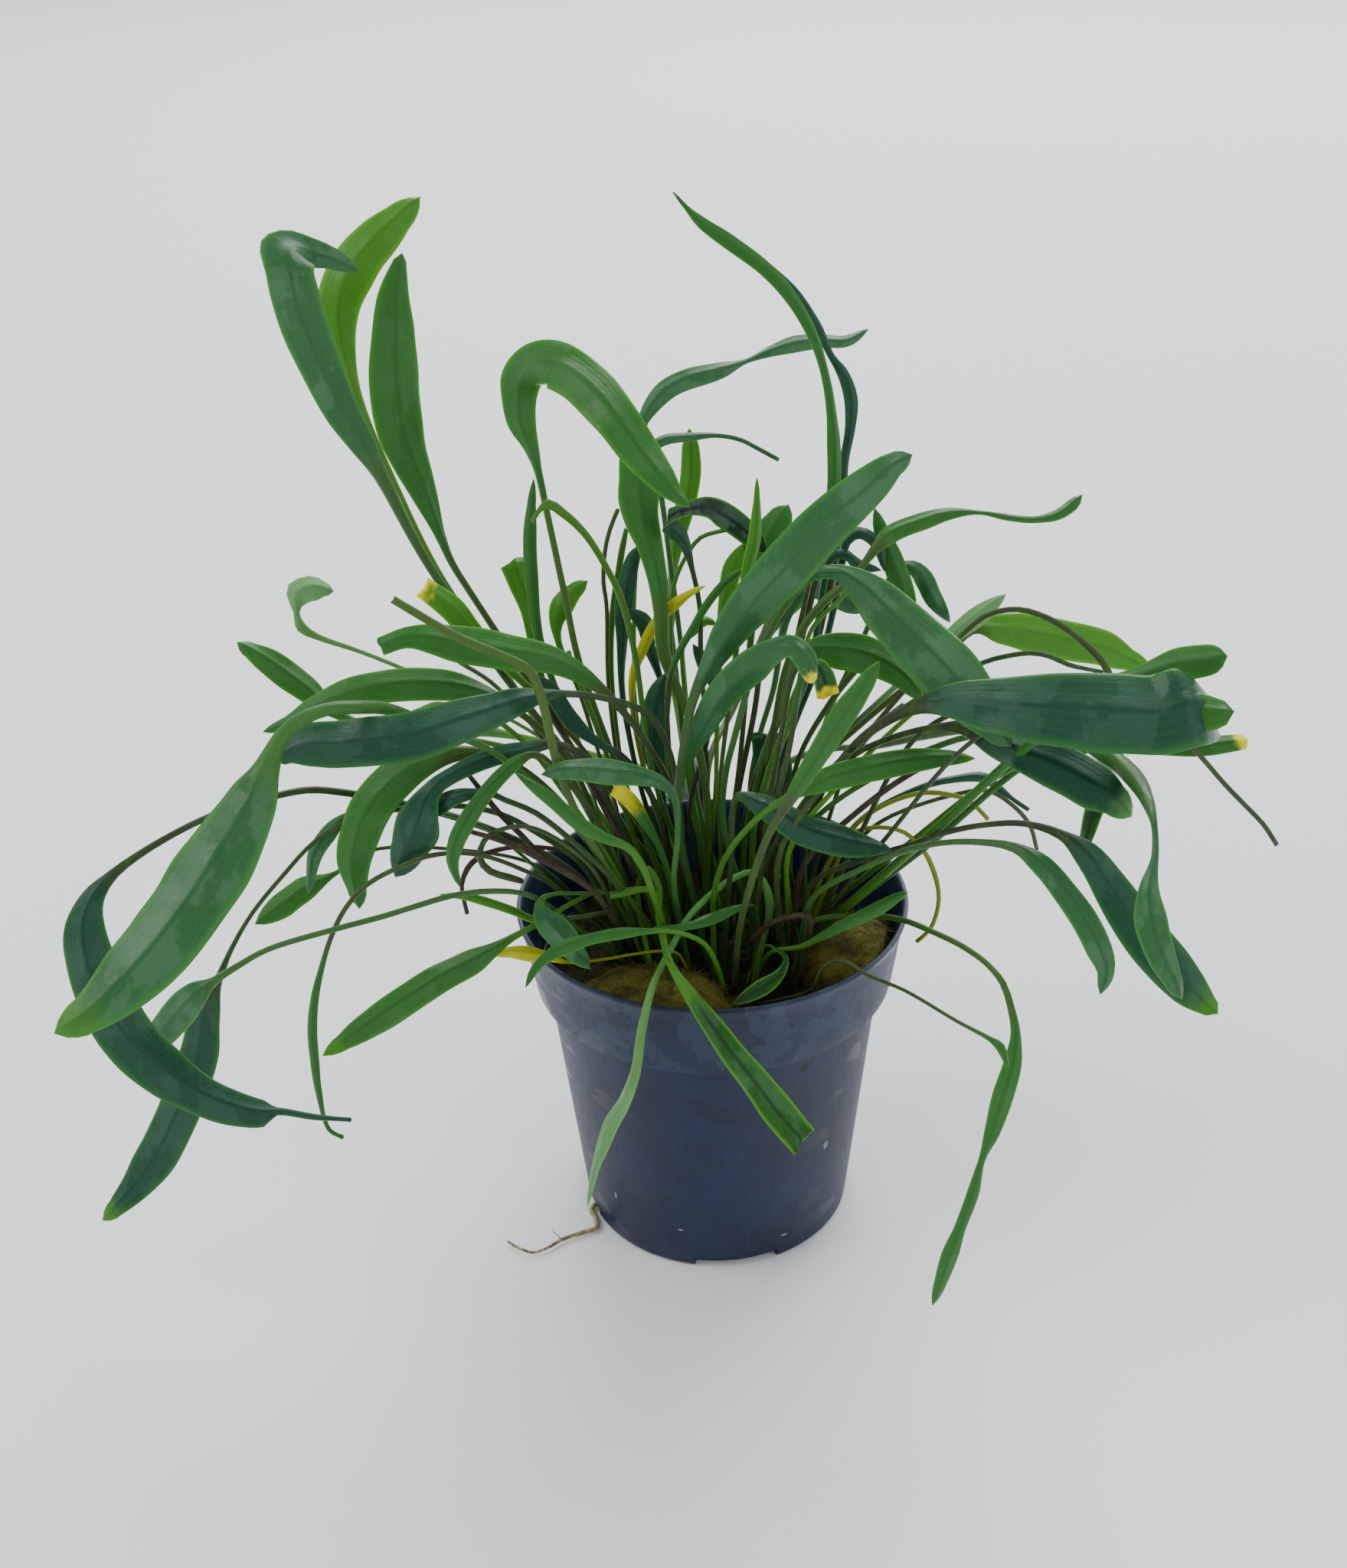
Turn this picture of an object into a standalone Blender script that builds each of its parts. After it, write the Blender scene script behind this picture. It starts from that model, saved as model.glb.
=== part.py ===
"""A potted cryptocoryne: a 9 cm nursery pot, a plug of mineral wool and a rosette of long-stalked leaves.

Real sizes are in millimetres and become metres when a mesh is made. The front of the plant faces -Y.
Each leaf follows a route of points as the reference view shows it: pixel x, pixel y, depth y in
millimetres, and the width across the leaf in pixels. Where two leaves would meet, they lean apart
along the line of sight until they are clear of each other.
"""
import math

import bmesh
import bpy
from mathutils import Matrix, Vector
from mathutils.bvhtree import BVHTree

MM = 0.001

# Pot
POT_HEIGHT = 84.0
RIM_RADIUS = 45.0
COLLAR_FOOT_RADIUS = 41.7
COLLAR_FOOT_HEIGHT = 64.6
BODY_TOP_RADIUS = 38.8
BASE_RADIUS = 32.2
WALL = 1.0
BASE_THICKNESS = 1.6
POT_STEPS = 40
NOTCH_AZIMUTHS = (8.0, 98.0, 188.0, 278.0)
NOTCH_SPREAD = 36.0
NOTCH_HEIGHT = 2.5
NOTCH_REACH = 2.2

# Mineral wool
WOOL_FLOOR = 66.3
WOOL_RADIUS = 40.2
WOOL_CLEARANCE = 0.35
WOOL_STEPS = 20
WOOL_RINGS = (0.0, 10.0, 19.0, 28.0, 35.0)
# Each lump of the wool's top: centre x, centre y, radius, height
WOOL_LUMPS = (
    (-15.0, -29.0, 23.0, 12.0),
    (33.0, -8.0, 17.0, 12.5),
    (0.0, -38.0, 9.0, 5.0),
)

# Leaves
BLADE_THICKNESS = 0.9
BLADE_FOLD = 0.10
CLEARANCE = 0.2
LONG_STEP = 26.0
SIDEWAYS_TURN = 1.0
# A blade that turns more sharply than this, as seen by the eye, folds over
FOLD_COSINE = 0.3
LEAST_HEIGHT = 2.0
SPREAD_ROUNDS = 160
SPREAD_STEP = 0.3
MOST_SWAY = 12.0
FOOT_SWAY = 3.0
# Neighbouring points of a leaf lean apart by no more than this share of their spacing, or it would buckle
LEAN_SLOPE = 0.25
LEAST_SLACK = 0.6
FOOT_CLEARANCE = 0.7

# Reference view: the eye in millimetres, the angles in degrees, and the picture in pixels
EYE = Vector((0.0, -367.6, 320.2))
VIEW_PITCH = 29.33
VIEW_YAW = -1.26
VIEW_ROLL = -1.68
FOCAL_PIXELS = 2472.0
PICTURE_CENTRE = (879.5, 1024.0)

TONES = {
    "dark": ((0.020, 0.085, 0.055), 0.34),
    "mid": ((0.055, 0.19, 0.060), 0.38),
    "bright": ((0.19, 0.40, 0.055), 0.42),
    "grey": ((0.10, 0.24, 0.17), 0.36),
    "yellow": ((0.62, 0.50, 0.035), 0.48),
    "pale": ((0.34, 0.50, 0.32), 0.50),
    "dry": ((0.13, 0.085, 0.055), 0.70),
}

# Every leaf: tone, place of its foot on the wool, first point of its blade, and its route
LEAVES = {
    "leaf_back_bright": ("bright", (-8, 9), 5, (
        (640, 850, 28, 9), (568, 740, 30, 9), (505, 610, 32, 10), (465, 520, 36, 18), (447, 455, 40, 34),
        (442, 400, 43, 56), (462, 350, 46, 62), (490, 315, 49, 54), (520, 285, 52, 38), (548, 258, 55, 0))),
    "leaf_folded_left": ("dark", (-11, 3), 6, (
        (820, 1090, 4, 10), (740, 985, 6, 10), (660, 885, 8, 10), (550, 722, 9, 12), (498, 622, 7, 20),
        (470, 575, 5, 36), (448, 540, 4, 46), (420, 480, 2, 56), (398, 425, 0, 63), (385, 385, -2, 62),
        (379, 358, -3, 60), (376, 331, 1, 68), (404, 330, 7, 40), (432, 337, 9, 29), (468, 353, 11, 0))),
    "leaf_upright_left": ("mid", (-6, 6), 5, (
        (800, 1060, 8, 9), (700, 905, 14, 9), (615, 775, 17, 9), (590, 735, 18, 10), (575, 700, 18, 14),
        (552, 640, 18, 36), (535, 600, 18, 50), (522, 560, 18, 60), (514, 490, 18, 66), (513, 430, 18, 54),
        (514, 385, 18, 40), (520, 350, 18, 22), (525, 331, 18, 0))),
    "leaf_arch_centre": ("mid", (-7, -1), 6, (
        (850, 1110, 0, 8), (790, 960, 3, 8), (755, 860, 5, 9), (738, 780, 5, 9), (714, 668, 1, 9),
        (704, 620, -2, 10), (694, 585, -4, 20), (682, 555, -4, 36), (678, 520, -5, 46), (682, 494, -7, 52),
        (704, 474, -13, 56), (738, 483, -22, 62), (770, 507, -28, 64), (803, 545, -34, 57),
        (835, 590, -38, 52), (865, 627, -42, 38), (885, 650, -44, 18), (900, 662, -45, 0))),
    "leaf_tall_upright": ("mid", (-3, 2), 6, (
        (925, 1060, 0, 10), (905, 950, 1, 12), (880, 890, 2, 14), (866, 850, 2, 18), (863, 800, 2, 20),
        (858, 755, 3, 26), (848, 715, 4, 32), (838, 680, 5, 44), (834, 645, 6, 54), (832, 615, 7, 50),
        (822, 590, 8, 30), (812, 570, 9, 0))),
    "leaf_slender_right": ("pale", (2, 8), 6, (
        (905, 1050, 14, 8), (885, 900, 18, 8), (868, 760, 22, 9), (850, 640, 22, 10), (838, 560, 22, 12),
        (848, 535, 23, 20), (870, 510, 25, 27), (900, 495, 27, 28), (940, 484, 30, 22), (975, 472, 34, 6),
        (1005, 460, 37, 14), (1040, 449, 40, 22), (1075, 446, 43, 18), (1105, 446, 46, 15),
        (1133, 431, 50, 0))),
    "leaf_dry_tip": ("dry", (5, 10), 5, (
        (910, 1040, 20, 7), (890, 850, 26, 7), (862, 640, 28, 8), (850, 590, 29, 12), (865, 576, 30, 14),
        (900, 571, 33, 12), (935, 569, 37, 6), (965, 574, 40, 3), (990, 586, 43, 2), (1016, 600, 45, 1.5))),
    "leaf_yellow_green_upright": ("bright", (3, 12), 6, (
        (905, 1060, 22, 7), (885, 930, 32, 8), (873, 860, 38, 8), (878, 800, 40, 9), (878, 750, 42, 12),
        (882, 710, 43, 22), (895, 660, 44, 26), (902, 620, 45, 27), (902, 590, 45, 24), (900, 560, 45, 0))),
    "leaf_long_top": ("mid", (12, 4), 5, (
        (985, 1060, 10, 8), (1030, 900, 16, 8), (1060, 780, 20, 9), (1078, 700, 22, 12), (1088, 640, 24, 17),
        (1089, 590, 25, 18), (1085, 535, 26, 13), (1076, 485, 27, 11), (1062, 440, 28, 14),
        (1035, 392, 27, 17), (1000, 352, 26, 19), (955, 318, 24, 20), (915, 290, 22, 15), (895, 270, 21, 6),
        (879, 251, 20, 0))),
    "leaf_long_top_pair": ("dark", (15, 7), 5, (
        (1000, 1050, 18, 8), (1050, 900, 28, 8), (1085, 760, 34, 9), (1100, 650, 38, 10), (1103, 600, 40, 12),
        (1110, 560, 41, 14), (1111, 520, 42, 18), (1100, 487, 42, 15), (1085, 465, 41, 9),
        (1066, 425, 40, 12), (1040, 385, 39, 12), (1005, 350, 38, 9), (960, 312, 37, 0))),
    "leaf_big_diagonal": ("dark", (-1, -7), 6, (
        (905, 1175, -9, 9), (888, 1100, -12, 10), (886, 1030, -14, 10), (895, 960, -16, 11),
        (908, 905, -18, 14), (928, 868, -19, 28), (950, 830, -21, 44), (985, 785, -23, 60),
        (1025, 742, -25, 68), (1065, 698, -27, 66), (1105, 660, -29, 60), (1140, 630, -31, 50),
        (1168, 606, -33, 32), (1191, 594, -34, 0))),
    "leaf_folded_dark": ("dark", (1, 3), 6, (
        (925, 1050, 3, 6), (920, 930, 5, 6), (915, 850, 6, 7), (914, 795, 6, 7), (905, 748, 6, 7),
        (893, 708, 6, 16), (881, 692, 5, 26), (868, 679, 2, 24), (890, 667, -1, 16), (920, 662, 2, 26),
        (950, 676, 8, 34), (980, 700, 10, 30), (1000, 722, 12, 0))),
    "leaf_left_point": ("mid", (-14, 8), 4, (
        (720, 1000, 14, 7), (580, 960, 18, 8), (470, 945, 21, 10), (430, 925, 22, 20), (400, 900, 24, 34),
        (375, 882, 25, 38), (350, 864, 26, 34), (328, 850, 27, 22), (310, 840, 28, 0))),
    "leaf_arch_upper_left": ("dark", (-15, 2), 3, (
        (740, 990, -4, 8), (670, 925, -8, 10), (630, 905, -9, 24), (580, 895, -10, 40), (520, 895, -11, 44),
        (460, 905, -12, 40), (410, 925, -12, 30), (375, 945, -12, 18), (345, 956, -12, 0))),
    "leaf_big_dark_left": ("dark", (-9, -6), 6, (
        (890, 1080, -8, 8), (872, 975, -12, 8), (845, 932, -15, 9), (790, 912, -19, 9), (740, 906, -22, 10),
        (705, 909, -24, 20), (680, 915, -26, 34), (640, 929, -28, 48), (590, 945, -30, 60),
        (540, 962, -31, 64), (490, 968, -32, 66), (440, 972, -33, 62), (400, 974, -34, 54),
        (375, 983, -35, 30), (360, 995, -36, 0))),
    "leaf_big_front_left": ("grey", (-10, -9), 11, (
        (760, 1090, -14, 8), (640, 980, -18, 9), (560, 948, -24, 12), (532, 934, -29, 14),
        (500, 925, -38, 17), (470, 924, -42, 18), (425, 927, -46, 18), (390, 942, -48, 20),
        (366, 965, -50, 22), (350, 1000, -53, 34), (330, 1045, -57, 66), (305, 1090, -62, 84),
        (275, 1140, -66, 96), (240, 1192, -71, 96), (200, 1243, -76, 90), (155, 1290, -80, 76),
        (112, 1326, -83, 50), (72, 1350, -85, 0))),
    "leaf_torn_left": ("dark", (-5, -4), 4, (
        (880, 1040, -6, 8), (830, 950, -10, 9), (790, 905, -12, 14), (760, 882, -13, 24),
        (720, 862, -14, 36), (680, 855, -15, 46), (640, 848, -15, 50), (600, 842, -16, 48),
        (560, 834, -17, 38), (530, 833, -17, 28), (497, 845, -18, 24))),
    "leaf_stalk_cut_left": ("bright", (-8, -8), 99, (
        (790, 1130, -24, 9), (752, 1060, -28, 10), (728, 1000, -30, 11), (705, 905, -32, 13),
        (690, 875, -32, 13), (655, 856, -31, 12), (600, 833, -30, 12), (513, 783, -30, 11))),
    "leaf_hanging_bright": ("bright", (-14, -2), 5, (
        (760, 1080, -6, 8), (690, 1010, -9, 9), (640, 985, -11, 12), (590, 985, -13, 24),
        (550, 997, -14, 40), (515, 1020, -15, 52), (485, 1055, -16, 56), (468, 1095, -17, 52),
        (462, 1130, -18, 42), (466, 1160, -19, 26), (470, 1186, -20, 0))),
    "leaf_folded_teal": ("dark", (-12, -3), 4, (
        (800, 1060, -13, 8), (765, 990, -16, 9), (725, 972, -18, 12), (690, 978, -19, 20),
        (655, 986, -20, 25), (620, 998, -20, 24), (590, 1013, -21, 22), (568, 1028, -22, 24),
        (556, 1050, -23, 40), (546, 1080, -24, 62), (532, 1110, -25, 46), (517, 1145, -25, 0))),
    "leaf_olive_twist": ("mid", (-15, -5), 4, (
        (790, 1090, -18, 7), (735, 1015, -22, 7), (700, 985, -24, 8), (672, 998, -25, 18),
        (650, 1018, -26, 20), (628, 1045, -27, 22), (610, 1073, -28, 24), (596, 1100, -29, 22),
        (591, 1125, -30, 16), (595, 1142, -30, 10), (601, 1157, -30, 0))),
    "leaf_far_left_hook": ("dark", (-17, -4), 12, (
        (760, 1150, -8, 10), (700, 1110, -6, 10), (600, 1069, -6, 10), (498, 1044, -8, 10),
        (440, 1034, -11, 10), (400, 1032, -15, 10), (340, 1045, -22, 9), (275, 1066, -30, 9),
        (235, 1085, -35, 9), (190, 1111, -40, 10), (150, 1140, -45, 14), (122, 1172, -49, 30),
        (112, 1210, -52, 50), (118, 1255, -54, 62), (140, 1310, -55, 68), (170, 1358, -55, 70),
        (212, 1398, -54, 64), (262, 1430, -52, 52), (310, 1449, -50, 44), (345, 1455, -49, 34),
        (362, 1452, -48, 10), (410, 1459, -46, 8), (458, 1463, -44, 4))),
    "leaf_low_left": ("dark", (-18, -8), 12, (
        (760, 1130, -12, 7), (700, 1087, -12, 8), (650, 1062, -12, 8), (590, 1052, -12, 8),
        (520, 1057, -13, 7), (455, 1072, -15, 7), (410, 1100, -17, 6), (370, 1143, -19, 6),
        (330, 1192, -21, 6), (302, 1240, -22, 7), (285, 1280, -23, 12), (268, 1325, -24, 40),
        (262, 1370, -25, 50), (248, 1415, -27, 52), (230, 1460, -29, 56), (208, 1505, -31, 54),
        (180, 1545, -33, 42), (152, 1577, -35, 24), (135, 1594, -36, 0))),
    "leaf_pale_triangle": ("pale", (-19, -12), 10, (
        (690, 1169, -28, 7), (640, 1164, -30, 8), (590, 1170, -32, 8), (545, 1183, -34, 8),
        (500, 1197, -35, 8), (440, 1213, -37, 8), (350, 1240, -39, 8), (310, 1262, -39, 9),
        (280, 1281, -39, 12), (258, 1298, -39, 34), (238, 1318, -38, 44), (215, 1345, -37, 40),
        (192, 1375, -36, 22), (180, 1395, -35, 0))),
    "leaf_hanging_thin": ("mid", (-17, -10), 10, (
        (720, 1155, -20, 6), (680, 1135, -22, 6), (640, 1120, -24, 6), (600, 1114, -25, 6),
        (560, 1118, -26, 7), (525, 1131, -26, 7), (480, 1155, -27, 7), (450, 1188, -28, 7),
        (432, 1225, -29, 7), (420, 1265, -29, 8), (411, 1305, -30, 11), (408, 1345, -30, 13),
        (411, 1385, -30, 12), (416, 1425, -30, 9), (430, 1476, -30, 3), (448, 1486, -30, 1.5))),
    "leaf_narrow_green_left": ("bright", (-16, -9), 3, (
        (800, 1193, -14, 6), (760, 1198, -17, 7), (700, 1202, -21, 9), (670, 1190, -23, 11),
        (635, 1178, -25, 12), (605, 1171, -27, 9), (575, 1169, -29, 0))),
    "leaf_low_front_left": ("mid", (-15, -14), 6, (
        (790, 1165, -18, 6), (750, 1178, -21, 6), (728, 1191, -23, 7), (700, 1208, -26, 8),
        (670, 1224, -30, 10), (645, 1240, -34, 18), (615, 1257, -38, 34), (580, 1275, -43, 38),
        (545, 1297, -48, 40), (510, 1320, -52, 40), (475, 1343, -56, 34), (448, 1362, -59, 22),
        (422, 1379, -62, 0))),
    "leaf_grey_over_rim": ("grey", (-12, -11), 6, (
        (840, 1162, -14, 5), (795, 1167, -17, 5), (750, 1167, -20, 5), (722, 1168, -22, 6),
        (706, 1176, -24, 10), (708, 1192, -26, 24), (722, 1210, -29, 38), (738, 1228, -33, 38),
        (752, 1245, -36, 26), (770, 1265, -39, 0))),
    "leaf_front_over_rim": ("bright", (2, -24), 6, (
        (945, 1290, -30, 6), (935, 1258, -32, 7), (920, 1233, -33, 7), (900, 1222, -34, 7),
        (870, 1216, -35, 6), (840, 1217, -36, 9), (805, 1220, -37, 16), (770, 1227, -38, 15),
        (740, 1237, -40, 20), (715, 1250, -42, 15), (698, 1267, -44, 11), (687, 1289, -47, 0))),
    "leaf_front_bent_stalk": ("pale", (8, -12), 13, (
        (1000, 1215, -12, 8), (1005, 1180, -11, 12), (997, 1152, -10, 10), (984, 1139, -8, 9),
        (960, 1146, -12, 9), (930, 1167, -18, 9), (900, 1197, -24, 9), (878, 1235, -29, 9),
        (860, 1270, -36, 9), (850, 1295, -43, 10), (838, 1345, -50, 12), (830, 1400, -52, 14),
        (815, 1440, -53, 17), (800, 1465, -53, 20), (790, 1490, -53, 18), (778, 1525, -52, 10),
        (768, 1573, -50, 0))),
    "leaf_front_cut": ("bright", (-14, -16), 8, (
        (832, 1162, -8, 8), (846, 1134, -13, 8), (861, 1160, -18, 9), (860, 1185, -20, 10),
        (866, 1225, -30, 10), (876, 1260, -38, 11), (897, 1293, -44, 18), (925, 1332, -50, 26),
        (955, 1373, -54, 33), (985, 1410, -57, 38), (1015, 1450, -59, 44), (1050, 1490, -60, 42))),
    "leaf_wavy_right": ("bright", (16, 2), 7, (
        (1000, 1040, 4, 7), (1030, 860, 6, 8), (1065, 800, 7, 8), (1105, 762, 8, 8), (1124, 742, 9, 9),
        (1142, 718, 11, 14), (1165, 697, 13, 24), (1200, 683, 15, 24), (1240, 671, 17, 16),
        (1280, 670, 19, 5), (1315, 676, 21, 9), (1350, 679, 23, 9), (1380, 673, 25, 14),
        (1400, 660, 27, 16), (1413, 647, 28, 0))),
    "leaf_wide_right": ("grey", (13, -5), 5, (
        (945, 1080, -6, 8), (960, 960, -10, 9), (990, 860, -13, 9), (1030, 785, -15, 9),
        (1062, 752, -16, 14), (1095, 748, -18, 22), (1130, 770, -21, 46), (1160, 800, -25, 66),
        (1195, 835, -29, 76), (1235, 875, -34, 80), (1270, 915, -38, 70), (1300, 950, -41, 40),
        (1320, 975, -43, 0))),
    "leaf_wide_front_right": ("dark", (12, -6), 7, (
        (1010, 1150, -10, 9), (1050, 1080, -14, 9), (1090, 1005, -23, 10), (1125, 965, -31, 12),
        (1160, 940, -36, 14), (1200, 922, -43, 22), (1240, 915, -48, 44), (1290, 920, -52, 70),
        (1340, 925, -55, 86), (1400, 928, -57, 98), (1460, 932, -59, 108), (1510, 934, -60, 104),
        (1545, 925, -61, 104), (1562, 923, -58, 100), (1571, 922, -52, 90), (1573, 922, -46, 40))),
    "leaf_dark_right": ("dark", (17, -9), 7, (
        (1000, 1130, -10, 8), (1060, 1040, -13, 8), (1110, 990, -17, 8), (1160, 965, -23, 8),
        (1220, 950, -30, 9), (1258, 950, -34, 20), (1300, 968, -39, 40), (1340, 985, -43, 52),
        (1385, 1003, -45, 62), (1425, 1025, -47, 62), (1455, 1045, -49, 42), (1477, 1066, -50, 0))),
    "leaf_bright_right": ("bright", (18, 4), 5, (
        (1030, 1040, 6, 7), (1120, 950, 12, 8), (1230, 860, 18, 10), (1270, 824, 19, 10),
        (1300, 822, 20, 36), (1350, 828, 22, 52), (1400, 838, 24, 50), (1445, 848, 26, 46),
        (1475, 862, 27, 28), (1505, 876, 28, 0))),
    "leaf_behind_right": ("mid", (24, -6), 3, (
        (1200, 960, -20, 7), (1380, 905, -35, 10), (1480, 885, -42, 24), (1540, 868, -46, 44),
        (1580, 862, -48, 40), (1603, 857, -49, 0))),
    "leaf_droop_upper_right": ("grey", (21, -7), 8, (
        (1030, 1110, -8, 7), (1150, 1010, -16, 8), (1280, 960, -29, 9), (1400, 965, -36, 14),
        (1450, 990, -43, 26), (1480, 1015, -52, 26), (1500, 1050, -62, 17), (1508, 1085, -70, 8),
        (1508, 1120, -74, 10), (1500, 1160, -78, 26), (1503, 1205, -81, 42), (1515, 1245, -83, 38),
        (1530, 1278, -85, 26), (1542, 1304, -86, 0))),
    "leaf_droop_dark": ("dark", (22, -10), 8, (
        (1060, 1155, -16, 8), (1130, 1122, -22, 8), (1190, 1103, -28, 8), (1240, 1086, -33, 8),
        (1290, 1077, -38, 8), (1340, 1076, -43, 9), (1385, 1090, -47, 14), (1418, 1115, -51, 34),
        (1450, 1160, -55, 48), (1485, 1210, -59, 58), (1520, 1255, -63, 60), (1552, 1290, -66, 50),
        (1575, 1312, -68, 30), (1590, 1324, -70, 0))),
    "leaf_droop_grey": ("grey", (21, -14), 7, (
        (1060, 1175, -22, 8), (1130, 1133, -29, 8), (1180, 1112, -34, 8), (1230, 1101, -39, 8),
        (1280, 1100, -44, 9), (1325, 1107, -48, 14), (1360, 1130, -52, 28), (1390, 1165, -56, 33),
        (1415, 1200, -60, 35), (1435, 1240, -63, 33), (1444, 1270, -65, 22), (1437, 1298, -67, 0))),
    "leaf_lowest_right": ("mid", (19, -13), 10, (
        (1060, 1205, -14, 8), (1110, 1197, -16, 8), (1150, 1197, -18, 8), (1180, 1202, -24, 8),
        (1220, 1218, -35, 8), (1260, 1238, -48, 8), (1290, 1260, -55, 8), (1310, 1285, -60, 9),
        (1320, 1315, -62, 10), (1326, 1350, -64, 13), (1322, 1390, -66, 24), (1310, 1430, -68, 28),
        (1295, 1480, -68, 20), (1282, 1515, -68, 9), (1270, 1560, -68, 16), (1255, 1600, -68, 15),
        (1240, 1640, -68, 22), (1228, 1675, -67, 16), (1218, 1703, -66, 0))),
    "leaf_thin_front_right": ("mid", (10, -20), 8, (
        (1062, 1290, -30, 5), (1070, 1270, -30, 5), (1085, 1256, -30, 5), (1105, 1256, -32, 5),
        (1130, 1272, -36, 5), (1180, 1293, -45, 5), (1250, 1334, -60, 5), (1290, 1356, -66, 6),
        (1306, 1368, -69, 12), (1316, 1394, -70, 0))),
    "leaf_right_over_rim": ("mid", (8, -16), 3, (
        (1008, 1243, -22, 6), (1045, 1237, -24, 8), (1085, 1217, -25, 12), (1120, 1200, -26, 16),
        (1150, 1185, -27, 18), (1172, 1172, -28, 12), (1185, 1166, -29, 0))),
    "leaf_yellow_tip": ("mid", (0, -12), 5, (
        (932, 1170, -17, 8), (945, 1125, -22, 8), (975, 1083, -27, 8), (1010, 1053, -30, 9),
        (1040, 1036, -31, 14), (1075, 1020, -32, 30), (1110, 1010, -32, 36), (1150, 1001, -32, 36),
        (1190, 994, -31, 32), (1230, 990, -31, 22), (1272, 991, -30, 0))),
    "leaf_dark_crossing": ("dark", (2, -10), 5, (
        (950, 1190, -14, 7), (955, 1110, -17, 8), (957, 1060, -19, 9), (963, 1041, -20, 12),
        (985, 1048, -21, 26), (1015, 1063, -22, 36), (1050, 1085, -23, 42), (1090, 1097, -24, 42),
        (1125, 1105, -25, 32), (1150, 1108, -26, 16), (1163, 1110, -26, 0))),
    "leaf_narrow_rising_right": ("bright", (4, -18), 6, (
        (960, 1275, -26, 8), (966, 1212, -30, 9), (985, 1140, -34, 10), (1003, 1092, -36, 10),
        (1025, 1055, -37, 14), (1050, 1015, -38, 24), (1075, 975, -39, 30), (1100, 935, -40, 34),
        (1125, 900, -41, 26), (1148, 864, -42, 0))),
    "leaf_round_back": ("mid", (11, -8), 4, (
        (1000, 1080, -10, 8), (1020, 960, -14, 8), (1035, 880, -16, 10), (1055, 850, -17, 22),
        (1090, 850, -18, 46), (1125, 855, -19, 52), (1158, 868, -21, 44), (1185, 888, -23, 32),
        (1205, 914, -25, 0))),
    "leaf_wet_fold": ("grey", (-2, -4), 3, (
        (885, 1060, -8, 8), (890, 1010, -12, 14), (915, 955, -18, 30), (945, 905, -24, 42),
        (980, 872, -29, 46), (1012, 850, -33, 34), (1035, 845, -35, 30), (1052, 862, -37, 32),
        (1060, 890, -38, 14))),
    "leaf_upright_right": ("mid", (19, 2), 3, (
        (1040, 1000, 8, 7), (1140, 850, 16, 10), (1185, 800, 19, 18), (1178, 768, 20, 30),
        (1165, 730, 21, 28), (1152, 698, 22, 20), (1142, 664, 23, 0))),
    "leaf_rear_left": ("mid", (-6, 16), 4, (
        (850, 1015, 38, 9), (770, 985, 56, 9), (690, 965, 72, 9), (640, 956, 80, 14), (600, 948, 86, 40),
        (570, 945, 91, 56), (545, 945, 95, 40), (525, 950, 98, 0))),
    "leaf_rear_centre": ("mid", (0, 17), 4, (
        (925, 1000, 40, 9), (960, 920, 62, 9), (1000, 830, 80, 16), (1030, 780, 86, 44),
        (1060, 740, 90, 60), (1085, 710, 93, 40), (1100, 690, 95, 0))),
    "leaf_rear_right": ("dark", (8, 15), 4, (
        (1020, 1005, 38, 9), (1140, 975, 56, 9), (1250, 952, 72, 16), (1330, 940, 80, 46),
        (1400, 935, 85, 62), (1450, 930, 89, 44), (1490, 928, 92, 0))),
    "leaf_rear_hanging": ("dark", (-2, 21), 4, (
        (912, 1010, 40, 9), (904, 990, 58, 9), (896, 998, 74, 12), (890, 1030, 86, 34),
        (885, 1085, 93, 50), (880, 1135, 95, 46), (878, 1170, 95, 0))),
}

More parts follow.
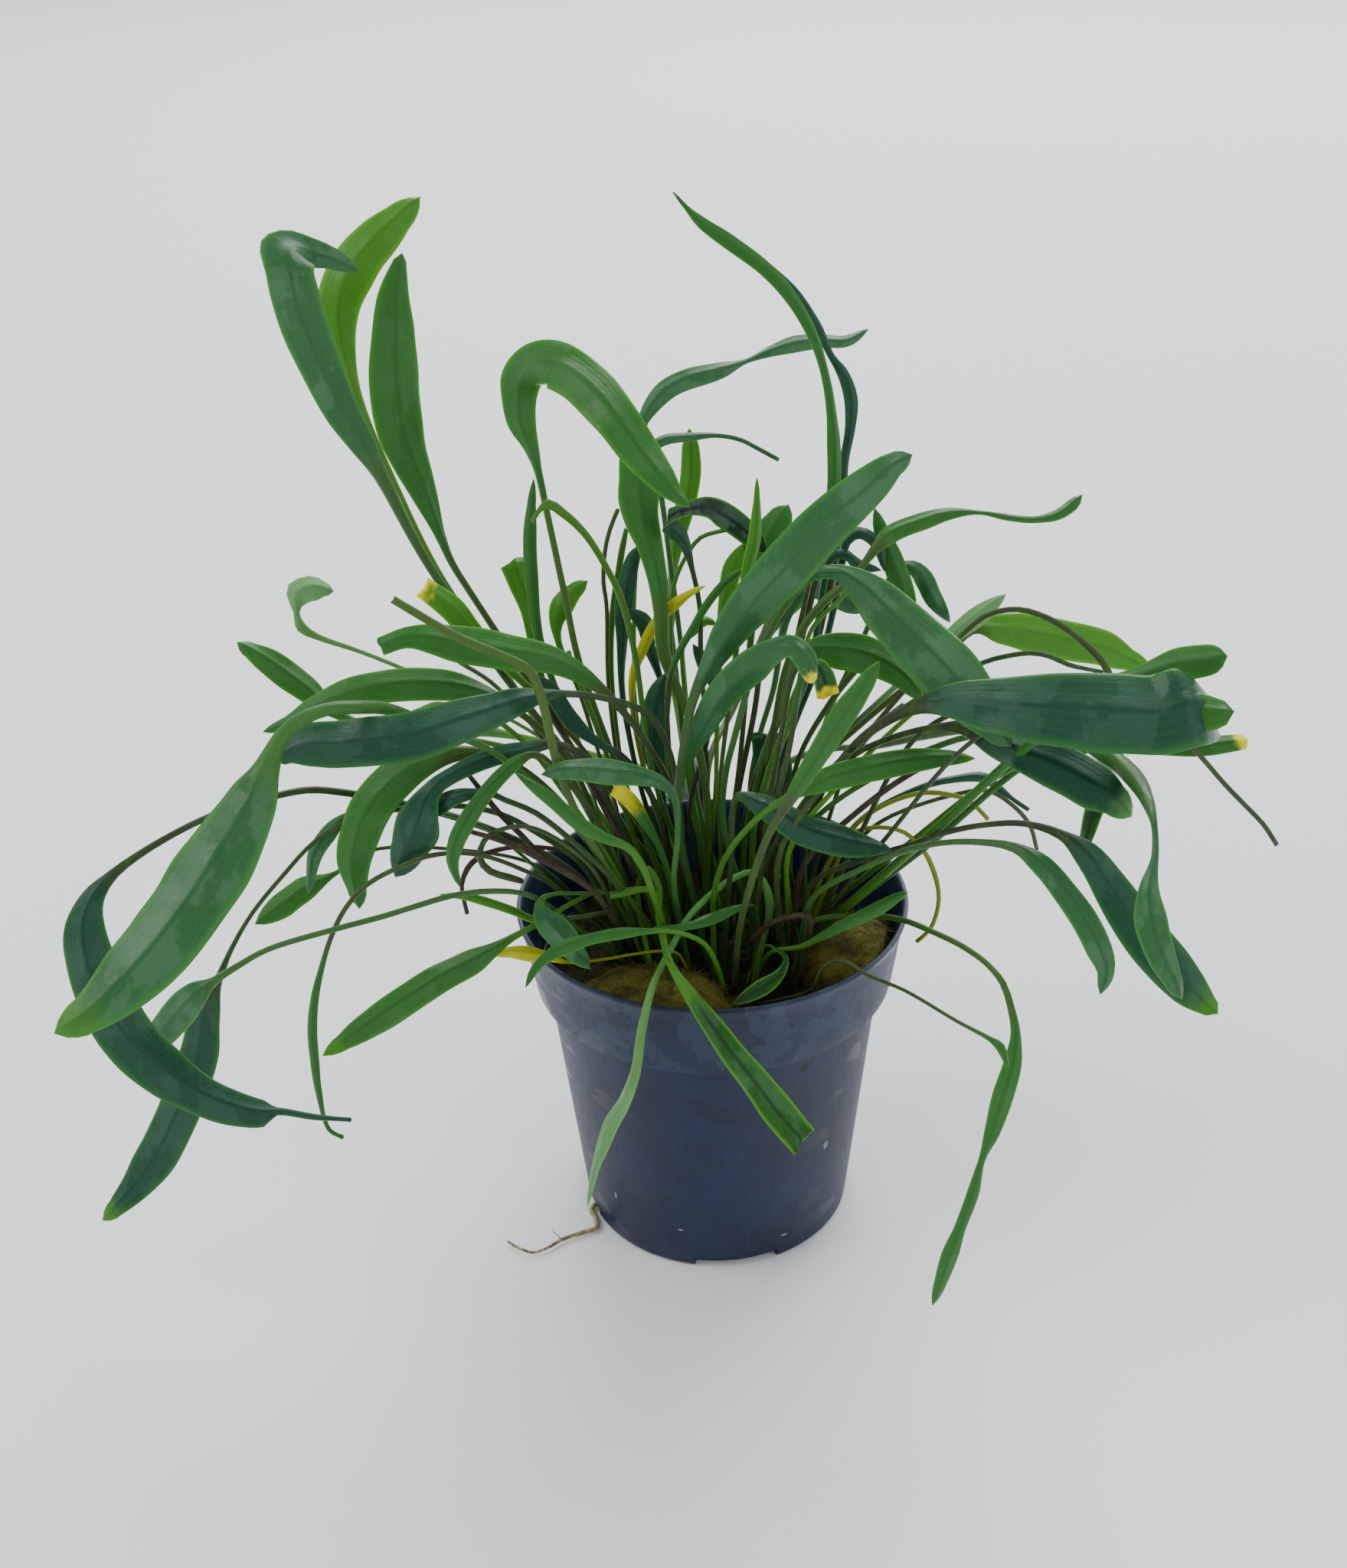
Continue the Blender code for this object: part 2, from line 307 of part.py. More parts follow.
# Each shoot: the place of its short stem on the wool, and the small leaves and stubs joined to it
SHOOTS = {
    "shoot_back": (("bright", (-2, 11)), {
        "bent_stalk": (99, (
            (850, 1000, 0, 7), (830, 860, 3, 8), (812, 785, 4, 9), (790, 738, 1, 9), (762, 695, -3, 10),
            (735, 670, -6, 12), (715, 658, -8, 14), (703, 668, -9, 4), (695, 682, -10, 1.5))),
        "narrow_left": (3, (
            (790, 1040, 4, 6), (735, 920, 8, 7), (705, 840, 9, 12), (693, 740, 10, 18), (692, 700, 10, 18),
            (694, 660, 10, 12), (697, 626, 10, 0))),
        "cut_yellow": (3, (
            (780, 1040, 8, 6), (720, 920, 14, 7), (696, 840, 16, 12), (690, 795, 17, 22), (680, 765, 18, 30),
            (668, 733, 19, 34))),
        "small_bright": (3, (
            (800, 1030, 8, 5), (755, 900, 12, 6), (728, 835, 13, 9), (727, 810, 14, 20), (735, 790, 14, 30),
            (750, 772, 15, 22), (767, 759, 15, 0))),
        "behind_diagonal": (3, (
            (960, 1040, 8, 7), (975, 900, 12, 7), (985, 790, 15, 14), (995, 740, 17, 40), (1005, 705, 18, 48),
            (1018, 678, 19, 34), (1030, 660, 20, 0))),
        "narrow_pair": (3, (
            (935, 1020, 2, 6), (937, 900, 8, 8), (942, 830, 10, 12), (948, 785, 11, 20), (956, 745, 12, 26),
            (974, 708, 12, 0))),
        "yellow_small": (3, (
            (850, 1040, 10, 5), (828, 940, 12, 7), (826, 885, 12, 10), (838, 850, 11, 14), (855, 815, 8, 14),
            (878, 792, 3, 15), (900, 775, -1, 9), (921, 765, -4, 0))),
    }),
    "shoot_left": (("pale", (-22, 2)), {
        "curl_small": (6, (
            (760, 1010, 10, 5), (640, 925, 14, 5), (470, 851, 20, 6), (415, 832, 21, 9), (394, 820, 21, 14),
            (387, 800, 22, 8), (390, 775, 23, 34), (408, 768, 24, 34), (425, 770, 25, 18), (435, 773, 25, 0))),
        "yellow_cut_end": (3, (
            (800, 1040, 4, 6), (720, 930, 7, 8), (650, 860, 8, 14), (615, 825, 9, 30), (590, 795, 9, 34),
            (553, 768, 9, 28))),
        "pale_small": (4, (
            (700, 1130, -4, 5), (600, 1110, -5, 5), (484, 1111, -8, 5), (440, 1140, -9, 6),
            (395, 1163, -11, 34), (372, 1180, -12, 34), (334, 1207, -14, 0))),
        "dry_curl": (99, (
            (780, 1130, -8, 4), (730, 1110, -9, 4), (683, 1106, -10, 5), (650, 1110, -11, 7),
            (625, 1120, -12, 8), (610, 1135, -12, 8), (603, 1157, -13, 5), (610, 1193, -13, 1.5))),
        "grey_hanging": (3, (
            (620, 1075, -10, 5), (455, 1065, -14, 10), (430, 1088, -15, 22), (412, 1115, -16, 20),
            (406, 1145, -17, 12), (403, 1165, -17, 0))),
    }),
    "shoot_right": (("pale", (22, 10)), {
        "pale_droop": (3, (
            (1060, 1000, 12, 6), (1120, 850, 20, 7), (1160, 760, 23, 8), (1174, 742, 24, 12),
            (1191, 742, 24, 20), (1207, 757, 25, 26), (1218, 780, 25, 24), (1240, 812, 26, 0))),
        "pale_tip": (3, (
            (1010, 1060, 2, 6), (1110, 950, 6, 7), (1200, 870, 8, 9), (1245, 830, 9, 22), (1275, 806, 10, 26),
            (1313, 777, 12, 0))),
        "arch_stem": (99, (
            (1030, 1080, -6, 6), (1130, 960, -5, 7), (1210, 870, -4, 7), (1252, 833, -3, 7),
            (1290, 803, -3, 8), (1330, 796, -4, 8), (1370, 808, -6, 8), (1410, 835, -8, 9),
            (1440, 865, -11, 10), (1452, 890, -14, 9), (1460, 925, -18, 1.5))),
        "yellow_cut_strip": (2, (
            (1330, 1000, -24, 8), (1450, 975, -34, 14), (1520, 975, -41, 24), (1570, 975, -47, 26),
            (1626, 969, -47, 20))),
        "pale_behind": (3, (
            (980, 1050, 16, 7), (1010, 900, 28, 8), (1028, 805, 32, 12), (1050, 770, 34, 28),
            (1080, 768, 35, 40), (1106, 785, 36, 30), (1128, 799, 37, 0))),
    }),
}
STEM_RADIUS = 3.2
STEM_FLATNESS = 0.6
STEM_LIFT = 3.0

# Root: pixel x, pixel y and height above the ground
ROOT_ROUTE = (
    (779, 1604, 0.8), (764, 1609, 0.8), (748, 1614, 0.8), (732, 1620, 0.8), (715, 1630, 0.8),
    (697, 1636, 0.8), (682, 1632, 0.8), (670, 1626, 0.7), (663, 1621, 0.7),
)
ROOT_DIAMETER = 1.2
# The root's way through the left notch and along the foot: azimuth in degrees and radius
ROOT_EXIT = ((288.0, 30.8), (292.0, 33.5), (298.0, 33.7))


def clear_scene():
    for item in list(bpy.data.objects):
        bpy.data.objects.remove(item, do_unlink=True)


def new_collection(name, render=True):
    collection = bpy.data.collections.new(name)
    bpy.context.scene.collection.children.link(collection)
    collection.hide_render = not render
    return collection


def new_material(name, colour, roughness):
    material = bpy.data.materials.new(name)
    material.use_nodes = True
    shader = material.node_tree.nodes["Principled BSDF"]
    shader.inputs["Base Color"].default_value = (*colour, 1.0)
    shader.inputs["Roughness"].default_value = roughness
    shader.inputs["Metallic"].default_value = 0.0
    return material


def new_object(name, mesh, collection, material=None):
    item = bpy.data.objects.new(name, mesh)
    collection.objects.link(item)
    if material:
        mesh.materials.append(material)
    return item


def mesh_from(name, points, faces):
    """A mesh from points in millimetres."""
    mesh = bpy.data.meshes.new(name)
    mesh.from_pydata([point * MM for point in points], [], faces)
    mesh.update()
    return mesh


def evaluated_mesh(item):
    depsgraph = bpy.context.evaluated_depsgraph_get()
    return bpy.data.meshes.new_from_object(item.evaluated_get(depsgraph))


def view_axes():
    pitch = math.radians(VIEW_PITCH)
    yaw = math.radians(VIEW_YAW)
    roll = math.radians(VIEW_ROLL)
    forward = Vector((math.sin(yaw) * math.cos(pitch), math.cos(yaw) * math.cos(pitch), -math.sin(pitch)))
    level = Vector((math.cos(yaw), -math.sin(yaw), 0.0))
    above = level.cross(forward)
    right = math.cos(roll) * level + math.sin(roll) * above
    up = -math.sin(roll) * level + math.cos(roll) * above
    return forward, right, up


FORWARD, RIGHT, UP = view_axes()


def sight_line(px, py):
    across = (px - PICTURE_CENTRE[0]) / FOCAL_PIXELS
    down = (py - PICTURE_CENTRE[1]) / FOCAL_PIXELS
    return FORWARD + across * RIGHT - down * UP


def seen(px, py, depth):
    """The point that the reference view shows at a pixel, at a depth y."""
    line = sight_line(px, py)
    return EYE + line * ((depth - EYE.y) / line.y)


def seen_at_height(px, py, height):
    line = sight_line(px, py)
    return EYE + line * ((height - EYE.z) / line.z)


def around(azimuth, radius, height):
    """A point round the pot's axis: azimuth 0 is the front, and 90 is the +X side."""
    turn = math.radians(azimuth)
    return Vector((math.sin(turn) * radius, -math.cos(turn) * radius, height))


def real_width(point, pixels):
    return pixels * (point - EYE).dot(FORWARD) / FOCAL_PIXELS


def wool_top(x, y):
    """Height of the wool's uneven top."""
    height = WOOL_FLOOR
    for centre_x, centre_y, radius, lift in WOOL_LUMPS:
        reach = math.hypot(x - centre_x, y - centre_y) / radius
        if reach < 1.0:
            height = max(height, WOOL_FLOOR + lift * (1.0 - reach ** 3))
    return height


class Leaf:
    """One leaf: its foot on the wool, its route, and how far each point leans along the line of sight."""

    def __init__(self, name, foot, blade, route, wool, shoot=None):
        self.name = name
        self.shoot = shoot
        self.blade = blade
        self.route = route
        self.wool = wool
        self.foot = foot
        self.depths = [float(foot[1])] + [float(step[2]) for step in route]
        self.start_depths = tuple(self.depths)
        marks = [seen(px, py, depth) for px, py, depth, _ in route]
        lengths = [(two - one).length for one, two in zip(marks, marks[1:])]
        self.slacks = [MOST_SWAY] + [max(LEAST_SLACK, LEAN_SLOPE * length) for length in lengths]
        self.shape(CLEARANCE)

    def foot_point(self):
        """The middle of the stalk's end, just clear of the wool, or inside the shoot's stem."""
        place, slope = wool_surface(self.wool, self.foot[0], self.depths[0])
        if self.shoot:
            return place + Vector((0.0, 0.0, STEM_LIFT))
        return place + slope * (0.5 * real_width(place, self.route[0][3]) + FOOT_CLEARANCE)

    def centres(self):
        """Centre points and widths, with the place in the route that each comes from."""
        points = [self.foot_point()]
        points += [seen(px, py, depth) for (px, py, _, _), depth in zip(self.route, self.depths[1:])]
        widths = [real_width(points[0], self.route[0][3])]
        widths += [real_width(point, step[3]) for point, step in zip(points[1:], self.route)]
        indices = [float(i) for i in range(len(points))]
        dense = [(points[0], widths[0], indices[0])]
        for i in range(len(points) - 1):
            if (points[i + 1] - points[i]).length > LONG_STEP:
                before = points[max(i - 1, 0)]
                after = points[min(i + 2, len(points) - 1)]
                middle = 0.5625 * (points[i] + points[i + 1]) - 0.0625 * (before + after)
                dense.append((middle, 0.5 * (widths[i] + widths[i + 1]), indices[i] + 0.5))
            dense.append((points[i + 1], widths[i + 1], indices[i + 1]))
        return dense

    def sides(self, points, flat, outward):
        """The direction across the leaf at each point, and the points where the blade folds over."""
        steps = [(two - one).normalized() for one, two in zip(points, points[1:])]
        seen_steps = [(step - FORWARD * step.dot(FORWARD)).normalized() for step in steps]
        last = len(points) - 1
        folds = {i for i in range(1, last)
                 if flat[i] and seen_steps[i - 1].dot(seen_steps[i]) < FOLD_COSINE}
        sides = []
        for i, point in enumerate(points):
            before = steps[max(i - 1, 0)]
            after = steps[min(i, last - 1)]
            if i + 1 in folds:
                after = before
            elif i - 1 in folds:
                before = after
            along = (before + after).normalized()
            facing = along.cross(point - EYE).normalized()
            level = along.cross(Vector((0.0, 0.0, 1.0))) + 0.35 * outward.cross(Vector((0.0, 0.0, 1.0)))
            level -= along * level.dot(along)
            level.normalize()
            side = (facing + level * (SIDEWAYS_TURN * level.dot(facing))).normalized()
            compare = sides[i - 2] if i - 1 in folds else sides[i - 1] if i else side
            if side.dot(compare) < 0.0:
                side.negate()
            sides.append(side)
        for i in folds:
            sides[i] = (sides[i - 1] + sides[i + 1]).normalized()
        return sides, folds

    def shape(self, clearance):
        """Rings of four points: left edge, upper face, right edge, lower face."""
        dense = self.centres()
        points = [step[0] for step in dense]
        outward = points[-1] - points[0]
        outward.z = 0.0
        outward.normalize()
        rings = []
        sides, folds = self.sides(points, [step[2] >= self.blade for step in dense], outward)
        for i, (point, width, index) in enumerate(dense):
            side = sides[i]
            along = (points[min(i + 1, len(points) - 1)] - points[max(i - 1, 0)]).normalized()
            facing = side - FORWARD * side.dot(FORWARD) if i in folds else along.cross(point - EYE)
            facing.normalize()
            along -= side * along.dot(side)
            over = side.cross(along).normalized()
            flat = index >= self.blade
            real = width / max(abs(side.dot(facing)), 0.5)
            thick = min(BLADE_THICKNESS, real) if flat else min(width, real)
            if width == 0.0:
                rings.append((point, index))
                continue
            dip = BLADE_FOLD * real if flat else 0.0
            half = 0.5 * real + clearance
            rise = 0.5 * thick + clearance
            rings.append(((point - side * half, point + over * (rise - dip), point + side * half,
                           point - over * (rise + dip)), index))
        self.rings = rings
        self.points, self.faces, self.owners = loft(rings)

    def tree(self):
        return BVHTree.FromPolygons(self.points, self.faces)


def loft(rings):
    """A closed skin over rings of four points; the last ring may be one point."""
    points = []
    faces = []
    owners = []
    starts = []
    for ring, _ in rings:
        starts.append(len(points))
        points.extend(ring if isinstance(ring, tuple) else (ring,))
    faces += [(3, 2, 1), (3, 1, 0)]
    owners += [(rings[0][1], rings[1][1])] * 2
    for (low, high, ring_low, ring_high) in zip(starts, starts[1:], rings, rings[1:]):
        for k in range(4):
            n = (k + 1) % 4
            if isinstance(ring_high[0], tuple):
                if k < 2:
                    faces += [(low + n, high + n, high + k), (low + n, high + k, low + k)]
                else:
                    faces += [(low + n, high + n, low + k), (high + n, high + k, low + k)]
                owners.append((ring_low[1], ring_high[1]))
            else:
                faces.append((low + n, high, low + k))
            owners.append((ring_low[1], ring_high[1]))
    if isinstance(rings[-1][0], tuple):
        end = starts[-1]
        faces += [(end, end + 1, end + 2), (end, end + 2, end + 3)]
        owners += [(rings[-2][1], rings[-1][1])] * 2
    return points, faces, owners


def pot_profile():
    """Radius and height from the base's middle, up the outside, over the rim and down the inside."""
    inner_body = BODY_TOP_RADIUS - WALL
    return (
        (0.0, 0.0), (BASE_RADIUS - 1.0, 0.0), (BASE_RADIUS, 1.0), (BODY_TOP_RADIUS, COLLAR_FOOT_HEIGHT - 0.6),
        (COLLAR_FOOT_RADIUS, COLLAR_FOOT_HEIGHT), (42.5, 70.0), (43.4, 76.5), (44.3, 81.5),
        (RIM_RADIUS, POT_HEIGHT - 1.0), (RIM_RADIUS - 0.3, POT_HEIGHT), (RIM_RADIUS - 0.9, POT_HEIGHT),
        (43.4, 82.6), (42.4, 76.5), (41.5, 70.0), (COLLAR_FOOT_RADIUS - WALL, COLLAR_FOOT_HEIGHT + 1.2),
        (inner_body, COLLAR_FOOT_HEIGHT + 0.2), (BASE_RADIUS - 1.1, BASE_THICKNESS), (0.0, BASE_THICKNESS),
    )


def turned(name, profile, steps, collection):
    """A profile turned about Z, from (radius, height) pairs, returned as an object with its mesh final."""
    points = [Vector((radius, 0.0, height)) for radius, height in reversed(profile)]
    edges = [(i, i + 1) for i in range(len(points) - 1)]
    mesh = bpy.data.meshes.new(name)
    mesh.from_pydata([point * MM for point in points], edges, [])
    guide = new_object(name + "_profile", mesh, collection)
    screw = guide.modifiers.new("turn", "SCREW")
    screw.axis = "Z"
    screw.angle = math.radians(360.0)
    screw.steps = steps
    screw.render_steps = steps
    screw.use_merge_vertices = True
    screw.merge_threshold = 0.00001
    result = evaluated_mesh(guide)
    bpy.data.objects.remove(guide, do_unlink=True)
    body = bmesh.new()
    body.from_mesh(result)
    bmesh.ops.remove_doubles(body, verts=body.verts, dist=0.00001)
    bmesh.ops.recalc_face_normals(body, faces=body.faces)
    body.to_mesh(result)
    body.free()
    return new_object(name, result, collection)


def notch_cutter(azimuth, cutters):
    """A curved wedge across the pot's foot, made of a turned block narrowed to the notch's spread."""
    low = BASE_RADIUS - NOTCH_REACH
    high = BASE_RADIUS + 2.0
    points = []
    sides = 5
    for i in range(sides):
        turn = azimuth + NOTCH_SPREAD * (i / (sides - 1) - 0.5)
        for radius, height in ((low, -1.0), (high, -1.0), (high, NOTCH_HEIGHT), (low, NOTCH_HEIGHT)):
            points.append(around(turn, radius, height))
    faces = [(0, 1, 2, 3)]
    for i in range(sides - 1):
        for k in range(4):
            n = (k + 1) % 4
            faces.append((4 * i + k, 4 * i + 4 + k, 4 * i + 4 + n, 4 * i + n))
    end = 4 * (sides - 1)
    faces.append((end + 3, end + 2, end + 1, end))
    mesh = mesh_from("notch_cutter", points, faces)
    body = bmesh.new()
    body.from_mesh(mesh)
    bmesh.ops.recalc_face_normals(body, faces=body.faces)
    body.to_mesh(mesh)
    body.free()
    cutter = new_object("notch_cutter", mesh, cutters)
    cutter.hide_render = True
    cutter.display_type = "WIRE"
    return cutter


def make_pot(parts, cutters):
    pot = turned("pot", pot_profile(), POT_STEPS, parts)
    pot.data.materials.append(new_material("pot_plastic", (0.020, 0.042, 0.080), 0.42))
    for azimuth in NOTCH_AZIMUTHS:
        cut = pot.modifiers.new("notch", "BOOLEAN")
        cut.operation = "DIFFERENCE"
        cut.object = notch_cutter(azimuth, cutters)
    return pot


def make_wool(parts):
    inner_body = BODY_TOP_RADIUS - WALL - WOOL_CLEARANCE
    inner_base = BASE_RADIUS - 1.1 - WOOL_CLEARANCE
    profile = [(0.0, BASE_THICKNESS + 0.4), (inner_base, BASE_THICKNESS + 0.4),
               (inner_body, COLLAR_FOOT_HEIGHT + 0.55), (WOOL_RADIUS, COLLAR_FOOT_HEIGHT + 1.45),
               (WOOL_RADIUS, WOOL_FLOOR + 0.4)]
    profile += [(radius, WOOL_FLOOR) for radius in reversed(WOOL_RINGS)]
    wool = turned("mineral_wool", profile, WOOL_STEPS, parts)
    for vertex in wool.data.vertices:
        x, y, z = vertex.co / MM
        if z > WOOL_FLOOR - 0.05:
            vertex.co.z = (z + wool_top(x, y) - WOOL_FLOOR) * MM
    wool.data.materials.append(new_material("wool_fibre", (0.14, 0.12, 0.035), 0.95))
    return wool


def make_root(parts):
    """The root leaves the left notch and lies on the ground."""
    points = [around(azimuth, radius, 0.5 * ROOT_DIAMETER + 0.2) for azimuth, radius in ROOT_EXIT]
    points += [seen_at_height(*step) for step in ROOT_ROUTE]
    curve = bpy.data.curves.new("root", "CURVE")
    curve.dimensions = "3D"
    curve.bevel_depth = 0.5 * ROOT_DIAMETER * MM
    curve.bevel_resolution = 1
    curve.use_fill_caps = True
    spline = curve.splines.new("POLY")
    spline.points.add(len(points) - 1)
    for target, point in zip(spline.points, points):
        target.co = (*(point * MM), 1.0)
    root = new_object("root_strand", curve, parts)
    curve.materials.append(new_material("root_skin", (0.26, 0.23, 0.10), 0.7))
    return root


def wool_surface(wool, x, y):
    """The point and the upward normal of the wool's top."""
    place, slope, _, _ = wool.ray_cast(Vector((x, y, 2.0 * POT_HEIGHT)), Vector((0.0, 0.0, -1.0)))
    return place, slope


def gather_leaves(wool):
    leaves = []
    for name, (_, foot, blade, route) in LEAVES.items():
        leaves.append(Leaf(name, foot, blade, route, wool))
    for shoot, ((_, foot), small) in SHOOTS.items():
        for name, (blade, route) in small.items():
            leaves.append(Leaf(shoot + "_" + name, foot, blade, route, wool, shoot))
    return leaves


def push(leaf, owners, amount):
    """Leans the points next to a clash along the line of sight, within limits, and its neighbours with them."""
    low = int(math.floor(owners[0]))
    high = int(math.ceil(owners[1]))
    last = len(leaf.depths) - 1
    first = 1 if leaf.shoot else 0
    sways = [depth - start for depth, start in zip(leaf.depths, leaf.start_depths)]
    for i in range(max(low, first), min(high, last) + 1):
        most = FOOT_SWAY if i == 0 else MOST_SWAY
        sways[i] = min(max(sways[i] + amount, -most), most)
    for i in range(low - 1, -1, -1):
        bound_sway(sways, i, i + 1, leaf.slacks[i])
    for i in range(high + 1, last + 1):
        bound_sway(sways, i, i - 1, leaf.slacks[i - 1])
    sways[0] = 0.0 if leaf.shoot else min(max(sways[0], -FOOT_SWAY), FOOT_SWAY)
    leaf.depths = [start + sway for start, sway in zip(leaf.start_depths, sways)]


def bound_sway(sways, index, neighbour, slack):
    """Keeps a point's lean within a slack of its neighbour's."""
    sways[index] = min(max(sways[index], sways[neighbour] - slack), sways[neighbour] + slack)


def start_depth(leaf, owners):
    low = leaf.start_depths[int(math.floor(owners[0]))]
    high = leaf.start_depths[int(math.ceil(owners[1]))]
    return 0.5 * (low + high)


def obstacle_pushes(leaf, tree, obstacles):
    """The stretches of a leaf that touch the pot, the wool or the ground, with the way each should lean."""
    found = {}
    for obstacle in obstacles:
        for hit, _ in tree.overlap(obstacle):
            rear = leaf.points[leaf.faces[hit][0]].y > 0.5 * RIM_RADIUS
            found[leaf.owners[hit]] = 1.0 if rear else -1.0
    for hit, face in enumerate(leaf.faces):
        if min(leaf.points[k].z for k in face) < LEAST_HEIGHT:
            found[leaf.owners[hit]] = -1.0
    return found


def pair_pushes(first, second, hits, order):
    """The stretches of two leaves that touch. The pair keeps the order in which it first met."""
    touching = [(first.owners[one], second.owners[two]) for one, two in hits]
    if (first.name, second.name) not in order:
        gaps = [start_depth(first, one) - start_depth(second, two) for one, two in touching]
        order[(first.name, second.name)] = -1.0 if sum(gaps) <= 0.0 else 1.0
    way = order[(first.name, second.name)]
    return {one: way for one, _ in touching}, {two: -way for _, two in touching}


def spread_leaves(leaves, obstacles):
    """Leans clashing leaves apart along the line of sight, the nearer one towards the eye."""
    order = {}
    for _ in range(SPREAD_ROUNDS):
        trees = [leaf.tree() for leaf in leaves]
        boxes = [bounds(leaf.points) for leaf in leaves]
        moves = [obstacle_pushes(leaf, tree, obstacles) for leaf, tree in zip(leaves, trees)]
        for a, first in enumerate(leaves):
            for b in range(a + 1, len(leaves)):
                second = leaves[b]
                joined = first.shoot and first.shoot == second.shoot
                if joined or apart(boxes[a], boxes[b]):
                    continue
                hits = trees[a].overlap(trees[b])
                if hits:
                    for index, found in zip((a, b), pair_pushes(first, second, hits, order)):
                        for owners, way in found.items():
                            moves[index][owners] = moves[index].get(owners, 0.0) + way
        if not any(moves):
            return
        for leaf, found in zip(leaves, moves):
            for owners, way in found.items():
                if way:
                    push(leaf, owners, math.copysign(SPREAD_STEP, way))
            if found:
                leaf.shape(CLEARANCE)


def bounds(points):
    low = [min(point[k] for point in points) for k in range(3)]
    high = [max(point[k] for point in points) for k in range(3)]
    return low, high


def apart(one, two):
    return any(one[0][k] > two[1][k] or two[0][k] > one[1][k] for k in range(3))


def solid_tree(item):
    mesh = evaluated_mesh(item)
    points = [vertex.co / MM for vertex in mesh.vertices]
    faces = [tuple(face.vertices) for face in mesh.polygons]
    bpy.data.meshes.remove(mesh)
    return BVHTree.FromPolygons(points, faces)


def make_shoot(name, tone, foot, members, wool, parts, cutters):
    """A short stem with its small leaves joined to it."""
    place, _ = wool_surface(wool, *foot)
    bpy.ops.mesh.primitive_ico_sphere_add(subdivisions=1, radius=STEM_RADIUS * MM)
    stem = bpy.context.object
    stem.name = name
    stem.data.name = name
    for collection in list(stem.users_collection):
        collection.objects.unlink(stem)
    parts.objects.link(stem)
    stem.data.transform(Matrix.Diagonal((1.0, 1.0, STEM_FLATNESS, 1.0)))
    stem.location = (place + Vector((0.0, 0.0, STEM_LIFT))) * MM
    colour, roughness = TONES[tone]
    stem.data.materials.append(new_material(name + "_skin", colour, roughness))
    for leaf in members:
        leaf.shape(0.0)
        mesh = mesh_from(leaf.name, leaf.points, leaf.faces)
        piece = new_object(leaf.name + "_form", mesh, cutters)
        piece.hide_render = True
        piece.display_type = "WIRE"
        join = stem.modifiers.new(leaf.name, "BOOLEAN")
        join.operation = "UNION"
        join.object = piece
    return stem


def main():
    clear_scene()
    parts = new_collection("potted_cryptocoryne")
    cutters = new_collection("cutters", render=False)
    pot = make_pot(parts, cutters)
    wool = make_wool(parts)
    make_root(parts)
    bpy.context.view_layer.update()
    wool_tree = solid_tree(wool)
    leaves = gather_leaves(wool_tree)
    spread_leaves(leaves, [solid_tree(pot), wool_tree])
    for leaf in leaves:
        if leaf.shoot:
            continue
        leaf.shape(0.0)
        colour, roughness = TONES[LEAVES[leaf.name][0]]
        mesh = mesh_from(leaf.name, leaf.points, leaf.faces)
        new_object(leaf.name, mesh, parts, new_material(leaf.name + "_skin", colour, roughness))
    for name, ((tone, foot), _) in SHOOTS.items():
        members = [leaf for leaf in leaves if leaf.shoot == name]
        make_shoot(name, tone, foot, members, wool_tree, parts, cutters)


main()
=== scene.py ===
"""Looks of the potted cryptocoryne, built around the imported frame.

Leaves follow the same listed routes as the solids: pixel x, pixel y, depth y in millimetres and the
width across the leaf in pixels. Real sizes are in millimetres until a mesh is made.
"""
import math

import bmesh
import bpy
import numpy as np
from mathutils import Matrix, Vector, noise
from mathutils.bvhtree import BVHTree


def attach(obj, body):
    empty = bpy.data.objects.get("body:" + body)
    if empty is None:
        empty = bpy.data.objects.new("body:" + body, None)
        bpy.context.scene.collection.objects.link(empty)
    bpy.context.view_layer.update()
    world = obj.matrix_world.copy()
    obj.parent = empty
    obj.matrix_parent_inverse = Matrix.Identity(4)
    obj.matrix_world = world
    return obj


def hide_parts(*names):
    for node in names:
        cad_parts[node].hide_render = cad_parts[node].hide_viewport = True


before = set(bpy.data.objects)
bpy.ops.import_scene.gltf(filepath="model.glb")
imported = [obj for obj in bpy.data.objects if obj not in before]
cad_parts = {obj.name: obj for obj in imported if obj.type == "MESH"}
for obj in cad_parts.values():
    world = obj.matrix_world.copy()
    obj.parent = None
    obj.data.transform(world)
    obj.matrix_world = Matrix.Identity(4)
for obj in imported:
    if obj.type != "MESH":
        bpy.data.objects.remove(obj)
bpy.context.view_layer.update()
BODY = "root"
MM = 0.001

# Pot
POT_HEIGHT = 84.0
RIM_RADIUS = 45.0
COLLAR_FOOT_RADIUS = 41.7
COLLAR_FOOT_HEIGHT = 64.6
BODY_TOP_RADIUS = 38.8
BASE_RADIUS = 32.2
WALL = 1.0
BASE_THICKNESS = 1.6
# How much narrower the pot is inside the base than outside
BASE_INSET = 1.1
POT_STEPS = 160
SHARP_ANGLE = 38.0
NOTCH_AZIMUTHS = (8.0, 98.0, 188.0, 278.0)
NOTCH_SPREAD = 36.0
NOTCH_HEIGHT = 2.5
NOTCH_REACH = 2.2

# Mineral wool
WOOL_FLOOR = 66.3
WOOL_RADIUS = 40.2
WOOL_GAP = 0.4
WOOL_SPOKES = 150
WOOL_RINGS = 46
# The torn top grows smoother over this fade, up to this radius
WOOL_EDGE = 40.4
WOOL_EDGE_FADE = 2.0
# Fibres to a square metre, then metres
FIBRE_DENSITY = 1150000.0
FIBRE_LENGTH = 0.0032
FIBRE_RADIUS = 0.00006
WOOL_LUMPS = (
    (-15.0, -29.0, 23.0, 12.0),
    (33.0, -8.0, 17.0, 12.5),
    (0.0, -38.0, 9.0, 5.0),
)

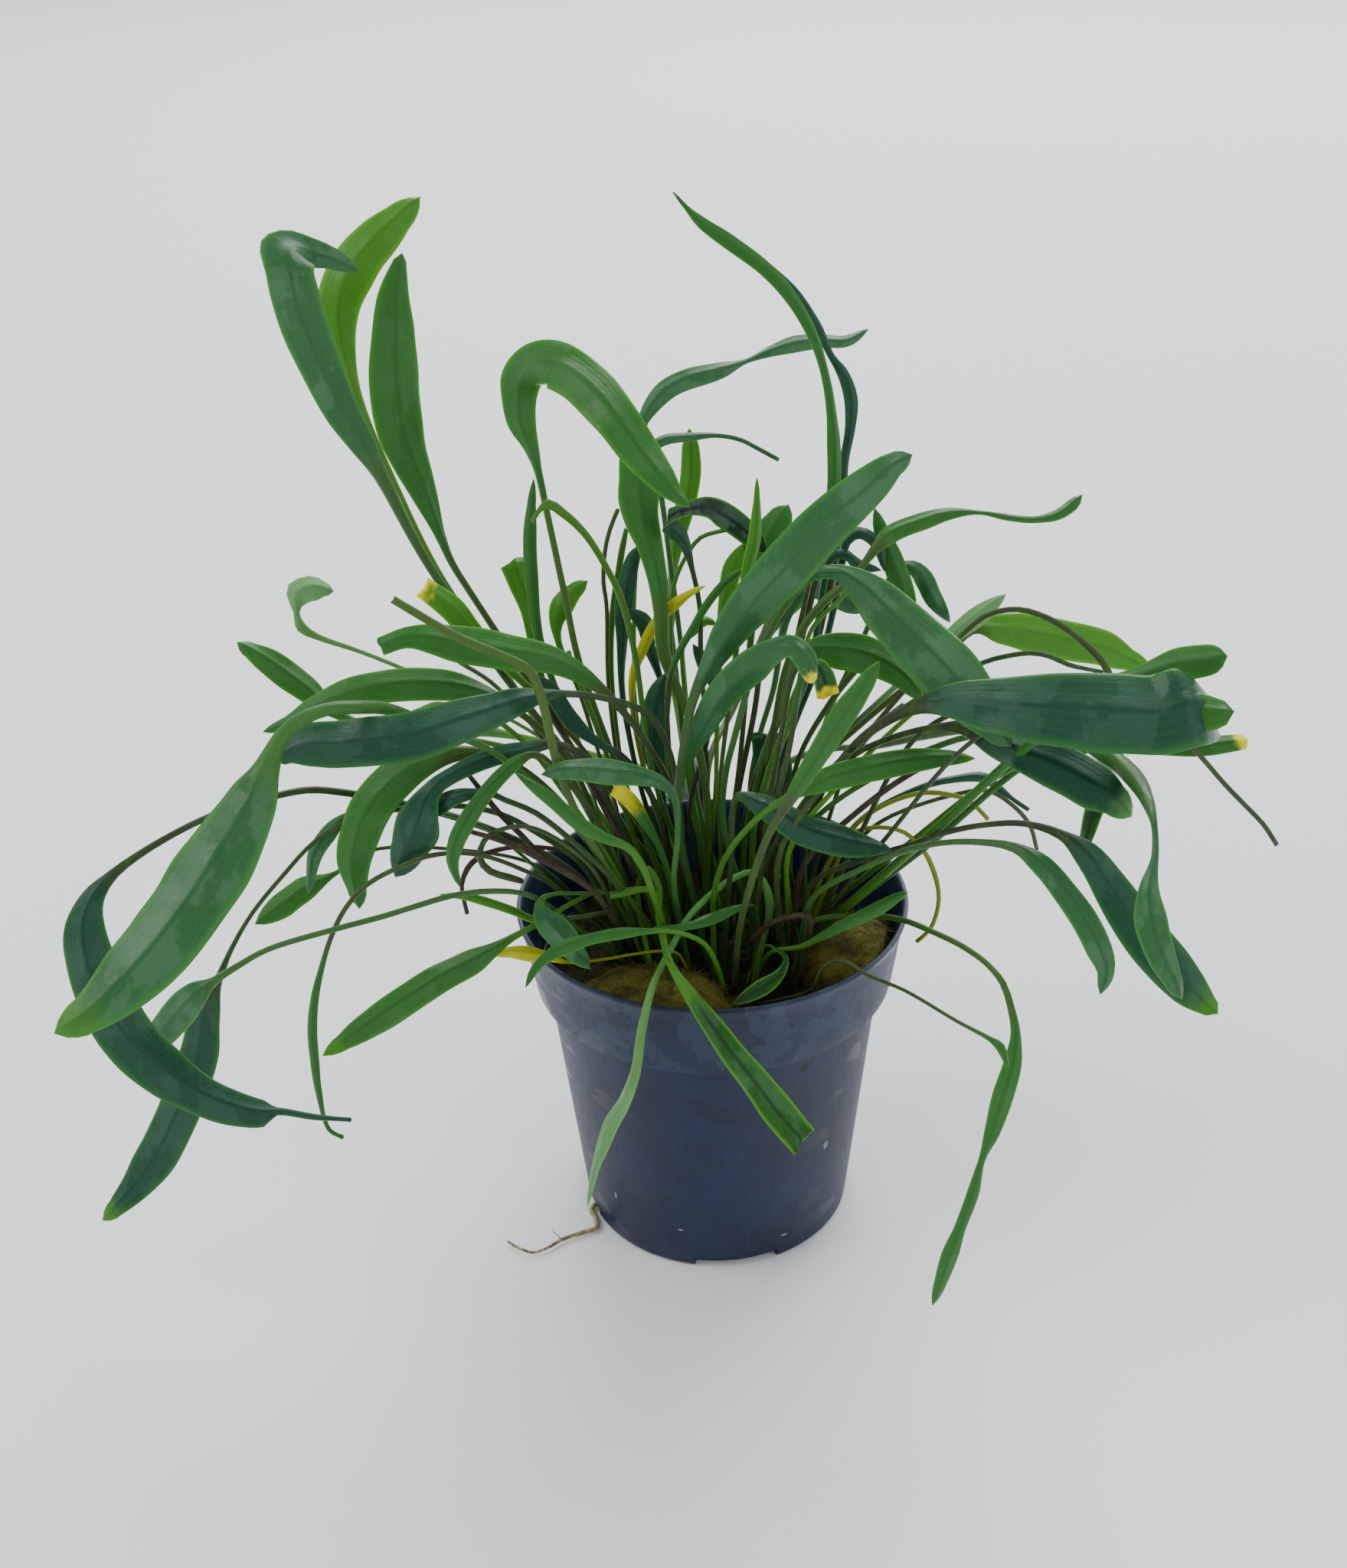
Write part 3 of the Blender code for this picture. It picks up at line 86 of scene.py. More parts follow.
# How leaves clear each other, as in the solids
BLADE_THICKNESS = 0.9
BLADE_FOLD = 0.10
CLEARANCE = 0.2
LONG_STEP = 26.0
SIDEWAYS_TURN = 1.0
# A blade that turns more sharply than this, as seen by the eye, folds over
FOLD_COSINE = 0.3
LEAST_HEIGHT = 2.0
SPREAD_ROUNDS = 160
FINE_SPREAD_ROUNDS = 50
SPREAD_STEP = 0.3
MOST_SWAY = 12.0
FOOT_SWAY = 3.0
# Neighbouring points of a leaf lean apart by no more than this share of their spacing, or it would buckle
LEAN_SLOPE = 0.25
LEAST_SLACK = 0.6
FOOT_CLEARANCE = 0.7
STEM_RADIUS = 3.2
STEM_LIFT = 3.0

# Fine form of a leaf
RING_SIDE = 11
SKIN = 0.34
RIB_WIDTH = 0.75
BLADE_STEP = 1.7
STALK_STEP = 2.6
EDGE_WAVE = 0.035
WAVE_LENGTH = 21.0
# Each leaf's waves start this many radians after those of the leaf before it
WAVE_SHIFT = 2.399
# Shares of half the width: the pleats of a blade, and how ragged a cut end is
PLEAT = 0.006
RAGGED_CUT = 0.16
# Rounds that even out how a leaf turns about its length
SIDE_ROUNDS = 6
# Stalks that have no share of brown of their own take one of these
BROWN_STALK = 0.7
GREEN_STALK = 0.15

# Reference view
EYE = Vector((0.0, -367.6, 320.2))
VIEW_PITCH = 29.33
VIEW_YAW = -1.26
VIEW_ROLL = -1.68
FOCAL_PIXELS = 2472.0
PICTURE_SIZE = (1759.0, 2048.0)
PICTURE_CENTRE = (879.5, 1024.0)
SENSOR = 36.0

# Ground, in metres
GROUND_REACH = 9.0
GROUND_HEIGHT = -0.0002

# Every leaf: tone, place of its foot on the wool, first point of its blade, and its route
LEAVES = {
    "leaf_back_bright": ("bright", (-8, 9), 5, (
        (640, 850, 28, 9), (568, 740, 30, 9), (505, 610, 32, 10), (465, 520, 36, 18), (447, 455, 40, 34),
        (442, 400, 43, 56), (462, 350, 46, 62), (490, 315, 49, 54), (520, 285, 52, 38), (548, 258, 55, 0))),
    "leaf_folded_left": ("dark", (-11, 3), 6, (
        (820, 1090, 4, 10), (740, 985, 6, 10), (660, 885, 8, 10), (550, 722, 9, 12), (498, 622, 7, 20),
        (470, 575, 5, 36), (448, 540, 4, 46), (420, 480, 2, 56), (398, 425, 0, 63), (385, 385, -2, 62),
        (379, 358, -3, 60), (376, 331, 1, 68), (404, 330, 7, 40), (432, 337, 9, 29), (468, 353, 11, 0))),
    "leaf_upright_left": ("mid", (-6, 6), 5, (
        (800, 1060, 8, 9), (700, 905, 14, 9), (615, 775, 17, 9), (590, 735, 18, 10), (575, 700, 18, 14),
        (552, 640, 18, 36), (535, 600, 18, 50), (522, 560, 18, 60), (514, 490, 18, 66), (513, 430, 18, 54),
        (514, 385, 18, 40), (520, 350, 18, 22), (525, 331, 18, 0))),
    "leaf_arch_centre": ("mid", (-7, -1), 6, (
        (850, 1110, 0, 8), (790, 960, 3, 8), (755, 860, 5, 9), (738, 780, 5, 9), (714, 668, 1, 9),
        (704, 620, -2, 10), (694, 585, -4, 20), (682, 555, -4, 36), (678, 520, -5, 46), (682, 494, -7, 52),
        (704, 474, -13, 56), (738, 483, -22, 62), (770, 507, -28, 64), (803, 545, -34, 57),
        (835, 590, -38, 52), (865, 627, -42, 38), (885, 650, -44, 18), (900, 662, -45, 0))),
    "leaf_tall_upright": ("mid", (-3, 2), 6, (
        (925, 1060, 0, 10), (905, 950, 1, 12), (880, 890, 2, 14), (866, 850, 2, 18), (863, 800, 2, 20),
        (858, 755, 3, 26), (848, 715, 4, 32), (838, 680, 5, 44), (834, 645, 6, 54), (832, 615, 7, 50),
        (822, 590, 8, 30), (812, 570, 9, 0))),
    "leaf_slender_right": ("pale", (2, 8), 6, (
        (905, 1050, 14, 8), (885, 900, 18, 8), (868, 760, 22, 9), (850, 640, 22, 10), (838, 560, 22, 12),
        (848, 535, 23, 20), (870, 510, 25, 27), (900, 495, 27, 28), (940, 484, 30, 22), (975, 472, 34, 6),
        (1005, 460, 37, 14), (1040, 449, 40, 22), (1075, 446, 43, 18), (1105, 446, 46, 15),
        (1133, 431, 50, 0))),
    "leaf_dry_tip": ("dry", (5, 10), 5, (
        (910, 1040, 20, 7), (890, 850, 26, 7), (862, 640, 28, 8), (850, 590, 29, 12), (865, 576, 30, 14),
        (900, 571, 33, 12), (935, 569, 37, 6), (965, 574, 40, 3), (990, 586, 43, 2), (1016, 600, 45, 1.5))),
    "leaf_yellow_green_upright": ("bright", (3, 12), 6, (
        (905, 1060, 22, 7), (885, 930, 32, 8), (873, 860, 38, 8), (878, 800, 40, 9), (878, 750, 42, 12),
        (882, 710, 43, 22), (895, 660, 44, 26), (902, 620, 45, 27), (902, 590, 45, 24), (900, 560, 45, 0))),
    "leaf_long_top": ("mid", (12, 4), 5, (
        (985, 1060, 10, 8), (1030, 900, 16, 8), (1060, 780, 20, 9), (1078, 700, 22, 12), (1088, 640, 24, 17),
        (1089, 590, 25, 18), (1085, 535, 26, 13), (1076, 485, 27, 11), (1062, 440, 28, 14),
        (1035, 392, 27, 17), (1000, 352, 26, 19), (955, 318, 24, 20), (915, 290, 22, 15), (895, 270, 21, 6),
        (879, 251, 20, 0))),
    "leaf_long_top_pair": ("dark", (15, 7), 5, (
        (1000, 1050, 18, 8), (1050, 900, 28, 8), (1085, 760, 34, 9), (1100, 650, 38, 10), (1103, 600, 40, 12),
        (1110, 560, 41, 14), (1111, 520, 42, 18), (1100, 487, 42, 15), (1085, 465, 41, 9),
        (1066, 425, 40, 12), (1040, 385, 39, 12), (1005, 350, 38, 9), (960, 312, 37, 0))),
    "leaf_big_diagonal": ("dark", (-1, -7), 6, (
        (905, 1175, -9, 9), (888, 1100, -12, 10), (886, 1030, -14, 10), (895, 960, -16, 11),
        (908, 905, -18, 14), (928, 868, -19, 28), (950, 830, -21, 44), (985, 785, -23, 60),
        (1025, 742, -25, 68), (1065, 698, -27, 66), (1105, 660, -29, 60), (1140, 630, -31, 50),
        (1168, 606, -33, 32), (1191, 594, -34, 0))),
    "leaf_folded_dark": ("dark", (1, 3), 6, (
        (925, 1050, 3, 6), (920, 930, 5, 6), (915, 850, 6, 7), (914, 795, 6, 7), (905, 748, 6, 7),
        (893, 708, 6, 16), (881, 692, 5, 26), (868, 679, 2, 24), (890, 667, -1, 16), (920, 662, 2, 26),
        (950, 676, 8, 34), (980, 700, 10, 30), (1000, 722, 12, 0))),
    "leaf_left_point": ("mid", (-14, 8), 4, (
        (720, 1000, 14, 7), (580, 960, 18, 8), (470, 945, 21, 10), (430, 925, 22, 20), (400, 900, 24, 34),
        (375, 882, 25, 38), (350, 864, 26, 34), (328, 850, 27, 22), (310, 840, 28, 0))),
    "leaf_arch_upper_left": ("dark", (-15, 2), 3, (
        (740, 990, -4, 8), (670, 925, -8, 10), (630, 905, -9, 24), (580, 895, -10, 40), (520, 895, -11, 44),
        (460, 905, -12, 40), (410, 925, -12, 30), (375, 945, -12, 18), (345, 956, -12, 0))),
    "leaf_big_dark_left": ("dark", (-9, -6), 6, (
        (890, 1080, -8, 8), (872, 975, -12, 8), (845, 932, -15, 9), (790, 912, -19, 9), (740, 906, -22, 10),
        (705, 909, -24, 20), (680, 915, -26, 34), (640, 929, -28, 48), (590, 945, -30, 60),
        (540, 962, -31, 64), (490, 968, -32, 66), (440, 972, -33, 62), (400, 974, -34, 54),
        (375, 983, -35, 30), (360, 995, -36, 0))),
    "leaf_big_front_left": ("grey", (-10, -9), 11, (
        (760, 1090, -14, 8), (640, 980, -18, 9), (560, 948, -24, 12), (532, 934, -29, 14),
        (500, 925, -38, 17), (470, 924, -42, 18), (425, 927, -46, 18), (390, 942, -48, 20),
        (366, 965, -50, 22), (350, 1000, -53, 34), (330, 1045, -57, 66), (305, 1090, -62, 84),
        (275, 1140, -66, 96), (240, 1192, -71, 96), (200, 1243, -76, 90), (155, 1290, -80, 76),
        (112, 1326, -83, 50), (72, 1350, -85, 0))),
    "leaf_torn_left": ("dark", (-5, -4), 4, (
        (880, 1040, -6, 8), (830, 950, -10, 9), (790, 905, -12, 14), (760, 882, -13, 24),
        (720, 862, -14, 36), (680, 855, -15, 46), (640, 848, -15, 50), (600, 842, -16, 48),
        (560, 834, -17, 38), (530, 833, -17, 28), (497, 845, -18, 24))),
    "leaf_stalk_cut_left": ("bright", (-8, -8), 99, (
        (790, 1130, -24, 9), (752, 1060, -28, 10), (728, 1000, -30, 11), (705, 905, -32, 13),
        (690, 875, -32, 13), (655, 856, -31, 12), (600, 833, -30, 12), (513, 783, -30, 11))),
    "leaf_hanging_bright": ("bright", (-14, -2), 5, (
        (760, 1080, -6, 8), (690, 1010, -9, 9), (640, 985, -11, 12), (590, 985, -13, 24),
        (550, 997, -14, 40), (515, 1020, -15, 52), (485, 1055, -16, 56), (468, 1095, -17, 52),
        (462, 1130, -18, 42), (466, 1160, -19, 26), (470, 1186, -20, 0))),
    "leaf_folded_teal": ("dark", (-12, -3), 4, (
        (800, 1060, -13, 8), (765, 990, -16, 9), (725, 972, -18, 12), (690, 978, -19, 20),
        (655, 986, -20, 25), (620, 998, -20, 24), (590, 1013, -21, 22), (568, 1028, -22, 24),
        (556, 1050, -23, 40), (546, 1080, -24, 62), (532, 1110, -25, 46), (517, 1145, -25, 0))),
    "leaf_olive_twist": ("mid", (-15, -5), 4, (
        (790, 1090, -18, 7), (735, 1015, -22, 7), (700, 985, -24, 8), (672, 998, -25, 18),
        (650, 1018, -26, 20), (628, 1045, -27, 22), (610, 1073, -28, 24), (596, 1100, -29, 22),
        (591, 1125, -30, 16), (595, 1142, -30, 10), (601, 1157, -30, 0))),
    "leaf_far_left_hook": ("dark", (-17, -4), 12, (
        (760, 1150, -8, 10), (700, 1110, -6, 10), (600, 1069, -6, 10), (498, 1044, -8, 10),
        (440, 1034, -11, 10), (400, 1032, -15, 10), (340, 1045, -22, 9), (275, 1066, -30, 9),
        (235, 1085, -35, 9), (190, 1111, -40, 10), (150, 1140, -45, 14), (122, 1172, -49, 30),
        (112, 1210, -52, 50), (118, 1255, -54, 62), (140, 1310, -55, 68), (170, 1358, -55, 70),
        (212, 1398, -54, 64), (262, 1430, -52, 52), (310, 1449, -50, 44), (345, 1455, -49, 34),
        (362, 1452, -48, 10), (410, 1459, -46, 8), (458, 1463, -44, 4))),
    "leaf_low_left": ("dark", (-18, -8), 12, (
        (760, 1130, -12, 7), (700, 1087, -12, 8), (650, 1062, -12, 8), (590, 1052, -12, 8),
        (520, 1057, -13, 7), (455, 1072, -15, 7), (410, 1100, -17, 6), (370, 1143, -19, 6),
        (330, 1192, -21, 6), (302, 1240, -22, 7), (285, 1280, -23, 12), (268, 1325, -24, 40),
        (262, 1370, -25, 50), (248, 1415, -27, 52), (230, 1460, -29, 56), (208, 1505, -31, 54),
        (180, 1545, -33, 42), (152, 1577, -35, 24), (135, 1594, -36, 0))),
    "leaf_pale_triangle": ("pale", (-19, -12), 10, (
        (690, 1169, -28, 7), (640, 1164, -30, 8), (590, 1170, -32, 8), (545, 1183, -34, 8),
        (500, 1197, -35, 8), (440, 1213, -37, 8), (350, 1240, -39, 8), (310, 1262, -39, 9),
        (280, 1281, -39, 12), (258, 1298, -39, 34), (238, 1318, -38, 44), (215, 1345, -37, 40),
        (192, 1375, -36, 22), (180, 1395, -35, 0))),
    "leaf_hanging_thin": ("mid", (-17, -10), 10, (
        (720, 1155, -20, 6), (680, 1135, -22, 6), (640, 1120, -24, 6), (600, 1114, -25, 6),
        (560, 1118, -26, 7), (525, 1131, -26, 7), (480, 1155, -27, 7), (450, 1188, -28, 7),
        (432, 1225, -29, 7), (420, 1265, -29, 8), (411, 1305, -30, 11), (408, 1345, -30, 13),
        (411, 1385, -30, 12), (416, 1425, -30, 9), (430, 1476, -30, 3), (448, 1486, -30, 1.5))),
    "leaf_narrow_green_left": ("bright", (-16, -9), 3, (
        (800, 1193, -14, 6), (760, 1198, -17, 7), (700, 1202, -21, 9), (670, 1190, -23, 11),
        (635, 1178, -25, 12), (605, 1171, -27, 9), (575, 1169, -29, 0))),
    "leaf_low_front_left": ("mid", (-15, -14), 6, (
        (790, 1165, -18, 6), (750, 1178, -21, 6), (728, 1191, -23, 7), (700, 1208, -26, 8),
        (670, 1224, -30, 10), (645, 1240, -34, 18), (615, 1257, -38, 34), (580, 1275, -43, 38),
        (545, 1297, -48, 40), (510, 1320, -52, 40), (475, 1343, -56, 34), (448, 1362, -59, 22),
        (422, 1379, -62, 0))),
    "leaf_grey_over_rim": ("grey", (-12, -11), 6, (
        (840, 1162, -14, 5), (795, 1167, -17, 5), (750, 1167, -20, 5), (722, 1168, -22, 6),
        (706, 1176, -24, 10), (708, 1192, -26, 24), (722, 1210, -29, 38), (738, 1228, -33, 38),
        (752, 1245, -36, 26), (770, 1265, -39, 0))),
    "leaf_front_over_rim": ("bright", (2, -24), 6, (
        (945, 1290, -30, 6), (935, 1258, -32, 7), (920, 1233, -33, 7), (900, 1222, -34, 7),
        (870, 1216, -35, 6), (840, 1217, -36, 9), (805, 1220, -37, 16), (770, 1227, -38, 15),
        (740, 1237, -40, 20), (715, 1250, -42, 15), (698, 1267, -44, 11), (687, 1289, -47, 0))),
    "leaf_front_bent_stalk": ("pale", (8, -12), 13, (
        (1000, 1215, -12, 8), (1005, 1180, -11, 12), (997, 1152, -10, 10), (984, 1139, -8, 9),
        (960, 1146, -12, 9), (930, 1167, -18, 9), (900, 1197, -24, 9), (878, 1235, -29, 9),
        (860, 1270, -36, 9), (850, 1295, -43, 10), (838, 1345, -50, 12), (830, 1400, -52, 14),
        (815, 1440, -53, 17), (800, 1465, -53, 20), (790, 1490, -53, 18), (778, 1525, -52, 10),
        (768, 1573, -50, 0))),
    "leaf_front_cut": ("bright", (-14, -16), 8, (
        (832, 1162, -8, 8), (846, 1134, -13, 8), (861, 1160, -18, 9), (860, 1185, -20, 10),
        (866, 1225, -30, 10), (876, 1260, -38, 11), (897, 1293, -44, 18), (925, 1332, -50, 26),
        (955, 1373, -54, 33), (985, 1410, -57, 38), (1015, 1450, -59, 44), (1050, 1490, -60, 42))),
    "leaf_wavy_right": ("bright", (16, 2), 7, (
        (1000, 1040, 4, 7), (1030, 860, 6, 8), (1065, 800, 7, 8), (1105, 762, 8, 8), (1124, 742, 9, 9),
        (1142, 718, 11, 14), (1165, 697, 13, 24), (1200, 683, 15, 24), (1240, 671, 17, 16),
        (1280, 670, 19, 5), (1315, 676, 21, 9), (1350, 679, 23, 9), (1380, 673, 25, 14),
        (1400, 660, 27, 16), (1413, 647, 28, 0))),
    "leaf_wide_right": ("grey", (13, -5), 5, (
        (945, 1080, -6, 8), (960, 960, -10, 9), (990, 860, -13, 9), (1030, 785, -15, 9),
        (1062, 752, -16, 14), (1095, 748, -18, 22), (1130, 770, -21, 46), (1160, 800, -25, 66),
        (1195, 835, -29, 76), (1235, 875, -34, 80), (1270, 915, -38, 70), (1300, 950, -41, 40),
        (1320, 975, -43, 0))),
    "leaf_wide_front_right": ("dark", (12, -6), 7, (
        (1010, 1150, -10, 9), (1050, 1080, -14, 9), (1090, 1005, -23, 10), (1125, 965, -31, 12),
        (1160, 940, -36, 14), (1200, 922, -43, 22), (1240, 915, -48, 44), (1290, 920, -52, 70),
        (1340, 925, -55, 86), (1400, 928, -57, 98), (1460, 932, -59, 108), (1510, 934, -60, 104),
        (1545, 925, -61, 104), (1562, 923, -58, 100), (1571, 922, -52, 90), (1573, 922, -46, 40))),
    "leaf_dark_right": ("dark", (17, -9), 7, (
        (1000, 1130, -10, 8), (1060, 1040, -13, 8), (1110, 990, -17, 8), (1160, 965, -23, 8),
        (1220, 950, -30, 9), (1258, 950, -34, 20), (1300, 968, -39, 40), (1340, 985, -43, 52),
        (1385, 1003, -45, 62), (1425, 1025, -47, 62), (1455, 1045, -49, 42), (1477, 1066, -50, 0))),
    "leaf_bright_right": ("bright", (18, 4), 5, (
        (1030, 1040, 6, 7), (1120, 950, 12, 8), (1230, 860, 18, 10), (1270, 824, 19, 10),
        (1300, 822, 20, 36), (1350, 828, 22, 52), (1400, 838, 24, 50), (1445, 848, 26, 46),
        (1475, 862, 27, 28), (1505, 876, 28, 0))),
    "leaf_behind_right": ("mid", (24, -6), 3, (
        (1200, 960, -20, 7), (1380, 905, -35, 10), (1480, 885, -42, 24), (1540, 868, -46, 44),
        (1580, 862, -48, 40), (1603, 857, -49, 0))),
    "leaf_droop_upper_right": ("grey", (21, -7), 8, (
        (1030, 1110, -8, 7), (1150, 1010, -16, 8), (1280, 960, -29, 9), (1400, 965, -36, 14),
        (1450, 990, -43, 26), (1480, 1015, -52, 26), (1500, 1050, -62, 17), (1508, 1085, -70, 8),
        (1508, 1120, -74, 10), (1500, 1160, -78, 26), (1503, 1205, -81, 42), (1515, 1245, -83, 38),
        (1530, 1278, -85, 26), (1542, 1304, -86, 0))),
    "leaf_droop_dark": ("dark", (22, -10), 8, (
        (1060, 1155, -16, 8), (1130, 1122, -22, 8), (1190, 1103, -28, 8), (1240, 1086, -33, 8),
        (1290, 1077, -38, 8), (1340, 1076, -43, 9), (1385, 1090, -47, 14), (1418, 1115, -51, 34),
        (1450, 1160, -55, 48), (1485, 1210, -59, 58), (1520, 1255, -63, 60), (1552, 1290, -66, 50),
        (1575, 1312, -68, 30), (1590, 1324, -70, 0))),
    "leaf_droop_grey": ("grey", (21, -14), 7, (
        (1060, 1175, -22, 8), (1130, 1133, -29, 8), (1180, 1112, -34, 8), (1230, 1101, -39, 8),
        (1280, 1100, -44, 9), (1325, 1107, -48, 14), (1360, 1130, -52, 28), (1390, 1165, -56, 33),
        (1415, 1200, -60, 35), (1435, 1240, -63, 33), (1444, 1270, -65, 22), (1437, 1298, -67, 0))),
    "leaf_lowest_right": ("mid", (19, -13), 10, (
        (1060, 1205, -14, 8), (1110, 1197, -16, 8), (1150, 1197, -18, 8), (1180, 1202, -24, 8),
        (1220, 1218, -35, 8), (1260, 1238, -48, 8), (1290, 1260, -55, 8), (1310, 1285, -60, 9),
        (1320, 1315, -62, 10), (1326, 1350, -64, 13), (1322, 1390, -66, 24), (1310, 1430, -68, 28),
        (1295, 1480, -68, 20), (1282, 1515, -68, 9), (1270, 1560, -68, 16), (1255, 1600, -68, 15),
        (1240, 1640, -68, 22), (1228, 1675, -67, 16), (1218, 1703, -66, 0))),
    "leaf_thin_front_right": ("mid", (10, -20), 8, (
        (1062, 1290, -30, 5), (1070, 1270, -30, 5), (1085, 1256, -30, 5), (1105, 1256, -32, 5),
        (1130, 1272, -36, 5), (1180, 1293, -45, 5), (1250, 1334, -60, 5), (1290, 1356, -66, 6),
        (1306, 1368, -69, 12), (1316, 1394, -70, 0))),
    "leaf_right_over_rim": ("mid", (8, -16), 3, (
        (1008, 1243, -22, 6), (1045, 1237, -24, 8), (1085, 1217, -25, 12), (1120, 1200, -26, 16),
        (1150, 1185, -27, 18), (1172, 1172, -28, 12), (1185, 1166, -29, 0))),
    "leaf_yellow_tip": ("mid", (0, -12), 5, (
        (932, 1170, -17, 8), (945, 1125, -22, 8), (975, 1083, -27, 8), (1010, 1053, -30, 9),
        (1040, 1036, -31, 14), (1075, 1020, -32, 30), (1110, 1010, -32, 36), (1150, 1001, -32, 36),
        (1190, 994, -31, 32), (1230, 990, -31, 22), (1272, 991, -30, 0))),
    "leaf_dark_crossing": ("dark", (2, -10), 5, (
        (950, 1190, -14, 7), (955, 1110, -17, 8), (957, 1060, -19, 9), (963, 1041, -20, 12),
        (985, 1048, -21, 26), (1015, 1063, -22, 36), (1050, 1085, -23, 42), (1090, 1097, -24, 42),
        (1125, 1105, -25, 32), (1150, 1108, -26, 16), (1163, 1110, -26, 0))),
    "leaf_narrow_rising_right": ("bright", (4, -18), 6, (
        (960, 1275, -26, 8), (966, 1212, -30, 9), (985, 1140, -34, 10), (1003, 1092, -36, 10),
        (1025, 1055, -37, 14), (1050, 1015, -38, 24), (1075, 975, -39, 30), (1100, 935, -40, 34),
        (1125, 900, -41, 26), (1148, 864, -42, 0))),
    "leaf_round_back": ("mid", (11, -8), 4, (
        (1000, 1080, -10, 8), (1020, 960, -14, 8), (1035, 880, -16, 10), (1055, 850, -17, 22),
        (1090, 850, -18, 46), (1125, 855, -19, 52), (1158, 868, -21, 44), (1185, 888, -23, 32),
        (1205, 914, -25, 0))),
    "leaf_wet_fold": ("grey", (-2, -4), 3, (
        (885, 1060, -8, 8), (890, 1010, -12, 14), (915, 955, -18, 30), (945, 905, -24, 42),
        (980, 872, -29, 46), (1012, 850, -33, 34), (1035, 845, -35, 30), (1052, 862, -37, 32),
        (1060, 890, -38, 14))),
    "leaf_upright_right": ("mid", (19, 2), 3, (
        (1040, 1000, 8, 7), (1140, 850, 16, 10), (1185, 800, 19, 18), (1178, 768, 20, 30),
        (1165, 730, 21, 28), (1152, 698, 22, 20), (1142, 664, 23, 0))),
    "leaf_rear_left": ("mid", (-6, 16), 4, (
        (850, 1015, 38, 9), (770, 985, 56, 9), (690, 965, 72, 9), (640, 956, 80, 14), (600, 948, 86, 40),
        (570, 945, 91, 56), (545, 945, 95, 40), (525, 950, 98, 0))),
    "leaf_rear_centre": ("mid", (0, 17), 4, (
        (925, 1000, 40, 9), (960, 920, 62, 9), (1000, 830, 80, 16), (1030, 780, 86, 44),
        (1060, 740, 90, 60), (1085, 710, 93, 40), (1100, 690, 95, 0))),
    "leaf_rear_right": ("dark", (8, 15), 4, (
        (1020, 1005, 38, 9), (1140, 975, 56, 9), (1250, 952, 72, 16), (1330, 940, 80, 46),
        (1400, 935, 85, 62), (1450, 930, 89, 44), (1490, 928, 92, 0))),
    "leaf_rear_hanging": ("dark", (-2, 21), 4, (
        (912, 1010, 40, 9), (904, 990, 58, 9), (896, 998, 74, 12), (890, 1030, 86, 34),
        (885, 1085, 93, 50), (880, 1135, 95, 46), (878, 1170, 95, 0))),
}

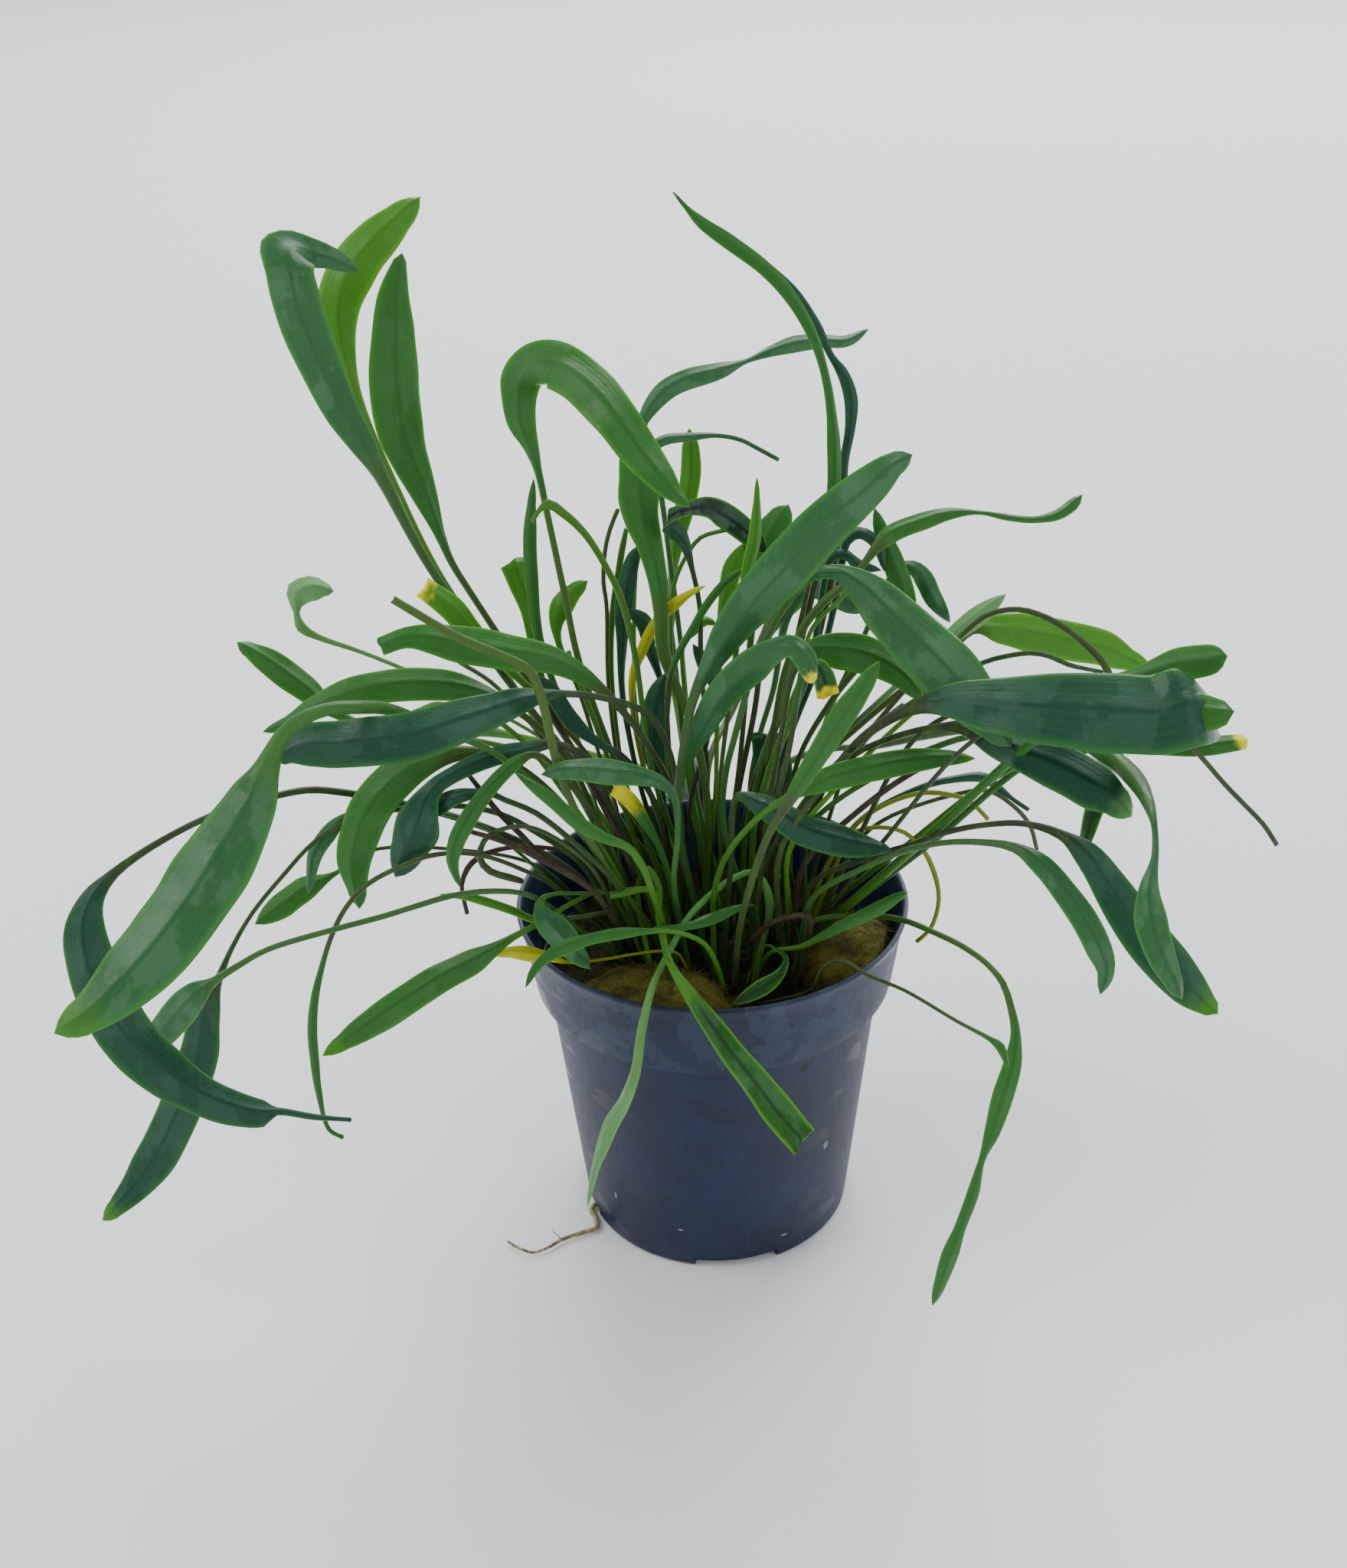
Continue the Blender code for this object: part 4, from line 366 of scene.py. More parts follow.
# Each shoot: the place of its short stem on the wool, and the small leaves and stubs joined to it
SHOOTS = {
    "shoot_back": (("bright", (-2, 11)), {
        "bent_stalk": (99, (
            (850, 1000, 0, 7), (830, 860, 3, 8), (812, 785, 4, 9), (790, 738, 1, 9), (762, 695, -3, 10),
            (735, 670, -6, 12), (715, 658, -8, 14), (703, 668, -9, 4), (695, 682, -10, 1.5))),
        "narrow_left": (3, (
            (790, 1040, 4, 6), (735, 920, 8, 7), (705, 840, 9, 12), (693, 740, 10, 18), (692, 700, 10, 18),
            (694, 660, 10, 12), (697, 626, 10, 0))),
        "cut_yellow": (3, (
            (780, 1040, 8, 6), (720, 920, 14, 7), (696, 840, 16, 12), (690, 795, 17, 22), (680, 765, 18, 30),
            (668, 733, 19, 34))),
        "small_bright": (3, (
            (800, 1030, 8, 5), (755, 900, 12, 6), (728, 835, 13, 9), (727, 810, 14, 20), (735, 790, 14, 30),
            (750, 772, 15, 22), (767, 759, 15, 0))),
        "behind_diagonal": (3, (
            (960, 1040, 8, 7), (975, 900, 12, 7), (985, 790, 15, 14), (995, 740, 17, 40), (1005, 705, 18, 48),
            (1018, 678, 19, 34), (1030, 660, 20, 0))),
        "narrow_pair": (3, (
            (935, 1020, 2, 6), (937, 900, 8, 8), (942, 830, 10, 12), (948, 785, 11, 20), (956, 745, 12, 26),
            (974, 708, 12, 0))),
        "yellow_small": (3, (
            (850, 1040, 10, 5), (828, 940, 12, 7), (826, 885, 12, 10), (838, 850, 11, 14), (855, 815, 8, 14),
            (878, 792, 3, 15), (900, 775, -1, 9), (921, 765, -4, 0))),
    }),
    "shoot_left": (("pale", (-22, 2)), {
        "curl_small": (6, (
            (760, 1010, 10, 5), (640, 925, 14, 5), (470, 851, 20, 6), (415, 832, 21, 9), (394, 820, 21, 14),
            (387, 800, 22, 8), (390, 775, 23, 34), (408, 768, 24, 34), (425, 770, 25, 18),
            (435, 773, 25, 0))),
        "yellow_cut_end": (3, (
            (800, 1040, 4, 6), (720, 930, 7, 8), (650, 860, 8, 14), (615, 825, 9, 30), (590, 795, 9, 34),
            (553, 768, 9, 28))),
        "pale_small": (4, (
            (700, 1130, -4, 5), (600, 1110, -5, 5), (484, 1111, -8, 5), (440, 1140, -9, 6),
            (395, 1163, -11, 34), (372, 1180, -12, 34), (334, 1207, -14, 0))),
        "dry_curl": (99, (
            (780, 1130, -8, 4), (730, 1110, -9, 4), (683, 1106, -10, 5), (650, 1110, -11, 7),
            (625, 1120, -12, 8), (610, 1135, -12, 8), (603, 1157, -13, 5), (610, 1193, -13, 1.5))),
        "grey_hanging": (3, (
            (620, 1075, -10, 5), (455, 1065, -14, 10), (430, 1088, -15, 22), (412, 1115, -16, 20),
            (406, 1145, -17, 12), (403, 1165, -17, 0))),
    }),
    "shoot_right": (("pale", (22, 10)), {
        "pale_droop": (3, (
            (1060, 1000, 12, 6), (1120, 850, 20, 7), (1160, 760, 23, 8), (1174, 742, 24, 12),
            (1191, 742, 24, 20), (1207, 757, 25, 26), (1218, 780, 25, 24), (1240, 812, 26, 0))),
        "pale_tip": (3, (
            (1010, 1060, 2, 6), (1110, 950, 6, 7), (1200, 870, 8, 9), (1245, 830, 9, 22), (1275, 806, 10, 26),
            (1313, 777, 12, 0))),
        "arch_stem": (99, (
            (1030, 1080, -6, 6), (1130, 960, -5, 7), (1210, 870, -4, 7), (1252, 833, -3, 7),
            (1290, 803, -3, 8), (1330, 796, -4, 8), (1370, 808, -6, 8), (1410, 835, -8, 9),
            (1440, 865, -11, 10), (1452, 890, -14, 9), (1460, 925, -18, 1.5))),
        "yellow_cut_strip": (2, (
            (1330, 1000, -24, 8), (1450, 975, -34, 14), (1520, 975, -41, 24), (1570, 975, -47, 26),
            (1626, 969, -47, 20))),
        "pale_behind": (3, (
            (980, 1050, 16, 7), (1010, 900, 28, 8), (1028, 805, 32, 12), (1050, 770, 34, 28),
            (1080, 768, 35, 40), (1106, 785, 36, 30), (1128, 799, 37, 0))),
    }),
}

# Finish of each small leaf that differs from its shoot's
SMALL_TONES = {
    "bent_stalk": "mid", "narrow_left": "mid", "cut_yellow": "bright", "small_bright": "bright",
    "behind_diagonal": "mid", "narrow_pair": "bright", "yellow_small": "yellow", "curl_small": "pale",
    "yellow_cut_end": "bright", "pale_small": "mid", "dry_curl": "dry", "grey_hanging": "grey",
    "pale_droop": "bright", "pale_tip": "pale", "arch_stem": "mid", "yellow_cut_strip": "mid",
    "pale_behind": "pale",
}

# Small leaves and stalks finer than the solids, joined to each shoot: tone, blade's first point, foot, route
FINE_LEAVES = {
    "shoot_back": {
        "thin_arch": ("mid", 9, (-2, 11), (
            (870, 1000, 14, 5), (876, 880, 15, 5), (880, 765, 15, 5), (900, 720, 15, 6), (915, 702, 15, 6),
            (935, 695, 15, 6), (950, 692, 15, 1.5))),
        "slant_thin": ("mid", 3, (-2, 1), (
            (880, 1040, 0, 6), (872, 900, -2, 7), (885, 855, -4, 9), (905, 820, -5, 10), (925, 787, -5, 11),
            (950, 758, -5, 11), (976, 741, -5, 0))),
        "thin_upright": ("bright", 4, (3, -3), (
            (940, 1030, -4, 6), (955, 900, -6, 7), (968, 800, -8, 9), (975, 745, -9, 14), (984, 710, -9, 17),
            (987, 680, -9, 14), (988, 650, -9, 8), (988, 625, -9, 0))),
        "stalk_pair_a": ("bright", 9, (-6, 10), (
            (815, 1030, 16, 5), (795, 900, 19, 5), (792, 790, 20, 5), (788, 760, 20, 6), (790, 720, 20, 6),
            (797, 690, 20, 5), (807, 665, 20, 3))),
        "stalk_pair_b": ("mid", 9, (-5, 12), (
            (820, 1040, 18, 8), (797, 860, 22, 9), (800, 800, 22, 9), (808, 745, 22, 9), (812, 720, 22, 9),
            (818, 690, 22, 6))),
        "dark_upright": ("dark", 2, (-4, 9), (
            (840, 1040, 12, 7), (812, 900, 14, 8), (812, 840, 14, 14), (815, 790, 14, 24), (825, 735, 14, 20),
            (835, 712, 14, 0))),
        "light_stalk": ("bright", 9, (-3, 12), (
            (850, 1040, 20, 6), (828, 900, 22, 6), (828, 850, 22, 6), (828, 790, 22, 6), (830, 750, 22, 3))),
        "dark_short": ("dark", 2, (-1, 13), (
            (865, 1040, 18, 6), (865, 900, 16, 7), (848, 845, 14, 16), (840, 812, 14, 22),
            (818, 795, 13, 0))),
        "small_upright": ("dark", 3, (0, 11), (
            (900, 1060, 14, 6), (925, 960, 14, 7), (932, 900, 13, 10), (922, 870, 12, 22),
            (905, 842, 12, 0))),
        "tip_small": ("bright", 2, (1, 12), (
            (905, 1040, 16, 5), (893, 840, 12, 6), (905, 825, 12, 12), (923, 811, 12, 12),
            (935, 816, 12, 0))),
        "blunt_rear": ("dark", 3, (8, 12), (
            (1000, 1200, 16, 8), (1004, 1130, 17, 14), (1006, 1095, 19, 30), (1008, 1060, 20, 48),
            (1010, 1010, 20, 50), (1004, 958, 20, 46))),
        "dark_tip": ("dark", 2, (-3, 7), (
            (872, 1100, 8, 7), (862, 1030, 8, 14), (852, 960, 8, 34), (857, 915, 8, 30), (868, 880, 8, 0))),
        "stalk_row_a": ("mid", 9, (4, 6), (
            (960, 1060, 10, 8), (985, 930, 12, 8), (1000, 840, 13, 8), (1025, 800, 14, 8),
            (1035, 778, 14, 5))),
        "stalk_row_b": ("mid", 9, (6, 7), (
            (975, 1060, 12, 8), (1020, 920, 14, 8), (1045, 815, 15, 8), (1048, 800, 15, 7),
            (1057, 760, 15, 5))),
        "stalk_row_c": ("mid", 9, (7, 2), (
            (975, 1080, 6, 7), (1015, 930, 8, 7), (1040, 833, 9, 7), (1065, 795, 10, 7), (1085, 775, 10, 7),
            (1105, 760, 10, 5))),
        "stalk_row_d": ("bright", 9, (9, 3), (
            (985, 1080, 8, 6), (1035, 930, 10, 6), (1060, 822, 11, 6), (1095, 785, 12, 6),
            (1112, 765, 12, 4))),
        "folded_small_a": ("dark", 2, (13, 9), (
            (1000, 1060, 18, 7), (1075, 850, 20, 8), (1107, 706, 20, 12), (1122, 696, 20, 16),
            (1145, 710, 20, 16), (1155, 745, 20, 0))),
        "folded_small_b": ("dark", 2, (12, 8), (
            (995, 1060, 16, 7), (1060, 860, 18, 8), (1087, 728, 18, 10), (1103, 724, 18, 14),
            (1120, 738, 18, 16), (1150, 745, 18, 0))),
    },
    "shoot_left": {
        "hook_brown": ("dry", 9, (-15, 0), (
            (760, 1150, -12, 8), (705, 1115, -14, 8), (680, 1090, -15, 8), (650, 1060, -16, 8),
            (630, 1035, -16, 8), (612, 1012, -16, 5))),
        "pale_curl": ("pale", 9, (-16, -2), (
            (760, 1120, -14, 6), (690, 1080, -16, 6), (640, 1090, -17, 7), (626, 1120, -17, 9),
            (640, 1138, -17, 10), (665, 1146, -17, 10), (682, 1151, -17, 8))),
        "dark_blade_low": ("dark", 5, (-14, -5), (
            (800, 1150, -14, 7), (760, 1110, -16, 8), (700, 1062, -18, 8), (660, 1045, -19, 8),
            (640, 1037, -19, 9), (600, 1040, -20, 20), (575, 1052, -20, 26), (558, 1062, -20, 0))),
        "centre_left_bright": ("mid", 4, (-9, -10), (
            (852, 1165, -22, 9), (838, 1130, -26, 10), (820, 1107, -28, 11), (790, 1095, -30, 14),
            (755, 1075, -32, 20), (720, 1045, -34, 18), (673, 1010, -34, 0))),
        "wet_centre": ("grey", 3, (-6, -9), (
            (880, 1150, -20, 8), (885, 1090, -22, 8), (880, 1040, -23, 10), (862, 1022, -24, 18),
            (840, 1015, -25, 24), (790, 1008, -26, 35), (740, 1006, -27, 25), (708, 1012, -28, 0))),
        "dark_stalk": ("dark", 3, (-8, -3), (
            (860, 1060, -6, 8), (815, 990, -8, 9), (780, 970, -9, 12), (745, 940, -10, 24),
            (720, 905, -10, 24),
            (690, 880, -10, 0))),
        "yellow_bit": ("mid", 1, (-6, -7), (
            (862, 1110, -12, 8), (826, 1050, -14, 20), (802, 1028, -14, 22))),
        "yellow_low": ("yellow", 5, (-6, -20), (
            (880, 1243, -24, 4), (830, 1246, -26, 4), (790, 1253, -27, 4), (745, 1257, -28, 5),
            (715, 1250, -29, 12), (690, 1246, -30, 20), (665, 1244, -31, 14), (645, 1248, -32, 0))),
        "cut_stub": ("mid", 9, (-10, -11), ((845, 1161, -15, 9), (820, 1166, -15, 9), (797, 1170, -15, 9))),
        "row_a": ("mid", 9, (-13, -3), (
            (800, 1130, -2, 7), (740, 1040, -2, 7), (690, 975, -3, 7), (640, 935, -4, 7), (610, 920, -4, 4))),
        "row_b": ("bright", 9, (-12, 0), (
            (800, 1110, 2, 6), (735, 1000, 3, 6), (680, 930, 3, 6), (640, 890, 3, 6), (600, 865, 3, 3))),
        "row_c": ("dry", 9, (-11, -2), (
            (815, 1110, 0, 8), (760, 1000, 1, 8), (720, 930, 1, 8), (700, 890, 1, 6))),
        "row_d": ("dry", 9, (-16, -6), (
            (770, 1160, -14, 8), (720, 1130, -16, 8), (660, 1100, -18, 8), (610, 1085, -18, 6))),
        "row_e": ("mid", 9, (-9, 0), (
            (830, 1100, 4, 7), (790, 980, 5, 7), (760, 900, 5, 7), (742, 850, 5, 5))),
    },
    "shoot_right": {
        "behind_lower": ("mid", 1, (24, -4), (
            (1400, 940, -38, 12), (1500, 930, -44, 40), (1560, 930, -48, 52), (1590, 932, -49, 40),
            (1611, 930, -50, 0))),
        "dry_thread": ("grey", 9, (21, -3), (
            (1300, 950, -30, 6), (1540, 960, -40, 5), (1567, 987, -41, 6), (1600, 1025, -42, 6),
            (1630, 1056, -43, 6), (1650, 1077, -44, 5), (1667, 1103, -45, 1.5))),
        "cut_yellow": ("mid", 3, (9, -3), (
            (1000, 1100, -6, 7), (1030, 980, -12, 8), (1045, 890, -18, 10), (1062, 862, -22, 18),
            (1075, 880, -25, 28), (1082, 910, -27, 30))),
        "front_inside": ("mid", 3, (8, -14), (
            (990, 1210, -17, 4), (984, 1183, -18, 4), (960, 1188, -20, 10), (930, 1200, -22, 16),
            (895, 1211, -24, 9), (854, 1212, -26, 0))),
        "inside_rim": ("mid", 2, (9, -18), (
            (1000, 1235, -24, 4), (1015, 1240, -28, 4), (1027, 1252, -30, 6), (1018, 1272, -33, 14),
            (995, 1290, -36, 22), (957, 1312, -38, 0))),
        "thin_dark": ("dark", 9, (20, 6), (
            (1120, 980, 13, 6), (1285, 865, 15, 7), (1310, 858, 15, 7), (1345, 853, 15, 7),
            (1370, 857, 15, 7),
            (1395, 868, 15, 7), (1440, 878, 15, 2))),
        "striped_hanging": ("mid", 1, (22, -8), (
            (1380, 985, -20, 9), (1430, 1040, -24, 22), (1424, 1075, -26, 22), (1416, 1105, -28, 14),
            (1412, 1137, -29, 0))),
        "thin_a": ("dark", 1, (21, -1), (
            (1120, 1075, 0, 7), (1200, 1030, 0, 8), (1245, 1018, 2, 10), (1285, 1016, 3, 14),
            (1308, 1033, 3, 10), (1325, 1046, 4, 4), (1343, 1058, 4, 1.5))),
        "thin_b": ("mid", 9, (22, 0), (
            (1140, 1080, 1, 5), (1250, 1037, 3, 6), (1290, 1033, 3, 6), (1320, 1050, 3, 6),
            (1345, 1078, 3, 6),
            (1354, 1110, 3, 2))),
        "thin_c": ("yellow", 9, (22, -2), (
            (1120, 1075, -6, 5), (1170, 1045, -6, 6), (1210, 1035, -6, 7), (1240, 1038, -6, 7),
            (1262, 1044, -6, 6), (1278, 1057, -6, 4), (1290, 1070, -6, 1.5))),
        "thin_arc": ("yellow", 9, (21, -6), (
            (1080, 1130, -8, 4), (1120, 1085, -8, 4), (1170, 1083, -8, 4), (1200, 1103, -8, 6),
            (1220, 1140, -8, 7), (1226, 1175, -8, 5), (1215, 1213, -8, 3), (1197, 1230, -8, 1.5))),
        "dead_stalk": ("dry", 9, (20, -15), (
            (1055, 1197, -16, 8), (1035, 1197, -16, 8), (1015, 1202, -16, 8), (1000, 1210, -16, 8),
            (978, 1232, -16, 7))),
        "row_a": ("dry", 9, (14, -3), (
            (1010, 1100, -4, 8), (1060, 990, -6, 8), (1105, 920, -8, 8), (1140, 890, -9, 6))),
        "row_b": ("mid", 9, (16, -6), (
            (1020, 1110, -10, 8), (1080, 1020, -14, 8), (1130, 960, -17, 8), (1180, 920, -20, 6))),
        "row_c": ("bright", 9, (18, -3), (
            (1035, 1100, -8, 7), (1110, 1010, -12, 7), (1170, 950, -15, 7), (1230, 900, -18, 5))),
        "row_d": ("dry", 9, (19, -8), (
            (1050, 1130, -14, 8), (1120, 1060, -20, 8), (1190, 1010, -25, 8), (1240, 985, -28, 6))),
        "row_e": ("mid", 9, (10, -1), (
            (985, 1080, 2, 8), (1020, 960, 2, 8), (1050, 880, 2, 8), (1075, 850, 2, 5))),
    },
}

# How far a leaf's stalk has turned from green, at 0, to mauve brown, at 1
BROWN_STALKS = {
    "leaf_folded_left": 0.4, "leaf_upright_left": 0.5, "leaf_arch_centre": 0.4, "leaf_tall_upright": 0.4,
    "leaf_big_diagonal": 0.45, "leaf_torn_left": 0.7, "leaf_stalk_cut_left": 0.6, "leaf_folded_teal": 0.6,
    "leaf_far_left_hook": 0.35, "leaf_pale_triangle": 0.3, "leaf_dark_right": 0.5, "leaf_droop_dark": 0.45,
    "leaf_droop_grey": 0.4, "leaf_lowest_right": 0.5, "leaf_wide_front_right": 0.5, "leaf_round_back": 0.6,
    "leaf_upright_right": 0.6, "leaf_hanging_bright": 0.5, "leaf_big_dark_left": 0.35,
    "leaf_arch_upper_left": 0.5, "leaf_droop_upper_right": 0.1, "leaf_wavy_right": 0.5,
    "leaf_front_cut": 0.0, "leaf_grey_over_rim": 0.0, "leaf_front_over_rim": 0.0,
    "leaf_front_bent_stalk": 0.0, "leaf_rear_right": 0.1,
}
# How many millimetres of each leaf's end have turned yellow
YELLOW_ENDS = {
    "leaf_big_front_left": 12.0, "leaf_low_left": 9.0, "leaf_low_front_left": 8.0, "leaf_droop_dark": 8.0,
    "leaf_dark_right": 7.0, "leaf_yellow_tip": 4.0, "leaf_wet_fold": 2.0, "leaf_round_back": 3.0,
    "shoot_left_yellow_cut_end": 2.6, "shoot_right_yellow_cut_strip": 2.6, "shoot_right_cut_yellow": 2.0,
    "shoot_left_yellow_bit": 9.0,
}

# Skins that differ from the leaf's tone, which gives its slot
FINISHES = {
    "leaf_big_diagonal": "grey", "leaf_folded_left": "grey", "leaf_arch_upper_left": "mid",
    "leaf_torn_left": "mid", "leaf_hanging_bright": "mid", "leaf_slender_right": "grey",
    "leaf_pale_triangle": "grey", "leaf_front_cut": "mid", "leaf_dry_tip": "grey",
    "shoot_left_pale_small": "mid", "shoot_right_pale_droop": "grey", "shoot_right_pale_behind": "grey",
    "leaf_wavy_right": "mid", "leaf_narrow_rising_right": "mid", "leaf_front_over_rim": "mid",
}


def view_axes():
    pitch = math.radians(VIEW_PITCH)
    yaw = math.radians(VIEW_YAW)
    roll = math.radians(VIEW_ROLL)
    forward = Vector((math.sin(yaw) * math.cos(pitch), math.cos(yaw) * math.cos(pitch), -math.sin(pitch)))
    level = Vector((math.cos(yaw), -math.sin(yaw), 0.0))
    above = level.cross(forward)
    right = math.cos(roll) * level + math.sin(roll) * above
    up = -math.sin(roll) * level + math.cos(roll) * above
    return forward, right, up


FORWARD, RIGHT, UP = view_axes()


def sight_line(px, py):
    across = (px - PICTURE_CENTRE[0]) / FOCAL_PIXELS
    down = (py - PICTURE_CENTRE[1]) / FOCAL_PIXELS
    return FORWARD + across * RIGHT - down * UP


def seen(px, py, depth):
    """The point that the reference view shows at a pixel, at a depth y."""
    line = sight_line(px, py)
    return EYE + line * ((depth - EYE.y) / line.y)


def seen_at_height(px, py, height):
    line = sight_line(px, py)
    return EYE + line * ((height - EYE.z) / line.z)


def around(azimuth, radius, height):
    """A point round the pot's axis: azimuth 0 is the front, and 90 is the +X side."""
    turn = math.radians(azimuth)
    return Vector((math.sin(turn) * radius, -math.cos(turn) * radius, height))


def real_width(point, pixels):
    return pixels * (point - EYE).dot(FORWARD) / FOCAL_PIXELS


# Routes of the leaves, spread apart as the solids are


class Leaf:
    """One leaf: its foot on the wool, its route, and how far each point leans along the line of sight.

    A small leaf rises from the stem of its shoot. A fine one stands on the wool, in the group of a shoot.
    """

    def __init__(self, name, tone, foot, blade, route, wool, shoot=None, group=None):
        self.name = name
        self.tone = tone
        self.shoot = shoot
        self.group = group
        self.blade = blade
        self.route = route
        self.wool = wool
        self.foot = foot
        self.depths = [float(foot[1])] + [float(step[2]) for step in route]
        self.start_depths = tuple(self.depths)
        marks = [seen(px, py, depth) for px, py, depth, _ in route]
        lengths = [(two - one).length for one, two in zip(marks, marks[1:])]
        self.slacks = [MOST_SWAY] + [max(LEAST_SLACK, LEAN_SLOPE * length) for length in lengths]
        self.shape(CLEARANCE)

    def foot_point(self):
        """The middle of the stalk's end, just clear of the wool, or inside the shoot's stem."""
        place, slope = wool_surface(self.wool, self.foot[0], self.depths[0])
        if self.shoot:
            return place + Vector((0.0, 0.0, STEM_LIFT))
        return place + slope * (0.5 * real_width(place, self.route[0][3]) + FOOT_CLEARANCE)

    def centres(self):
        """Centre points and widths, with the place in the route that each comes from."""
        points = [self.foot_point()]
        points += [seen(px, py, depth) for (px, py, _, _), depth in zip(self.route, self.depths[1:])]
        widths = [real_width(points[0], self.route[0][3])]
        widths += [real_width(point, step[3]) for point, step in zip(points[1:], self.route)]
        indices = [float(i) for i in range(len(points))]
        dense = [(points[0], widths[0], indices[0])]
        for i in range(len(points) - 1):
            if (points[i + 1] - points[i]).length > LONG_STEP:
                before = points[max(i - 1, 0)]
                after = points[min(i + 2, len(points) - 1)]
                middle = 0.5625 * (points[i] + points[i + 1]) - 0.0625 * (before + after)
                dense.append((middle, 0.5 * (widths[i] + widths[i + 1]), indices[i] + 0.5))
            dense.append((points[i + 1], widths[i + 1], indices[i + 1]))
        return dense

    def sides(self, points, flat, outward):
        """The direction across the leaf at each point, and the points where the blade folds over."""
        steps = [(two - one).normalized() for one, two in zip(points, points[1:])]
        seen_steps = [(step - FORWARD * step.dot(FORWARD)).normalized() for step in steps]
        last = len(points) - 1
        folds = {i for i in range(1, last)
                 if flat[i] and seen_steps[i - 1].dot(seen_steps[i]) < FOLD_COSINE}
        sides = []
        for i, point in enumerate(points):
            before = steps[max(i - 1, 0)]
            after = steps[min(i, last - 1)]
            if i + 1 in folds:
                after = before
            elif i - 1 in folds:
                before = after
            along = (before + after).normalized()
            facing = along.cross(point - EYE).normalized()
            level = along.cross(Vector((0.0, 0.0, 1.0))) + 0.35 * outward.cross(Vector((0.0, 0.0, 1.0)))
            level -= along * level.dot(along)
            level.normalize()
            side = (facing + level * (SIDEWAYS_TURN * level.dot(facing))).normalized()
            compare = sides[i - 2] if i - 1 in folds else sides[i - 1] if i else side
            if side.dot(compare) < 0.0:
                side.negate()
            sides.append(side)
        for i in folds:
            sides[i] = (sides[i - 1] + sides[i + 1]).normalized()
        return sides, folds

    def shape(self, clearance):
        """Rings of four points: left edge, upper face, right edge, lower face."""
        dense = self.centres()
        points = [step[0] for step in dense]
        outward = points[-1] - points[0]
        outward.z = 0.0
        outward.normalize()
        rings = []
        self.stations = []
        sides, folds = self.sides(points, [step[2] >= self.blade for step in dense], outward)
        for i, (point, width, index) in enumerate(dense):
            side = sides[i]
            along = (points[min(i + 1, len(points) - 1)] - points[max(i - 1, 0)]).normalized()
            facing = side - FORWARD * side.dot(FORWARD) if i in folds else along.cross(point - EYE)
            facing.normalize()
            along -= side * along.dot(side)
            over = side.cross(along).normalized()
            flat = index >= self.blade
            real = width / max(abs(side.dot(facing)), 0.5)
            self.stations.append((point, real if flat else width, side, index))
            thick = min(BLADE_THICKNESS, real) if flat else min(width, real)
            if width == 0.0:
                rings.append((point, index))
                continue
            dip = BLADE_FOLD * real if flat else 0.0
            half = 0.5 * real + clearance
            rise = 0.5 * thick + clearance
            rings.append(((point - side * half, point + over * (rise - dip), point + side * half,
                           point - over * (rise + dip)), index))
        self.points, self.faces, self.owners = coarse_skin(rings)

    def tree(self):
        return BVHTree.FromPolygons(self.points, self.faces)


def coarse_skin(rings):
    """A closed skin over rings of four points; the last ring may be one point."""
    points = []
    starts = []
    for ring, _ in rings:
        starts.append(len(points))
        points.extend(ring if isinstance(ring, tuple) else (ring,))
    faces = [(3, 2, 1), (3, 1, 0)]
    owners = [(rings[0][1], rings[1][1])] * 2
    for (low, high, ring_low, ring_high) in zip(starts, starts[1:], rings, rings[1:]):
        for k in range(4):
            n = (k + 1) % 4
            if isinstance(ring_high[0], tuple):
                if k < 2:
                    faces += [(low + n, high + n, high + k), (low + n, high + k, low + k)]
                else:
                    faces += [(low + n, high + n, low + k), (high + n, high + k, low + k)]
                owners.append((ring_low[1], ring_high[1]))
            else:
                faces.append((low + n, high, low + k))
            owners.append((ring_low[1], ring_high[1]))
    if isinstance(rings[-1][0], tuple):
        end = starts[-1]
        faces += [(end, end + 1, end + 2), (end, end + 2, end + 3)]
        owners += [(rings[-2][1], rings[-1][1])] * 2
    return points, faces, owners


def wool_surface(wool, x, y):
    """The point and the upward normal of the wool's top."""
    place, slope, _, _ = wool.ray_cast(Vector((x, y, 2.0 * POT_HEIGHT)), Vector((0.0, 0.0, -1.0)))
    return place, slope


def node_tree_of(name):
    """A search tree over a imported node, in millimetres."""
    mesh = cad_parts[name].data
    points = [vertex.co / MM for vertex in mesh.vertices]
    faces = [tuple(face.vertices) for face in mesh.polygons]
    return BVHTree.FromPolygons(points, faces)


def push(leaf, owners, amount):
    """Leans the points next to a clash along the line of sight, within limits, and their neighbours too."""
    low = int(math.floor(owners[0]))
    high = int(math.ceil(owners[1]))
    last = len(leaf.depths) - 1
    first = 1 if leaf.shoot else 0
    sways = [depth - start for depth, start in zip(leaf.depths, leaf.start_depths)]
    for i in range(max(low, first), min(high, last) + 1):
        most = FOOT_SWAY if i == 0 else MOST_SWAY
        sways[i] = min(max(sways[i] + amount, -most), most)
    for i in range(low - 1, -1, -1):
        bound_sway(sways, i, i + 1, leaf.slacks[i])
    for i in range(high + 1, last + 1):
        bound_sway(sways, i, i - 1, leaf.slacks[i - 1])
    sways[0] = 0.0 if leaf.shoot else min(max(sways[0], -FOOT_SWAY), FOOT_SWAY)
    leaf.depths = [start + sway for start, sway in zip(leaf.start_depths, sways)]


def bound_sway(sways, index, neighbour, slack):
    """Keeps a point's lean within a slack of its neighbour's."""
    sways[index] = min(max(sways[index], sways[neighbour] - slack), sways[neighbour] + slack)


def start_depth(leaf, owners):
    low = leaf.start_depths[int(math.floor(owners[0]))]
    high = leaf.start_depths[int(math.ceil(owners[1]))]
    return 0.5 * (low + high)


